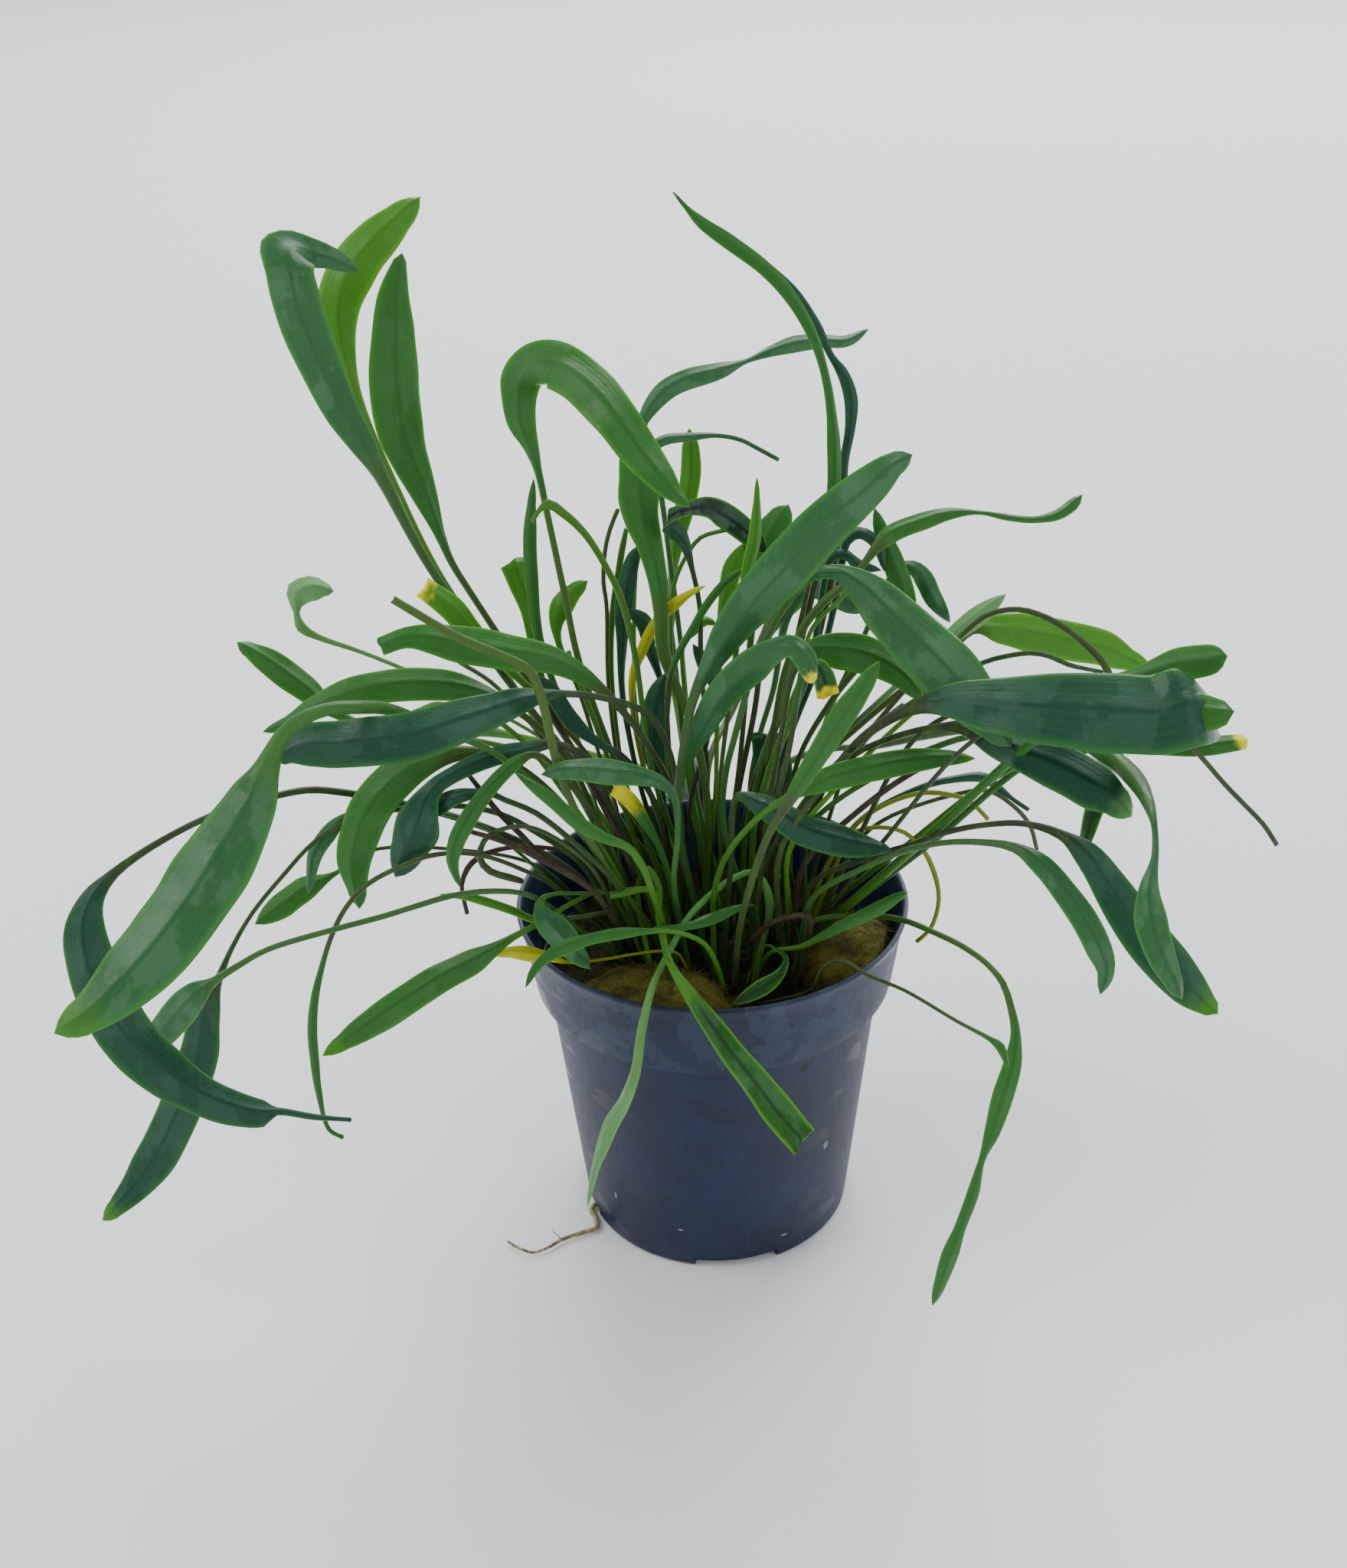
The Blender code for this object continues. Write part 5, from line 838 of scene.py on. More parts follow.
def obstacle_pushes(leaf, tree, obstacles):
    """The stretches of a leaf that touch the pot, the wool or the ground, with the way each should lean."""
    found = {}
    for obstacle in obstacles:
        for hit, _ in tree.overlap(obstacle):
            rear = leaf.points[leaf.faces[hit][0]].y > 0.5 * RIM_RADIUS
            found[leaf.owners[hit]] = 1.0 if rear else -1.0
    for hit, face in enumerate(leaf.faces):
        if min(leaf.points[k].z for k in face) < LEAST_HEIGHT:
            found[leaf.owners[hit]] = -1.0
    return found


def pair_pushes(first, second, hits, order):
    """The stretches of two leaves that touch. The pair keeps the order in which it first met."""
    touching = [(first.owners[one], second.owners[two]) for one, two in hits]
    if (first.name, second.name) not in order:
        gaps = [start_depth(first, one) - start_depth(second, two) for one, two in touching]
        order[(first.name, second.name)] = -1.0 if sum(gaps) <= 0.0 else 1.0
    way = order[(first.name, second.name)]
    return {one: way for one, _ in touching}, {two: -way for _, two in touching}


def bounds_of(points):
    low = [min(point[k] for point in points) for k in range(3)]
    high = [max(point[k] for point in points) for k in range(3)]
    return low, high


def apart(one, two):
    return any(one[0][k] > two[1][k] or two[0][k] > one[1][k] for k in range(3))


def spread_leaves(leaves, obstacles, rounds):
    """Leans clashing leaves apart along the line of sight, the nearer one towards the eye."""
    order = {}
    for _ in range(rounds):
        trees = [leaf.tree() for leaf in leaves]
        boxes = [bounds_of(leaf.points) for leaf in leaves]
        moves = [obstacle_pushes(leaf, tree, obstacles) for leaf, tree in zip(leaves, trees)]
        for a, first in enumerate(leaves):
            for b in range(a + 1, len(leaves)):
                second = leaves[b]
                joined = first.shoot and first.shoot == second.shoot
                if joined or apart(boxes[a], boxes[b]):
                    continue
                hits = trees[a].overlap(trees[b])
                if hits:
                    for index, found in zip((a, b), pair_pushes(first, second, hits, order)):
                        for owners, way in found.items():
                            moves[index][owners] = moves[index].get(owners, 0.0) + way
        if not any(moves):
            return
        for leaf, found in zip(leaves, moves):
            for owners, way in found.items():
                if way:
                    push(leaf, owners, math.copysign(SPREAD_STEP, way))
            if found:
                leaf.shape(CLEARANCE)


# Fine form of the leaves


def smooth_route(points, spacings):
    """Points on a centripetal curve through the given points, with each one's place along them."""
    count = len(points)
    knots = [0.0]
    for one, two in zip(points, points[1:]):
        knots.append(knots[-1] + math.sqrt(max(np.linalg.norm(two - one), 1e-6)))
    first = 2.0 * points[0] - points[1]
    last = 2.0 * points[-1] - points[-2]
    padded = [first] + list(points) + [last]
    times = [2.0 * knots[0] - knots[1]] + knots + [2.0 * knots[-1] - knots[-2]]
    result = [points[0]]
    places = [0.0]
    for i in range(count - 1):
        p0, p1, p2, p3 = padded[i:i + 4]
        t0, t1, t2, t3 = times[i:i + 4]
        pieces = max(2, int(math.ceil(np.linalg.norm(p2 - p1) / spacings[i])))
        for step in range(1, pieces + 1):
            t = t1 + (t2 - t1) * step / pieces
            a1 = (t1 - t) / (t1 - t0) * p0 + (t - t0) / (t1 - t0) * p1
            a2 = (t2 - t) / (t2 - t1) * p1 + (t - t1) / (t2 - t1) * p2
            a3 = (t3 - t) / (t3 - t2) * p2 + (t - t2) / (t3 - t2) * p3
            b1 = (t2 - t) / (t2 - t0) * a1 + (t - t0) / (t2 - t0) * a2
            b2 = (t3 - t) / (t3 - t1) * a2 + (t - t1) / (t3 - t1) * a3
            result.append((t2 - t) / (t2 - t1) * b1 + (t - t1) / (t2 - t1) * b2)
            places.append(i + step / pieces)
    return np.array(result), np.array(places)


def smooth_values(values, places):
    """Values at places along a list, by a cubic that doesn't overshoot."""
    values = np.asarray(values, float)
    steps = np.diff(values)
    slopes = np.zeros(len(values))
    same = steps[:-1] * steps[1:] > 0
    slopes[1:-1][same] = 2.0 * steps[:-1][same] * steps[1:][same] / (steps[:-1][same] + steps[1:][same])
    slopes[0] = steps[0]
    slopes[-1] = steps[-1]
    low = np.clip(np.floor(places).astype(int), 0, len(values) - 2)
    t = places - low
    return ((2 * t ** 3 - 3 * t ** 2 + 1) * values[low] + (t ** 3 - 2 * t ** 2 + t) * slopes[low]
            + (3 * t ** 2 - 2 * t ** 3) * values[low + 1] + (t ** 3 - t ** 2) * slopes[low + 1])


def smooth_step(value):
    value = np.clip(value, 0.0, 1.0)
    return value * value * (3.0 - 2.0 * value)


def unit_rows(rows):
    return rows / np.maximum(np.linalg.norm(rows, axis=1, keepdims=True), 1e-9)


def leaf_spine(leaf):
    """What changes from foot to tip: centres, three directions, half widths, flatness and run."""
    stations = leaf.stations
    centres = [np.array(tuple(step[0])) for step in stations]
    sides = np.array([tuple(step[2]) for step in stations])
    indices = np.array([step[3] for step in stations])
    spacings = [BLADE_STEP if step[3] >= leaf.blade - 1 else STALK_STEP for step in stations]
    spine, places = smooth_route(centres, spacings)
    widths = np.maximum(smooth_values([step[1] for step in stations], places), 0.0)
    order = np.interp(places, np.arange(len(indices)), indices)
    side = np.stack([np.interp(places, np.arange(len(sides)), sides[:, k]) for k in range(3)], 1)
    along = unit_rows(np.gradient(spine, axis=0))
    for _ in range(SIDE_ROUNDS):
        side[1:-1] = 0.25 * side[:-2] + 0.5 * side[1:-1] + 0.25 * side[2:]
    side = unit_rows(side)
    over = unit_rows(np.cross(side, along))
    flat = smooth_step(order - (leaf.blade - 1))
    runs = np.concatenate([[0.0], np.cumsum(np.linalg.norm(np.diff(spine, axis=0), axis=1))])
    pointed = stations[-1][1] == 0.0
    if pointed:
        into_tip = np.clip(places - (len(stations) - 2), 0.0, 1.0)
        rounded = stations[-2][1] * (1.0 - into_tip ** 1.7) ** 0.72
        widths = np.where(into_tip > 0.0, rounded, widths)
    half = np.maximum(0.5 * widths, 0.12 if pointed else 0.5)
    return spine, along, side, over, half, flat, runs, pointed


def blade_height(t, half, fold, ripple, lower):
    """How high the blade's upper or lower skin lies, at t from -1, the left edge, to 1."""
    pleat = PLEAT * half * math.cos(3.0 * math.pi * t)
    height = -2.0 * fold * half * (1.0 - abs(t) ** 1.25) + ripple + pleat
    near_rib = np.exp(-(t * half / RIB_WIDTH) ** 2)
    if lower:
        rib = np.minimum(0.3 + 0.06 * half, 0.9) * near_rib
        return height - np.minimum(SKIN, 0.4 * half) * (0.45 + 0.55 * (1.0 - abs(t) ** 2)) - rib
    return height - np.minimum(0.05 * half, 0.3) * near_rib


def skin_faces(rows, ring):
    """Faces round rows of points, closed by one more point before the first row and one after the last."""
    grid = np.arange(rows * ring).reshape(rows, ring)
    after = np.roll(grid, -1, axis=1)
    quads = np.stack([after[:-1], after[1:], grid[1:], grid[:-1]], -1).reshape(-1, 4)
    start = rows * ring
    caps = [(grid[0][(k + 1) % ring], grid[0][k], start) for k in range(ring)]
    caps += [(grid[-1][k], grid[-1][(k + 1) % ring], start + 1) for k in range(ring)]
    return [tuple(face) for face in quads] + caps


def leaf_form(leaf, seed):
    """Vertices, faces and named values of one finely modelled leaf, in millimetres."""
    spine, along, side, over, half, flat, runs, pointed = leaf_spine(leaf)
    shift = WAVE_SHIFT * seed
    fold = BLADE_FOLD * (1.0 + 0.35 * math.sin(shift))
    turned_runs = 2 * math.pi * runs
    wave = np.sin(turned_runs / WAVE_LENGTH + shift)
    wave = wave + 0.6 * np.sin(turned_runs / (0.53 * WAVE_LENGTH) + 2.0 * shift)
    other = np.sin(turned_runs / (1.1 * WAVE_LENGTH) + 1.7 * shift + 1.0)
    # The same points go across the blade, closer near its edges, and round the stalk
    corner = math.pi / (2 * RING_SIDE)
    turn = np.linspace(math.pi - corner, corner, RING_SIDE)
    spot = np.cos(turn) / math.cos(corner)
    spot = np.sign(spot) * np.abs(spot) ** 1.15
    vertices = []
    values = {"across": [], "reach": [], "run": [], "end": [], "flat": [], "under": []}
    for lower in (False, True):
        for t, angle in (zip(spot, turn) if not lower else zip(spot[::-1], turn[::-1])):
            ripple = np.where(t < 0, wave, other) * EDGE_WAVE * 2.0 * half * abs(t) ** 2.2
            height = blade_height(t, half, fold, ripple, lower)
            round_side = math.cos(angle) * half
            round_over = (-1.0 if lower else 1.0) * math.sin(angle) * half * 0.92
            out = (1.0 - flat) * round_side + flat * t * half
            rise = (1.0 - flat) * round_over + flat * height
            vertices.append(spine + side * out[:, None] + over * rise[:, None])
            for key, row in (("across", np.full(len(spine), t)), ("reach", half), ("run", runs),
                             ("end", runs[-1] - runs), ("flat", flat),
                             ("under", np.full(len(spine), 1.0 if lower else 0.0))):
                values[key].append(row)
    points = np.stack(vertices, 1)
    if not pointed:
        ragged = RAGGED_CUT * half[-1] * np.sin(3.0 * np.array(values["across"])[:, -1] + shift)
        points[-1] += along[-1] * ragged[:, None]
    foot = spine[0] - along[0] * 0.2
    end = spine[-1] + along[-1] * (0.25 if pointed else 0.0) - over[-1] * flat[-1] * fold * half[-1]
    points = np.vstack([points.reshape(-1, 3), foot, end])
    named = {key: np.append(np.stack(rows, 1).reshape(-1), [rows[0][0], rows[0][-1]])
             for key, rows in values.items()}
    usual = BROWN_STALK if math.sin(5.1 * seed) > 0.1 else GREEN_STALK
    named["brown"] = np.full(len(points), BROWN_STALKS.get(leaf.name, usual))
    named["yellow"] = np.full(len(points), YELLOW_ENDS.get(leaf.name, 0.0))
    named["cut"] = np.full(len(points), 0.0 if pointed else 1.0)
    return points, skin_faces(len(spine), len(vertices)), named


def new_item(name, data):
    """A new object in the scene, at the origin."""
    item = bpy.data.objects.new(name, data)
    bpy.context.scene.collection.objects.link(item)
    return item


def finished_mesh(item):
    """A copy of an object's mesh with its modifiers carried out."""
    depsgraph = bpy.context.evaluated_depsgraph_get()
    return bpy.data.meshes.new_from_object(item.evaluated_get(depsgraph))


def face_outward(mesh, weld=0.0):
    """Turns every face outward, after points closer than the weld are joined."""
    body = bmesh.new()
    body.from_mesh(mesh)
    if weld:
        bmesh.ops.remove_doubles(body, verts=body.verts, dist=weld)
    bmesh.ops.recalc_face_normals(body, faces=body.faces)
    body.to_mesh(mesh)
    body.free()


def make_mesh(name, points, faces, values, materials, face_slots=None):
    """An object from points in millimetres, faces and named values of the points."""
    mesh = bpy.data.meshes.new(name)
    places = [tuple(point) for point in np.asarray(points) * MM]
    mesh.from_pydata(places, [], [tuple(map(int, face)) for face in faces])
    for key, data in values.items():
        attribute = mesh.attributes.new(key, "FLOAT", "POINT")
        attribute.data.foreach_set("value", np.asarray(data, np.float32))
    for material in materials:
        mesh.materials.append(material)
    if face_slots is not None:
        mesh.polygons.foreach_set("material_index", np.asarray(face_slots, np.int32))
    mesh.shade_smooth()
    for face in mesh.polygons:
        if face.loop_total != 4:
            face.use_smooth = False
    mesh.update()
    return new_item(name, mesh)


def leaf_piece(name, members, materials):
    """One mesh of one or more leaves, each with the finish of its tone."""
    all_points = []
    all_faces = []
    all_values = {}
    slots = []
    tones = sorted({FINISHES.get(leaf.name, leaf.tone) for leaf, _ in members})
    start = 0
    for leaf, seed in members:
        points, faces, values = leaf_form(leaf, seed)
        all_points.append(points)
        all_faces += [tuple(index + start for index in face) for face in faces]
        slots += [tones.index(FINISHES.get(leaf.name, leaf.tone))] * len(faces)
        for key, data in values.items():
            all_values.setdefault(key, []).append(data)
        start += len(points)
    merged = {key: np.concatenate(data) for key, data in all_values.items()}
    skins = [materials[tone] for tone in tones]
    return make_mesh(name, np.vstack(all_points), all_faces, merged, skins, slots)


def finish_piece(piece, slot, *nodes):
    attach(piece, BODY)
    if nodes:
        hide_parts(*nodes)


# Materials

MATH = "ShaderNodeMath"
MIX = "ShaderNodeMix"
RANGE = "ShaderNodeMapRange"
ATTRIBUTE = "ShaderNodeAttribute"
SMOOTH = {"interpolation_type": "SMOOTHSTEP"}
COLOURS = {"data_type": "RGBA"}


def linear(hex_colour):
    """A linear colour from an sRGB hex value."""
    channels = [int(hex_colour[i:i + 2], 16) / 255.0 for i in (1, 3, 5)]
    return tuple(c / 12.92 if c <= 0.04045 else ((c + 0.055) / 1.055) ** 2.4 for c in channels) + (1.0,)


def add_node(tree, kind, links=None, output=0, **settings):
    """Adds a node with its settings and inputs, which are sockets or plain values, and gives an output."""
    node = tree.nodes.new(kind)
    for key, value in settings.items():
        setattr(node, key, value)
    for key, value in (links or {}).items():
        if isinstance(value, bpy.types.NodeSocket):
            tree.links.new(value, node.inputs[key])
        else:
            node.inputs[key].default_value = value
    return node if output is None else node.outputs[output]


def mottling(tree, millimetres, detail=4.0, roughness=0.55, stretch=(1.0, 1.0, 1.0), offset=0.0):
    """A mottled pattern with features about the given size in millimetres."""
    place = add_node(tree, "ShaderNodeTexCoord", output="Object")
    scaled = add_node(tree, "ShaderNodeMapping",
                      {"Vector": place, "Location": (offset, offset, offset), "Scale": stretch})
    return add_node(tree, "ShaderNodeTexNoise", {"Vector": scaled, "Scale": 1000.0 / millimetres,
                                                 "Detail": detail, "Roughness": roughness})


def patches(tree, low, high, *pattern, most=1.0, **shape):
    """Patches of a mottled pattern, with soft edges where it rises from low to high."""
    return add_node(tree, RANGE, {"Value": mottling(tree, *pattern, **shape), "From Min": low,
                                  "From Max": high, "To Max": most}, **SMOOTH)


def tint(tree, share, strength, colour, shade):
    """Lays a shade over a colour: the share says where, and the strength how much."""
    amount = add_node(tree, MATH, {0: share, 1: strength}, operation="MULTIPLY")
    return add_node(tree, MIX, {"Factor": amount, 6: colour, 7: linear(shade)}, 2, **COLOURS)


def new_finish(name, **sockets):
    material = bpy.data.materials.new(name)
    material.use_nodes = True
    tree = material.node_tree
    shader = tree.nodes["Principled BSDF"]
    for key, value in sockets.items():
        shader.inputs[key.replace("_", " ")].default_value = value
    return material, tree, shader


def blade_colour(tree, deep, light, under, margin, sheen_share):
    """The blade's colour with patches of painted sheen, and the veins that its relief follows."""
    across = add_node(tree, ATTRIBUTE, output="Fac", attribute_name="across")
    reach = add_node(tree, ATTRIBUTE, output="Fac", attribute_name="reach")
    run = add_node(tree, ATTRIBUTE, output="Fac", attribute_name="run")
    below = add_node(tree, ATTRIBUTE, output="Fac", attribute_name="under")
    beside = add_node(tree, MATH, {0: across}, operation="ABSOLUTE")
    from_rib = add_node(tree, MATH, {0: beside, 1: reach}, operation="MULTIPLY")
    # Broad clouds of age over the blade, then smaller mottling
    clouds = patches(tree, 0.36, 0.64, 15.0, 3.0)
    colour = add_node(tree, MIX, {"Factor": clouds, 6: linear(deep), 7: linear(light)}, 2, **COLOURS)
    colour = tint(tree, patches(tree, 0.5, 0.72, 3.5, 4.0, offset=3.0), 0.30, colour, light)
    # Side veins run with the blade and close in at both ends
    waver = add_node(tree, MATH, {0: mottling(tree, 12.0, 2.0, offset=7.0), 1: 0.25}, operation="MULTIPLY")
    lines = add_node(tree, MATH, {0: beside, 1: waver}, operation="ADD")
    lines = add_node(tree, MATH, {0: lines, 1: 31.0}, operation="MULTIPLY")
    lines = add_node(tree, MATH, {0: lines}, operation="SINE")
    vein = add_node(tree, RANGE, {"Value": lines, "From Min": 0.2, "From Max": 1.0}, **SMOOTH)
    colour = tint(tree, vein, 0.08, colour, margin)
    # Cross veins slope forward from the rib, about 4 mm apart
    slope = add_node(tree, MATH, {0: from_rib, 1: 1.3}, operation="MULTIPLY")
    slope = add_node(tree, MATH, {0: run, 1: slope}, operation="SUBTRACT")
    slope = add_node(tree, MATH, {0: slope, 1: 1.5}, operation="MULTIPLY")
    slope = add_node(tree, MATH, {0: slope}, operation="SINE")
    cross_vein = add_node(tree, RANGE, {"Value": slope, "From Min": 0.75, "From Max": 1.0}, **SMOOTH)
    # Painted grey-green sheen, a painted reflection of the bright surroundings, lies in long broken patches
    # away from the margin
    sheen_patches = patches(tree, 0.47, 0.53, 13.0, 4.0, 0.6, stretch=(1.0, 1.0, 0.6), offset=61.0)
    inner = add_node(tree, RANGE, {"Value": beside, "From Min": 0.70, "From Max": 0.92, "To Min": sheen_share,
                                   "To Max": 0.0}, **SMOOTH)
    colour = tint(tree, sheen_patches, inner, colour, "#74917f")
    colour = tint(tree, patches(tree, 0.42, 0.66, 0.9, 3.0, 0.7, offset=43.0), 0.10, colour, margin)
    # The sunk rib is painted darker, painted shade lying in its groove, and the margin is lighter
    rib = add_node(tree, RANGE, {"Value": from_rib, "From Min": 0.15, "From Max": 0.7, "To Min": 1.0,
                                 "To Max": 0.0}, **SMOOTH)
    colour = tint(tree, rib, 0.8, colour, deep)
    edge = add_node(tree, RANGE, {"Value": beside, "From Min": 0.72, "From Max": 1.0}, **SMOOTH)
    colour = tint(tree, edge, 0.8, colour, margin)
    return tint(tree, below, 0.65, colour, under), vein, cross_vein


def stalk_colour(tree, stalk):
    """Stalks are green on young leaves and turn mauve brown on old ones, with green streaks."""
    brown = add_node(tree, ATTRIBUTE, output="Fac", attribute_name="brown")
    colour = add_node(tree, MIX, {"Factor": brown, 6: linear(stalk), 7: linear("#38262a")}, 2, **COLOURS)
    streak = patches(tree, 0.42, 0.7, 2.2, 3.0, stretch=(1.0, 1.0, 0.15), offset=11.0, most=0.3)
    return add_node(tree, MIX, {"Factor": streak, 6: colour, 7: linear("#46701f")}, 2, **COLOURS)


def age_end(tree, colour):
    """The end of an ageing leaf goes yellow, cut ends most of all."""
    end = add_node(tree, ATTRIBUTE, output="Fac", attribute_name="end")
    yellow = add_node(tree, ATTRIBUTE, output="Fac", attribute_name="yellow")
    cut = add_node(tree, ATTRIBUTE, output="Fac", attribute_name="cut")
    ragged = add_node(tree, MATH, {0: mottling(tree, 4.0, 3.0), 1: 0.5}, operation="SUBTRACT")
    ragged = add_node(tree, MATH, {0: ragged, 1: 9.0}, operation="MULTIPLY")
    to_end = add_node(tree, MATH, {0: end, 1: ragged}, operation="ADD")
    span = add_node(tree, MATH, {0: yellow, 1: 0.01}, operation="ADD")
    share = add_node(tree, MATH, {0: to_end, 1: span}, operation="DIVIDE")
    aged = add_node(tree, RANGE, {"Value": share, "From Min": 0.1, "From Max": 1.1, "To Min": 1.0,
                                  "To Max": 0.0}, **SMOOTH)
    turned_yellow = add_node(tree, MATH, {0: yellow, 1: 0.1}, operation="GREATER_THAN")
    aged = add_node(tree, MATH, {0: aged, 1: turned_yellow}, operation="MULTIPLY")
    hold = add_node(tree, RANGE, {"Value": cut, "From Min": 0.0, "From Max": 1.0, "To Min": 0.6,
                                  "To Max": 0.95}, **SMOOTH)
    aged = add_node(tree, MATH, {0: aged, 1: hold}, operation="MULTIPLY")
    shade = add_node(tree, MIX, {"Factor": cut, 6: linear("#4c8a0c"), 7: linear("#f0e400")}, 2, **COLOURS)
    return add_node(tree, MIX, {"Factor": aged, 6: colour, 7: shade}, 2, **COLOURS)


def leaf_finish(name, deep, light, under, margin, stalk, gloss, sheen_share):
    """Waxy leaf skin: fine veins run from foot to tip, the rib is sunk, wet patches shine, and painted sheen
    lies in patches.
    """
    material, tree, shader = new_finish(name, IOR=1.4, Subsurface_Weight=0.12, Subsurface_Scale=0.0008,
                                        Subsurface_Radius=(0.4, 1.0, 0.1), Specular_IOR_Level=0.26)
    blade, vein, cross_vein = blade_colour(tree, deep, light, under, margin, sheen_share)
    flat = add_node(tree, ATTRIBUTE, output="Fac", attribute_name="flat")
    colour = add_node(tree, MIX, {"Factor": flat, 6: stalk_colour(tree, stalk), 7: blade}, 2, **COLOURS)
    colour = tint(tree, patches(tree, 0.745, 0.765, 1.3, 2.0, offset=21.0), 0.6, colour, "#4a3a1c")
    tree.links.new(age_end(tree, colour), shader.inputs["Base Color"])
    # Damp film: smooth where wet, waxy elsewhere
    wet = patches(tree, 0.50, 0.57, 8.0, 5.0, offset=31.0)
    drying = patches(tree, 0.35, 0.65, 2.4, 3.0, offset=37.0)
    rough = add_node(tree, MATH, {0: wet, 1: 0.2}, operation="MULTIPLY")
    rough = add_node(tree, MATH, {0: gloss + 0.1, 1: rough}, operation="SUBTRACT")
    matt = add_node(tree, MATH, {0: drying, 1: 0.08}, operation="MULTIPLY")
    rough = add_node(tree, MATH, {0: rough, 1: matt}, operation="ADD")
    tree.links.new(rough, shader.inputs["Roughness"])
    height = add_node(tree, MATH, {0: vein, 1: 0.6}, operation="MULTIPLY")
    for relief, share in ((cross_vein, 0.25), (drying, 0.5)):
        lift = add_node(tree, MATH, {0: relief, 1: share}, operation="MULTIPLY")
        height = add_node(tree, MATH, {0: height, 1: lift}, operation="ADD")
    normal = add_node(tree, "ShaderNodeBump", {"Height": height, "Strength": 0.13, "Distance": 0.0003})
    tree.links.new(normal, shader.inputs["Normal"])
    return material


# Blade skins by age: old leaves are blue-green, young ones yellow-green, dead ones brown. Each has the name,
# the colours of its hollows, its raised parts, its underside, its margin and its stalk, its roughness and
# how much painted grey-green sheen lies on it.
LEAF_SKINS = {
    "dark": ("leaf_skin_old", "#041a14", "#0b301c", "#23503a", "#4c8f1c", "#2c4c22", 0.24, 0.22),
    "mid": ("leaf_skin_grown", "#0c3410", "#1c5416", "#34702a", "#5c9a22", "#44781f", 0.30, 0.12),
    "bright": ("leaf_skin_young", "#1c540c", "#2c6a0e", "#488820", "#84ba26", "#548c22", 0.32, 0.06),
    "grey": ("leaf_skin_grey_sheen", "#072a16", "#14421c", "#386c40", "#58982a", "#3c7030", 0.22, 0.40),
    "pale": ("leaf_skin_pale", "#2c6a3c", "#5a9448", "#6c9c62", "#86b44c", "#5a8a46", 0.36, 0.22),
    "dry": ("leaf_skin_dead", "#33281c", "#54432a", "#544a33", "#66592f", "#40302a", 0.50, 0.0),
    "yellow": ("leaf_skin_yellowed", "#949c08", "#ccc810", "#b8b828", "#e0e01c", "#7f8a18", 0.40, 0.0),
}


def on_wall(px, py):
    """Where the reference view's pixel falls on the front of the pot's wall, in metres."""
    line = sight_line(px, py)
    slope = (BODY_TOP_RADIUS - BASE_RADIUS) / COLLAR_FOOT_HEIGHT
    distance = (EYE.length - BASE_RADIUS) / line.length
    for _ in range(40):
        point = EYE + line * distance
        gap = math.hypot(point.x, point.y) - (BASE_RADIUS + slope * point.z)
        distance += gap * 0.7 / line.length
    return point * MM


def mark_on_wall(tree, px, py, wide, tall, soft=0.6):
    """An oval mark on the front of the pot, wide and tall in millimetres, with a wavering edge."""
    centre = on_wall(px, py)
    place = add_node(tree, "ShaderNodeTexCoord", output="Object")
    moved = add_node(tree, "ShaderNodeVectorMath", {0: place, 1: tuple(centre)}, operation="SUBTRACT")
    sized = add_node(tree, "ShaderNodeVectorMath", {0: moved, 1: (2000.0 / wide, 0.0, 2000.0 / tall)},
                     operation="MULTIPLY")
    reach = add_node(tree, "ShaderNodeVectorMath", {0: sized}, "Value", operation="LENGTH")
    waver = add_node(tree, MATH, {0: mottling(tree, 2.2, 3.0, offset=17.0), 1: 0.9}, operation="MULTIPLY")
    reach = add_node(tree, MATH, {0: reach, 1: waver}, operation="ADD")
    mark = add_node(tree, RANGE, {"Value": reach, "From Min": 1.45 - soft, "From Max": 1.45, "To Min": 1.0,
                                  "To Max": 0.0}, **SMOOTH)
    depth = add_node(tree, "ShaderNodeSeparateXYZ", {0: place}, "Y")
    front = add_node(tree, MATH, {0: depth, 1: 0.0}, operation="LESS_THAN")
    return add_node(tree, MATH, {0: mark, 1: front}, operation="MULTIPLY")


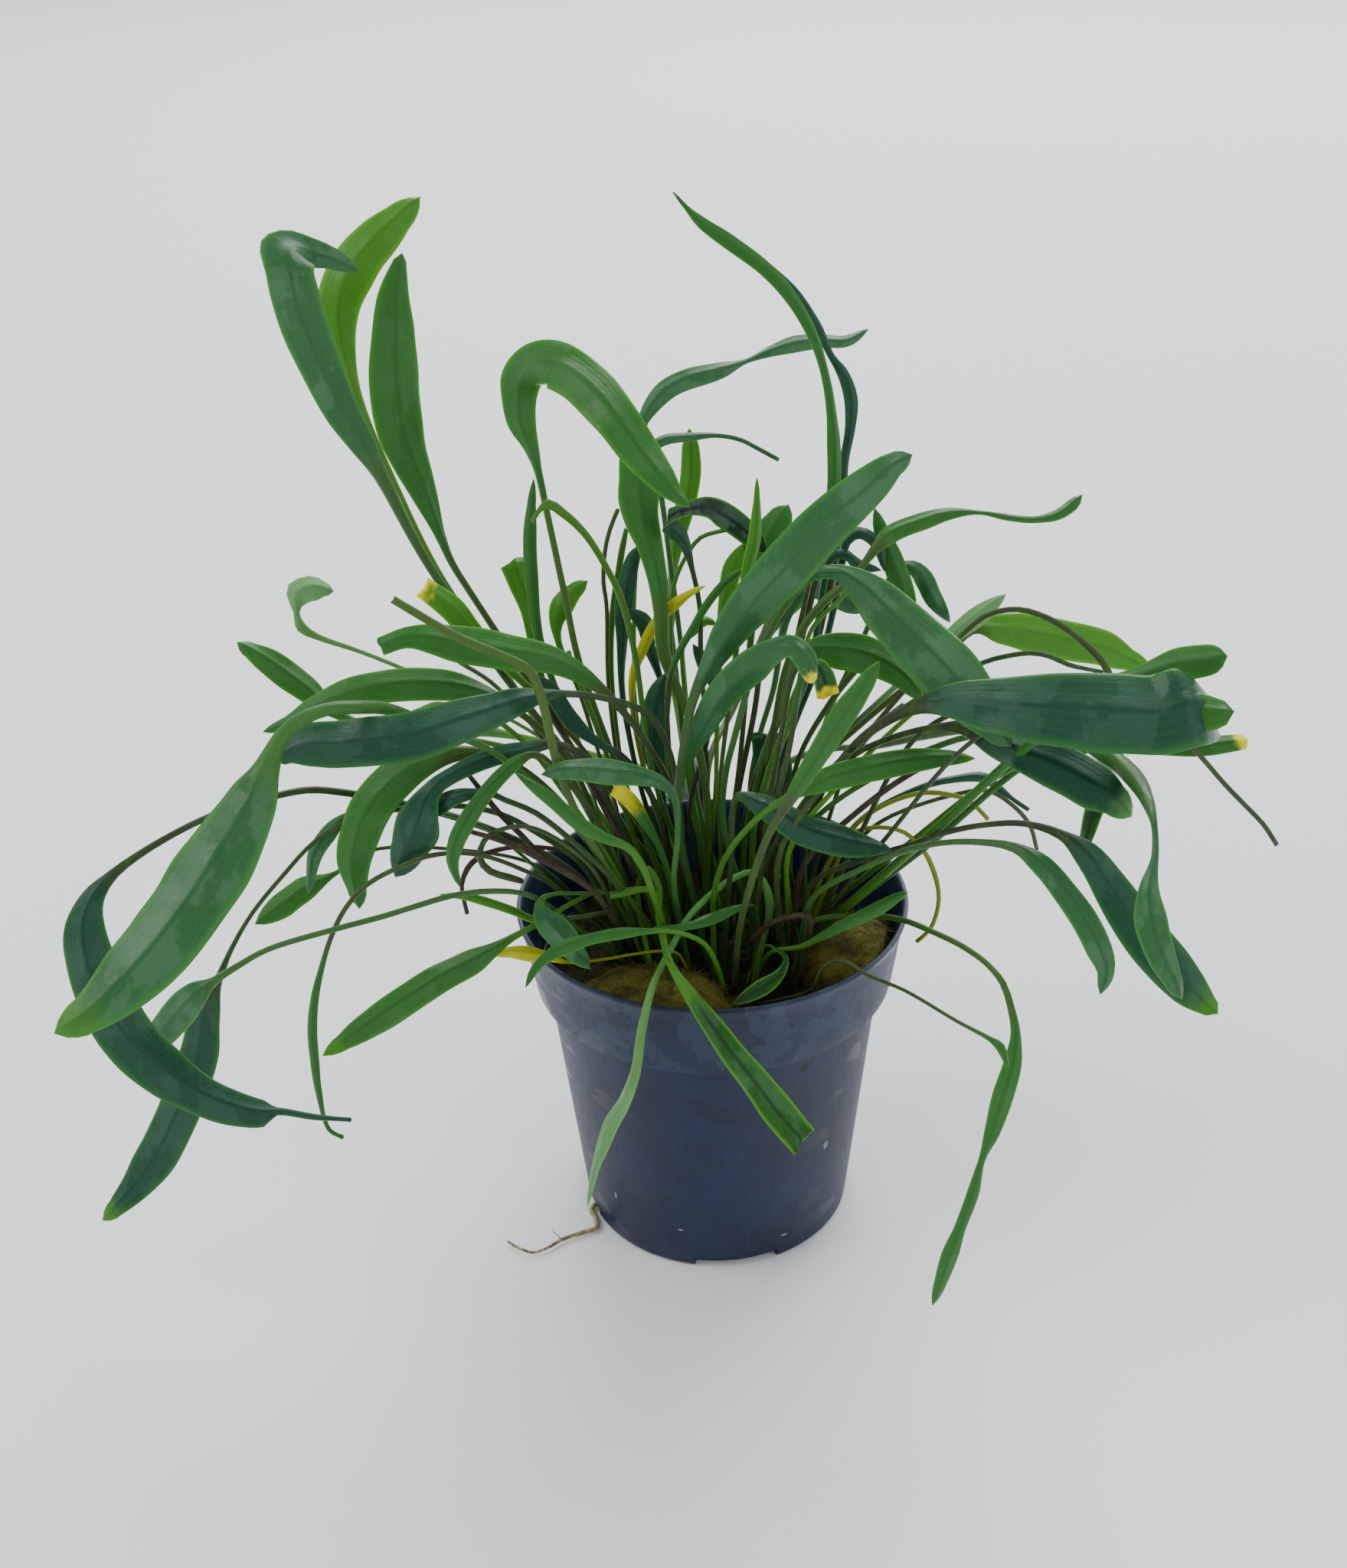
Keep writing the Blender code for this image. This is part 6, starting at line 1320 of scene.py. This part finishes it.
def pot_finish():
    """Polypropylene, injection moulded: satin, with drag marks down the side and damp, darker patches."""
    material, tree, shader = new_finish("polypropylene_moulded", IOR=1.49, Specular_IOR_Level=0.36)
    streaks = mottling(tree, 1.1, 3.0, 0.6, stretch=(1.0, 1.0, 0.02))
    fine = mottling(tree, 0.35, 2.0, 0.5, stretch=(1.0, 1.0, 0.01), offset=4.0)
    clouds = patches(tree, 0.35, 0.7, 24.0, 3.0, offset=9.0)
    colour = add_node(tree, MIX, {"Factor": clouds, 6: linear("#0a1730"), 7: linear("#0f203e")}, 2, **COLOURS)
    drag = add_node(tree, RANGE, {"Value": streaks, "From Min": 0.5, "From Max": 0.75, "To Max": 0.14},
                    **SMOOTH)
    colour = add_node(tree, MIX, {"Factor": drag, 6: colour, 7: linear("#2a3d58")}, 2, **COLOURS)
    damp = patches(tree, 0.56, 0.62, 11.0, 3.0, 0.5, stretch=(0.6, 0.6, 1.5), offset=14.0)
    for mark in DAMP_SPOTS:
        damp = add_node(tree, MATH, {0: damp, 1: mark_on_wall(tree, *mark)}, operation="MAXIMUM")
    colour = tint(tree, damp, 0.6, colour, "#08122a")
    for mark in SCUFFS:
        colour = tint(tree, mark_on_wall(tree, *mark, 0.3), 0.55, colour, "#8a9a96")
    # Small holes and a slit in the wall are painted near-black, as painted shade inside them; no opening is
    # cut
    for mark in HOLE_SHADE_SPOTS:
        hole_shade = mark_on_wall(tree, *mark, 0.3)
        colour = add_node(tree, MIX, {"Factor": hole_shade, 6: colour, 7: linear("#04070c")}, 2, **COLOURS)
    # A film of water round the collar has dried in patches
    place = add_node(tree, "ShaderNodeTexCoord", output="Object")
    level = add_node(tree, "ShaderNodeSeparateXYZ", {0: place}, "Z")
    collar = add_node(tree, RANGE, {"Value": level, "From Min": 0.062, "From Max": 0.067}, **SMOOTH)
    film = patches(tree, 0.46, 0.50, 7.0, 4.0, offset=51.0)
    film = add_node(tree, MATH, {0: collar, 1: film}, operation="MULTIPLY")
    tree.links.new(tint(tree, film, 0.6, colour, "#24364c"), shader.inputs["Base Color"])
    rough = add_node(tree, RANGE, {"Value": fine, "From Min": 0.2, "From Max": 0.8, "To Min": 0.40,
                                   "To Max": 0.52}, **SMOOTH)
    smooth = add_node(tree, MATH, {0: damp, 1: 0.14}, operation="MULTIPLY")
    rough = add_node(tree, MATH, {0: rough, 1: smooth}, operation="SUBTRACT")
    tree.links.new(rough, shader.inputs["Roughness"])
    coarse_relief = add_node(tree, MATH, {0: streaks, 1: 0.6}, operation="MULTIPLY")
    fine_relief = add_node(tree, MATH, {0: fine, 1: 0.4}, operation="MULTIPLY")
    height = add_node(tree, MATH, {0: coarse_relief, 1: fine_relief}, operation="ADD")
    normal = add_node(tree, "ShaderNodeBump", {"Height": height, "Strength": 0.2, "Distance": 0.0002})
    tree.links.new(normal, shader.inputs["Normal"])
    return material


def wool_finish():
    """Mineral wool, spun and damp: matt olive brown, yellower in patches of algae, and painted dark in its
    sunken middle.
    """
    material, tree, shader = new_finish("mineral_wool_spun", IOR=1.5, Specular_IOR_Level=0.25,
                                        Roughness=0.95)
    clumps = patches(tree, 0.35, 0.68, 7.0, 5.0)
    colour = add_node(tree, MIX, {"Factor": clumps, 6: linear("#4c4a1e"), 7: linear("#8a8238")}, 2, **COLOURS)
    colour = tint(tree, patches(tree, 0.5, 0.72, 12.0, 3.0, offset=5.0), 0.6, colour, "#a8a444")
    colour = tint(tree, patches(tree, 0.3, 0.7, 0.8, 4.0, 0.7, offset=8.0), 0.5, colour, "#2c2812")
    # The sunken middle is painted nearly black: the wool there is wet, and the dark is also painted shade of
    # the stalks and the pot's wall
    place = add_node(tree, "ShaderNodeTexCoord", output="Object")
    level = add_node(tree, "ShaderNodeSeparateXYZ", {0: place}, "Z")
    sunken_wet_shade = add_node(tree, RANGE, {"Value": level, "From Min": (WOOL_FLOOR + 1.0) * MM,
                                    "From Max": (WOOL_FLOOR + 6.0) * MM, "To Min": 0.88, "To Max": 0.0},
                      **SMOOTH)
    colour = add_node(tree, MIX, {"Factor": sunken_wet_shade, 6: colour, 7: linear("#11120c")}, 2, **COLOURS)
    tree.links.new(colour, shader.inputs["Base Color"])
    height = mottling(tree, 0.9, 5.0, 0.7)
    normal = add_node(tree, "ShaderNodeBump", {"Height": height, "Strength": 0.8, "Distance": 0.0006})
    tree.links.new(normal, shader.inputs["Normal"])
    return material


def root_finish():
    """Dry root skin: pale olive by the pot, brown and shrivelled towards the end."""
    material, tree, shader = new_finish("root_skin_dried", IOR=1.45, Roughness=0.75)
    run = add_node(tree, ATTRIBUTE, output="Fac", attribute_name="run")
    far = add_node(tree, RANGE, {"Value": run, "From Min": 8.0, "From Max": 24.0}, **SMOOTH)
    colour = add_node(tree, MIX, {"Factor": far, 6: linear("#8c8455"), 7: linear("#5a4a3c")}, 2, **COLOURS)
    dry = patches(tree, 0.45, 0.7, 1.2, 3.0)
    colour = add_node(tree, MIX, {"Factor": dry, 6: colour, 7: linear("#b8ac86")}, 2, **COLOURS)
    tree.links.new(colour, shader.inputs["Base Color"])
    return material


# Pot

# Marks on the pot's front: the pixel of each one's middle in the reference view, and its size in millimetres
DAMP_SPOTS = ((932, 1458, 6.5, 2.6), (865, 1489, 3.8, 2.2), (871, 1546, 4.6, 2.2), (790, 1431, 6.0, 3.0),
              (1022, 1599, 7.0, 3.0))
# Spots of painted shade where the wall has small holes and a slit
HOLE_SHADE_SPOTS = ((1052, 1393, 2.4, 3.0), (1114, 1353, 0.7, 2.4), (926, 1573, 0.5, 0.5), (1008, 1555, 0.6, 0.6))
SCUFFS = ((1078, 1496, 1.3, 2.6), (804, 1561, 0.7, 2.6), (1024, 1613, 1.6, 0.8), (889, 1607, 1.4, 0.7))


def pot_profile():
    """Radius and height from the base's middle, up the outside, over the rim and down the inside."""
    inner_body = BODY_TOP_RADIUS - WALL
    profile = [(0.0, 0.0), (BASE_RADIUS - 2.2, 0.0), (BASE_RADIUS - 1.0, 0.02), (BASE_RADIUS - 0.4, 0.2),
               (BASE_RADIUS - 0.1, 0.6), (BASE_RADIUS + 0.02, 1.2)]
    body_top = COLLAR_FOOT_HEIGHT - 0.55
    for i in range(1, 13):
        share = i / 12.0
        radius = BASE_RADIUS + (BODY_TOP_RADIUS - BASE_RADIUS) * share
        profile.append((radius, 1.2 + (body_top - 1.2) * share))
    profile += [(BODY_TOP_RADIUS + 0.5, COLLAR_FOOT_HEIGHT - 0.35),
                (COLLAR_FOOT_RADIUS - 0.5, COLLAR_FOOT_HEIGHT - 0.1),
                (COLLAR_FOOT_RADIUS - 0.1, COLLAR_FOOT_HEIGHT + 0.15),
                (COLLAR_FOOT_RADIUS + 0.02, COLLAR_FOOT_HEIGHT + 0.7)]
    # The collar swells to the rim, rolls over it and goes down inside
    profile += [(42.0, 67.0), (42.45, 70.0), (42.9, 73.0), (43.38, 76.5), (43.8, 79.3), (44.3, 81.6),
                (44.75, 82.7), (44.96, 83.2), (44.98, 83.6), (44.85, 83.88), (44.6, 84.0), (44.25, 83.98),
                (43.95, 83.8), (43.6, 83.1), (43.3, 82.2), (42.8, 79.0), (42.4, 76.5), (41.9, 73.0),
                (41.5, 70.0), (41.0, 67.0)]
    profile += [(COLLAR_FOOT_RADIUS - WALL, COLLAR_FOOT_HEIGHT + 1.2),
                (inner_body + 1.0, COLLAR_FOOT_HEIGHT + 0.6), (inner_body, COLLAR_FOOT_HEIGHT + 0.2),
                (BASE_RADIUS - BASE_INSET, BASE_THICKNESS), (0.0, BASE_THICKNESS)]
    return profile


def turned(name, profile, steps):
    """A profile turned about Z, as an object with plain mesh data."""
    points = [(radius * MM, 0.0, height * MM) for radius, height in reversed(profile)]
    mesh = bpy.data.meshes.new(name)
    mesh.from_pydata(points, [(i, i + 1) for i in range(len(points) - 1)], [])
    guide = new_item(name + "_profile", mesh)
    screw = guide.modifiers.new("turn", "SCREW")
    screw.axis = "Z"
    screw.angle = math.radians(360.0)
    screw.steps = steps
    screw.render_steps = steps
    screw.use_merge_vertices = True
    screw.merge_threshold = 0.00001
    result = finished_mesh(guide)
    bpy.data.objects.remove(guide, do_unlink=True)
    face_outward(result, 0.00001)
    return new_item(name, result)


def notch_cutter(azimuth):
    """A block bent round the foot, which takes one drain notch out of it."""
    low = BASE_RADIUS - NOTCH_REACH
    high = BASE_RADIUS + 2.0
    sides = 17
    points = []
    for i in range(sides):
        turn = azimuth + NOTCH_SPREAD * (i / (sides - 1) - 0.5)
        for radius, height in ((low, -1.0), (high, -1.0), (high, NOTCH_HEIGHT), (low, NOTCH_HEIGHT)):
            points.append(tuple(around(turn, radius, height) * MM))
    faces = [(0, 1, 2, 3)]
    for i in range(sides - 1):
        for k in range(4):
            n = (k + 1) % 4
            faces.append((4 * i + k, 4 * i + 4 + k, 4 * i + 4 + n, 4 * i + n))
    end = 4 * (sides - 1)
    faces.append((end + 3, end + 2, end + 1, end))
    mesh = bpy.data.meshes.new("notch_cutter")
    mesh.from_pydata(points, [], faces)
    face_outward(mesh)
    return new_item("notch_cutter", mesh)


def make_pot():
    """The turned pot with its drain notches cut out."""
    pot = turned("pot_moulding", pot_profile(), POT_STEPS)
    cutters = [notch_cutter(azimuth) for azimuth in NOTCH_AZIMUTHS]
    for cutter in cutters:
        cut = pot.modifiers.new("notch", "BOOLEAN")
        cut.operation = "DIFFERENCE"
        cut.object = cutter
    mesh = finished_mesh(pot)
    pot.modifiers.clear()
    pot.data = mesh
    for cutter in cutters:
        bpy.data.objects.remove(cutter, do_unlink=True)
    mesh.materials.clear()
    mesh.materials.append(pot_finish())
    mesh.shade_smooth()
    mesh.set_sharp_from_angle(angle=math.radians(SHARP_ANGLE))
    finish_piece(pot, "pot_plastic", "pot")


# Wool


def wool_top(x, y):
    """Height of the wool before it is torn: the sunken floor, or the highest lump."""
    height = WOOL_FLOOR
    for centre_x, centre_y, radius, lift in WOOL_LUMPS:
        reach = math.hypot(x - centre_x, y - centre_y) / radius
        if reach < 1.0:
            height = max(height, WOOL_FLOOR + lift * (1.0 - reach ** 3))
    return height


def make_wool():
    """A plug with a torn, lumpy top and loose fibres standing on it."""
    spokes = WOOL_SPOKES
    rings = [0.6 + 39.6 * (i / (WOOL_RINGS - 1.0)) for i in range(WOOL_RINGS)]
    points = [(0.0, 0.0, wool_top(0.0, 0.0))]
    for radius in rings:
        for k in range(spokes):
            place = around(360.0 * k / spokes, radius, 0.0)
            spot = Vector((place.x, place.y, 0.0))
            height = wool_top(place.x, place.y)
            rough = noise.fractal(spot / 6.0, 0.9, 2.0, 5) * 1.1
            rough += noise.fractal(spot / 1.6, 0.8, 2.0, 4) * 0.35
            rim = min(1.0, (WOOL_EDGE - radius) / WOOL_EDGE_FADE)
            points.append((place.x, place.y, height - 0.5 + rough * (0.35 + 0.65 * rim)))
    inner_body = BODY_TOP_RADIUS - WALL - WOOL_GAP
    inner_base = BASE_RADIUS - BASE_INSET - WOOL_GAP
    for radius, height in ((WOOL_RADIUS, COLLAR_FOOT_HEIGHT + 1.5), (inner_body, COLLAR_FOOT_HEIGHT + 0.5),
                           (inner_base, BASE_THICKNESS + WOOL_GAP)):
        for k in range(spokes):
            points.append(tuple(around(360.0 * k / spokes, radius, height)))
    points.append((0.0, 0.0, BASE_THICKNESS + WOOL_GAP))
    faces = [(0, 1 + k, 1 + (k + 1) % spokes) for k in range(spokes)]
    loops = len(rings) + 3
    for i in range(loops - 1):
        near = 1 + i * spokes
        far = near + spokes
        for k in range(spokes):
            n = (k + 1) % spokes
            faces.append((near + k, far + k, far + n, near + n))
    last = 1 + (loops - 1) * spokes
    faces += [(last + k, len(points) - 1, last + (k + 1) % spokes) for k in range(spokes)]
    finish = wool_finish()
    wool = make_mesh("wool_plug", points, faces, {}, [finish])
    finish_piece(wool, "wool_fibre", "mineral_wool")
    make_fibres(wool, finish)


def fibre_tree(finish):
    """Scatters short bent fibres over the upward faces of a surface."""
    tree = bpy.data.node_groups.new("loose_fibres", "GeometryNodeTree")
    face = tree.interface
    face.new_socket("Geometry", in_out="INPUT", socket_type="NodeSocketGeometry")
    for name, value in (("Fibres per square metre", FIBRE_DENSITY), ("Fibre length", FIBRE_LENGTH),
                        ("Fibre radius", FIBRE_RADIUS)):
        socket = face.new_socket(name, in_out="INPUT", socket_type="NodeSocketFloat")
        socket.default_value = value
    face.new_socket("Geometry", in_out="OUTPUT", socket_type="NodeSocketGeometry")
    given = add_node(tree, "NodeGroupInput", output=None)
    normal = add_node(tree, "GeometryNodeInputNormal")
    upward = add_node(tree, "ShaderNodeSeparateXYZ", {0: normal}, "Z")
    place = add_node(tree, "GeometryNodeInputPosition")
    level = add_node(tree, "ShaderNodeSeparateXYZ", {0: place}, "Z")
    top_only = add_node(tree, "FunctionNodeCompare", {0: level, 1: (WOOL_FLOOR - 2.5) * MM},
                        data_type="FLOAT", operation="GREATER_THAN")
    faces_up = add_node(tree, "FunctionNodeCompare", {0: upward, 1: 0.2}, data_type="FLOAT",
                        operation="GREATER_THAN")
    both = add_node(tree, "FunctionNodeBooleanMath", {0: top_only, 1: faces_up}, operation="AND")
    spots = add_node(tree, "GeometryNodeDistributePointsOnFaces",
                     {"Mesh": given.outputs[0], "Selection": both,
                      "Density": given.outputs["Fibres per square metre"], "Seed": 7})
    length = given.outputs["Fibre length"]
    bends = [add_node(tree, MATH, {0: length, 1: share}, operation="MULTIPLY")
             for share in (0.35, 0.30, 0.25, 0.16)]
    middle = add_node(tree, "ShaderNodeCombineXYZ", {"X": bends[0], "Z": bends[1]})
    end = add_node(tree, "ShaderNodeCombineXYZ", {"X": length, "Y": bends[2], "Z": bends[3]})
    arc = add_node(tree, "GeometryNodeCurveQuadraticBezier",
                   {"Resolution": 4, "Start": (0.0, 0.0, 0.0), "Middle": middle, "End": end})
    ring = add_node(tree, "GeometryNodeCurvePrimitiveCircle",
                    {"Resolution": 3, "Radius": given.outputs["Fibre radius"]})
    tube = add_node(tree, "GeometryNodeCurveToMesh", {"Curve": arc, "Profile Curve": ring, "Fill Caps": True})
    spin = add_node(tree, "FunctionNodeRandomValue",
                    {"Min": (-0.5, -0.5, 0.0), "Max": (0.5, 0.5, 6.283), "Seed": 3},
                    data_type="FLOAT_VECTOR")
    size = add_node(tree, "FunctionNodeRandomValue", {2: 0.35, 3: 1.0, "Seed": 5}, 1, data_type="FLOAT")
    placed = add_node(tree, "GeometryNodeInstanceOnPoints",
                      {"Points": spots, "Instance": tube, "Rotation": spin, "Scale": size})
    real = add_node(tree, "GeometryNodeRealizeInstances", {0: placed})
    dressed = add_node(tree, "GeometryNodeSetMaterial", {"Geometry": real, "Material": finish})
    add_node(tree, "NodeGroupOutput", {0: dressed}, output=None)
    return tree


def make_fibres(wool, finish):
    """Loose fibres over a copy of the plug."""
    guide = new_item("fibre_guide", wool.data.copy())
    grow = guide.modifiers.new("fibres", "NODES")
    grow.node_group = fibre_tree(finish)
    mesh = finished_mesh(guide)
    bpy.data.objects.remove(guide, do_unlink=True)
    fibres = new_item("wool_fibres", mesh)
    finish_piece(fibres, "wool_fibre", "mineral_wool")


# Root

# Pixel of each point in the reference view, and its height in millimetres
ROOT_ROUTE = (
    (779, 1604, 0.8), (764, 1609, 0.8), (748, 1614, 0.8), (732, 1620, 0.8), (715, 1630, 0.8),
    (697, 1636, 0.8), (682, 1632, 0.8), (670, 1626, 0.7), (663, 1621, 0.7),
)
# Azimuth and radius of the points where it leaves the foot, before those
ROOT_EXIT = ((288.0, 30.8), (292.0, 33.5), (298.0, 33.7))
ROOT_DIAMETER = 1.2
ROOT_RADII = (0.6, 0.62, 0.62, 0.62, 0.58, 0.5, 0.42, 0.36, 0.33, 0.3, 0.34, 0.2)
HAIR_ROUTE = ((733, 1619, 0.8), (728, 1613, 1.2), (722, 1608, 1.8), (723, 1603, 2.2))
HAIR_RADII = (0.16, 0.13, 0.1, 0.05)


def tube_form(points, radii, sides=9):
    """Vertices, faces and run of a tube along smooth points, closed at both ends."""
    spine, places = smooth_route([np.array(tuple(point)) for point in points], [0.8] * len(points))
    radius = np.interp(places, np.arange(len(radii)), radii)
    along = unit_rows(np.gradient(spine, axis=0))
    side = unit_rows(np.cross(along, np.tile([0.0, 0.0, 1.0], (len(spine), 1)) + 0.01))
    over = np.cross(side, along)
    turn = 2 * math.pi * np.arange(sides) / sides
    rows = (spine[:, None] + (np.cos(turn)[None, :, None] * side[:, None] + np.sin(turn)[None, :, None]
                              * over[:, None]) * radius[:, None, None])
    grid = np.arange(len(spine) * sides).reshape(len(spine), sides)
    after = np.roll(grid, -1, axis=1)
    faces = [tuple(f) for f in np.stack([grid[:-1], grid[1:], after[1:], after[:-1]], -1).reshape(-1, 4)]
    faces.append(tuple(grid[0]))
    faces.append(tuple(grid[-1][::-1]))
    runs = np.concatenate([[0.0], np.cumsum(np.linalg.norm(np.diff(spine, axis=0), axis=1))])
    return rows.reshape(-1, 3), faces, np.repeat(runs, sides)


def make_root():
    """The root on the table and the one thin hair on it."""
    main = [around(azimuth, radius, 0.5 * ROOT_DIAMETER + 0.2) for azimuth, radius in ROOT_EXIT]
    main += [seen_at_height(*step) for step in ROOT_ROUTE]
    hair = [seen_at_height(*step) for step in HAIR_ROUTE]
    points = []
    faces = []
    runs = []
    for route, sizes in ((main, ROOT_RADII), (hair, HAIR_RADII)):
        form, skin, run = tube_form(route, sizes)
        start = sum(len(block) for block in points)
        points.append(form)
        faces += [tuple(index + start for index in face) for face in skin]
        runs.append(run)
    values = {"run": np.concatenate(runs)}
    root = make_mesh("root_drying", np.vstack(points), faces, values, [root_finish()])
    finish_piece(root, "root_skin", "root_strand")


# Leaves


def gather_leaves(wool):
    leaves = []
    for name, (tone, foot, blade, route) in LEAVES.items():
        leaves.append(Leaf(name, tone, foot, blade, route, wool))
    for shoot, ((tone, foot), small) in SHOOTS.items():
        for name, (blade, route) in small.items():
            skin = SMALL_TONES.get(name, tone)
            leaves.append(Leaf(shoot + "_" + name, skin, foot, blade, route, wool, shoot, shoot))
    return leaves


def gather_fine_leaves(wool):
    leaves = []
    for shoot, small in FINE_LEAVES.items():
        for name, (tone, blade, foot, route) in small.items():
            leaves.append(Leaf(shoot + "_" + name, tone, foot, blade, route, wool, group=shoot))
    return leaves


def make_stem(name, place, material):
    """The short joined stem that a shoot's stalks rise from, ringed by the scars of old leaves."""
    ball = bmesh.new()
    bmesh.ops.create_icosphere(ball, subdivisions=5, radius=STEM_RADIUS)
    for spot in ball.verts:
        lumps = 0.25 * noise.fractal(spot.co / 1.5, 0.8, 2.0, 4)
        scars = 0.12 * math.sin(5.0 * spot.co.z + 3.0 * lumps)
        spot.co = place + spot.co * (1.0 + (lumps + scars) / STEM_RADIUS)
    points = [tuple(spot.co) for spot in ball.verts]
    faces = [tuple(corner.index for corner in face.verts) for face in ball.faces]
    ball.free()
    return make_mesh(name, points, faces, {}, [material])


def make_leaves():
    """Spreads all leaves, then makes a piece of each large one and one of each shoot's small ones."""
    wool = node_tree_of("mineral_wool")
    pot = node_tree_of("pot")
    leaves = gather_leaves(wool)
    spread_leaves(leaves, [pot, wool], SPREAD_ROUNDS)
    fine = gather_fine_leaves(wool)
    spread_leaves(fine, [pot, wool] + [leaf.tree() for leaf in leaves], FINE_SPREAD_ROUNDS)
    for leaf in leaves + fine:
        leaf.shape(0.0)
    finishes = {tone: leaf_finish(*skin) for tone, skin in LEAF_SKINS.items()}
    seeds = {leaf.name: index + 1 for index, leaf in enumerate(leaves + fine)}
    for leaf in leaves:
        if not leaf.shoot:
            piece = leaf_piece(leaf.name + "_grown", [(leaf, seeds[leaf.name])], finishes)
            finish_piece(piece, "leaf_" + leaf.tone, leaf.name)
    for shoot, ((tone, _), _) in SHOOTS.items():
        members = [leaf for leaf in leaves + fine if leaf.group == shoot]
        piece = leaf_piece(shoot + "_grown", [(leaf, seeds[leaf.name]) for leaf in members], finishes)
        finish_piece(piece, "leaf_" + tone, shoot)
        stem = make_stem(shoot + "_stem", members[0].foot_point(), finishes["dry"])
        finish_piece(stem, "leaf_" + tone, shoot)


# Camera, light and ground


def make_camera():
    camera = bpy.data.cameras.new("camera")
    camera.sensor_fit = "AUTO"
    camera.sensor_width = SENSOR
    camera.lens = SENSOR * FOCAL_PIXELS / PICTURE_SIZE[1]
    camera.clip_start = 0.01
    item = new_item("camera", camera)
    turn = Matrix((RIGHT, UP, -FORWARD)).transposed()
    item.matrix_world = Matrix.Translation(EYE * MM) @ turn.to_4x4()
    bpy.context.scene.camera = item


def area_light(name, place, aim, size, watts, colour):
    light = bpy.data.lights.new(name, "AREA")
    light.shape = "RECTANGLE"
    light.size, light.size_y = size
    light.energy = watts
    light.color = colour
    item = new_item(name, light)
    item.location = place
    item.rotation_euler = (Vector(aim) - Vector(place)).to_track_quat("-Z", "Y").to_euler()


def make_light():
    world = bpy.data.worlds.new("studio")
    bpy.context.scene.world = world
    world.use_nodes = True
    sky = world.node_tree.nodes["Background"]
    sky.inputs["Color"].default_value = (0.92, 0.96, 1.0, 1.0)
    sky.inputs["Strength"].default_value = 0.75
    plant = (0.0, 0.0, 0.12)
    area_light("window_behind", (0.5, 2.1, 2.0), plant, (2.8, 1.8), 84.0, (1.0, 1.0, 1.0))
    area_light("window_left", (-1.1, -0.2, 1.2), plant, (1.0, 1.0), 11.0, (1.0, 0.99, 0.97))
    area_light("fill", (1.1, -0.8, 0.9), plant, (1.2, 1.2), 6.0, (0.95, 0.98, 1.0))


def make_ground():
    mesh = bpy.data.meshes.new("ground")
    corners = ((-1, -1), (1, -1), (1, 1), (-1, 1))
    mesh.from_pydata([(x * GROUND_REACH, y * GROUND_REACH, GROUND_HEIGHT) for x, y in corners], [],
                     [(0, 1, 2, 3)])
    material, _, _ = new_finish("studio_sheet", Base_Color=(0.92, 0.93, 0.94, 1.0), Roughness=0.9)
    mesh.materials.append(material)
    ground = new_item("ground", mesh)


make_camera()
make_light()
make_ground()
make_pot()
make_wool()
make_root()
make_leaves()
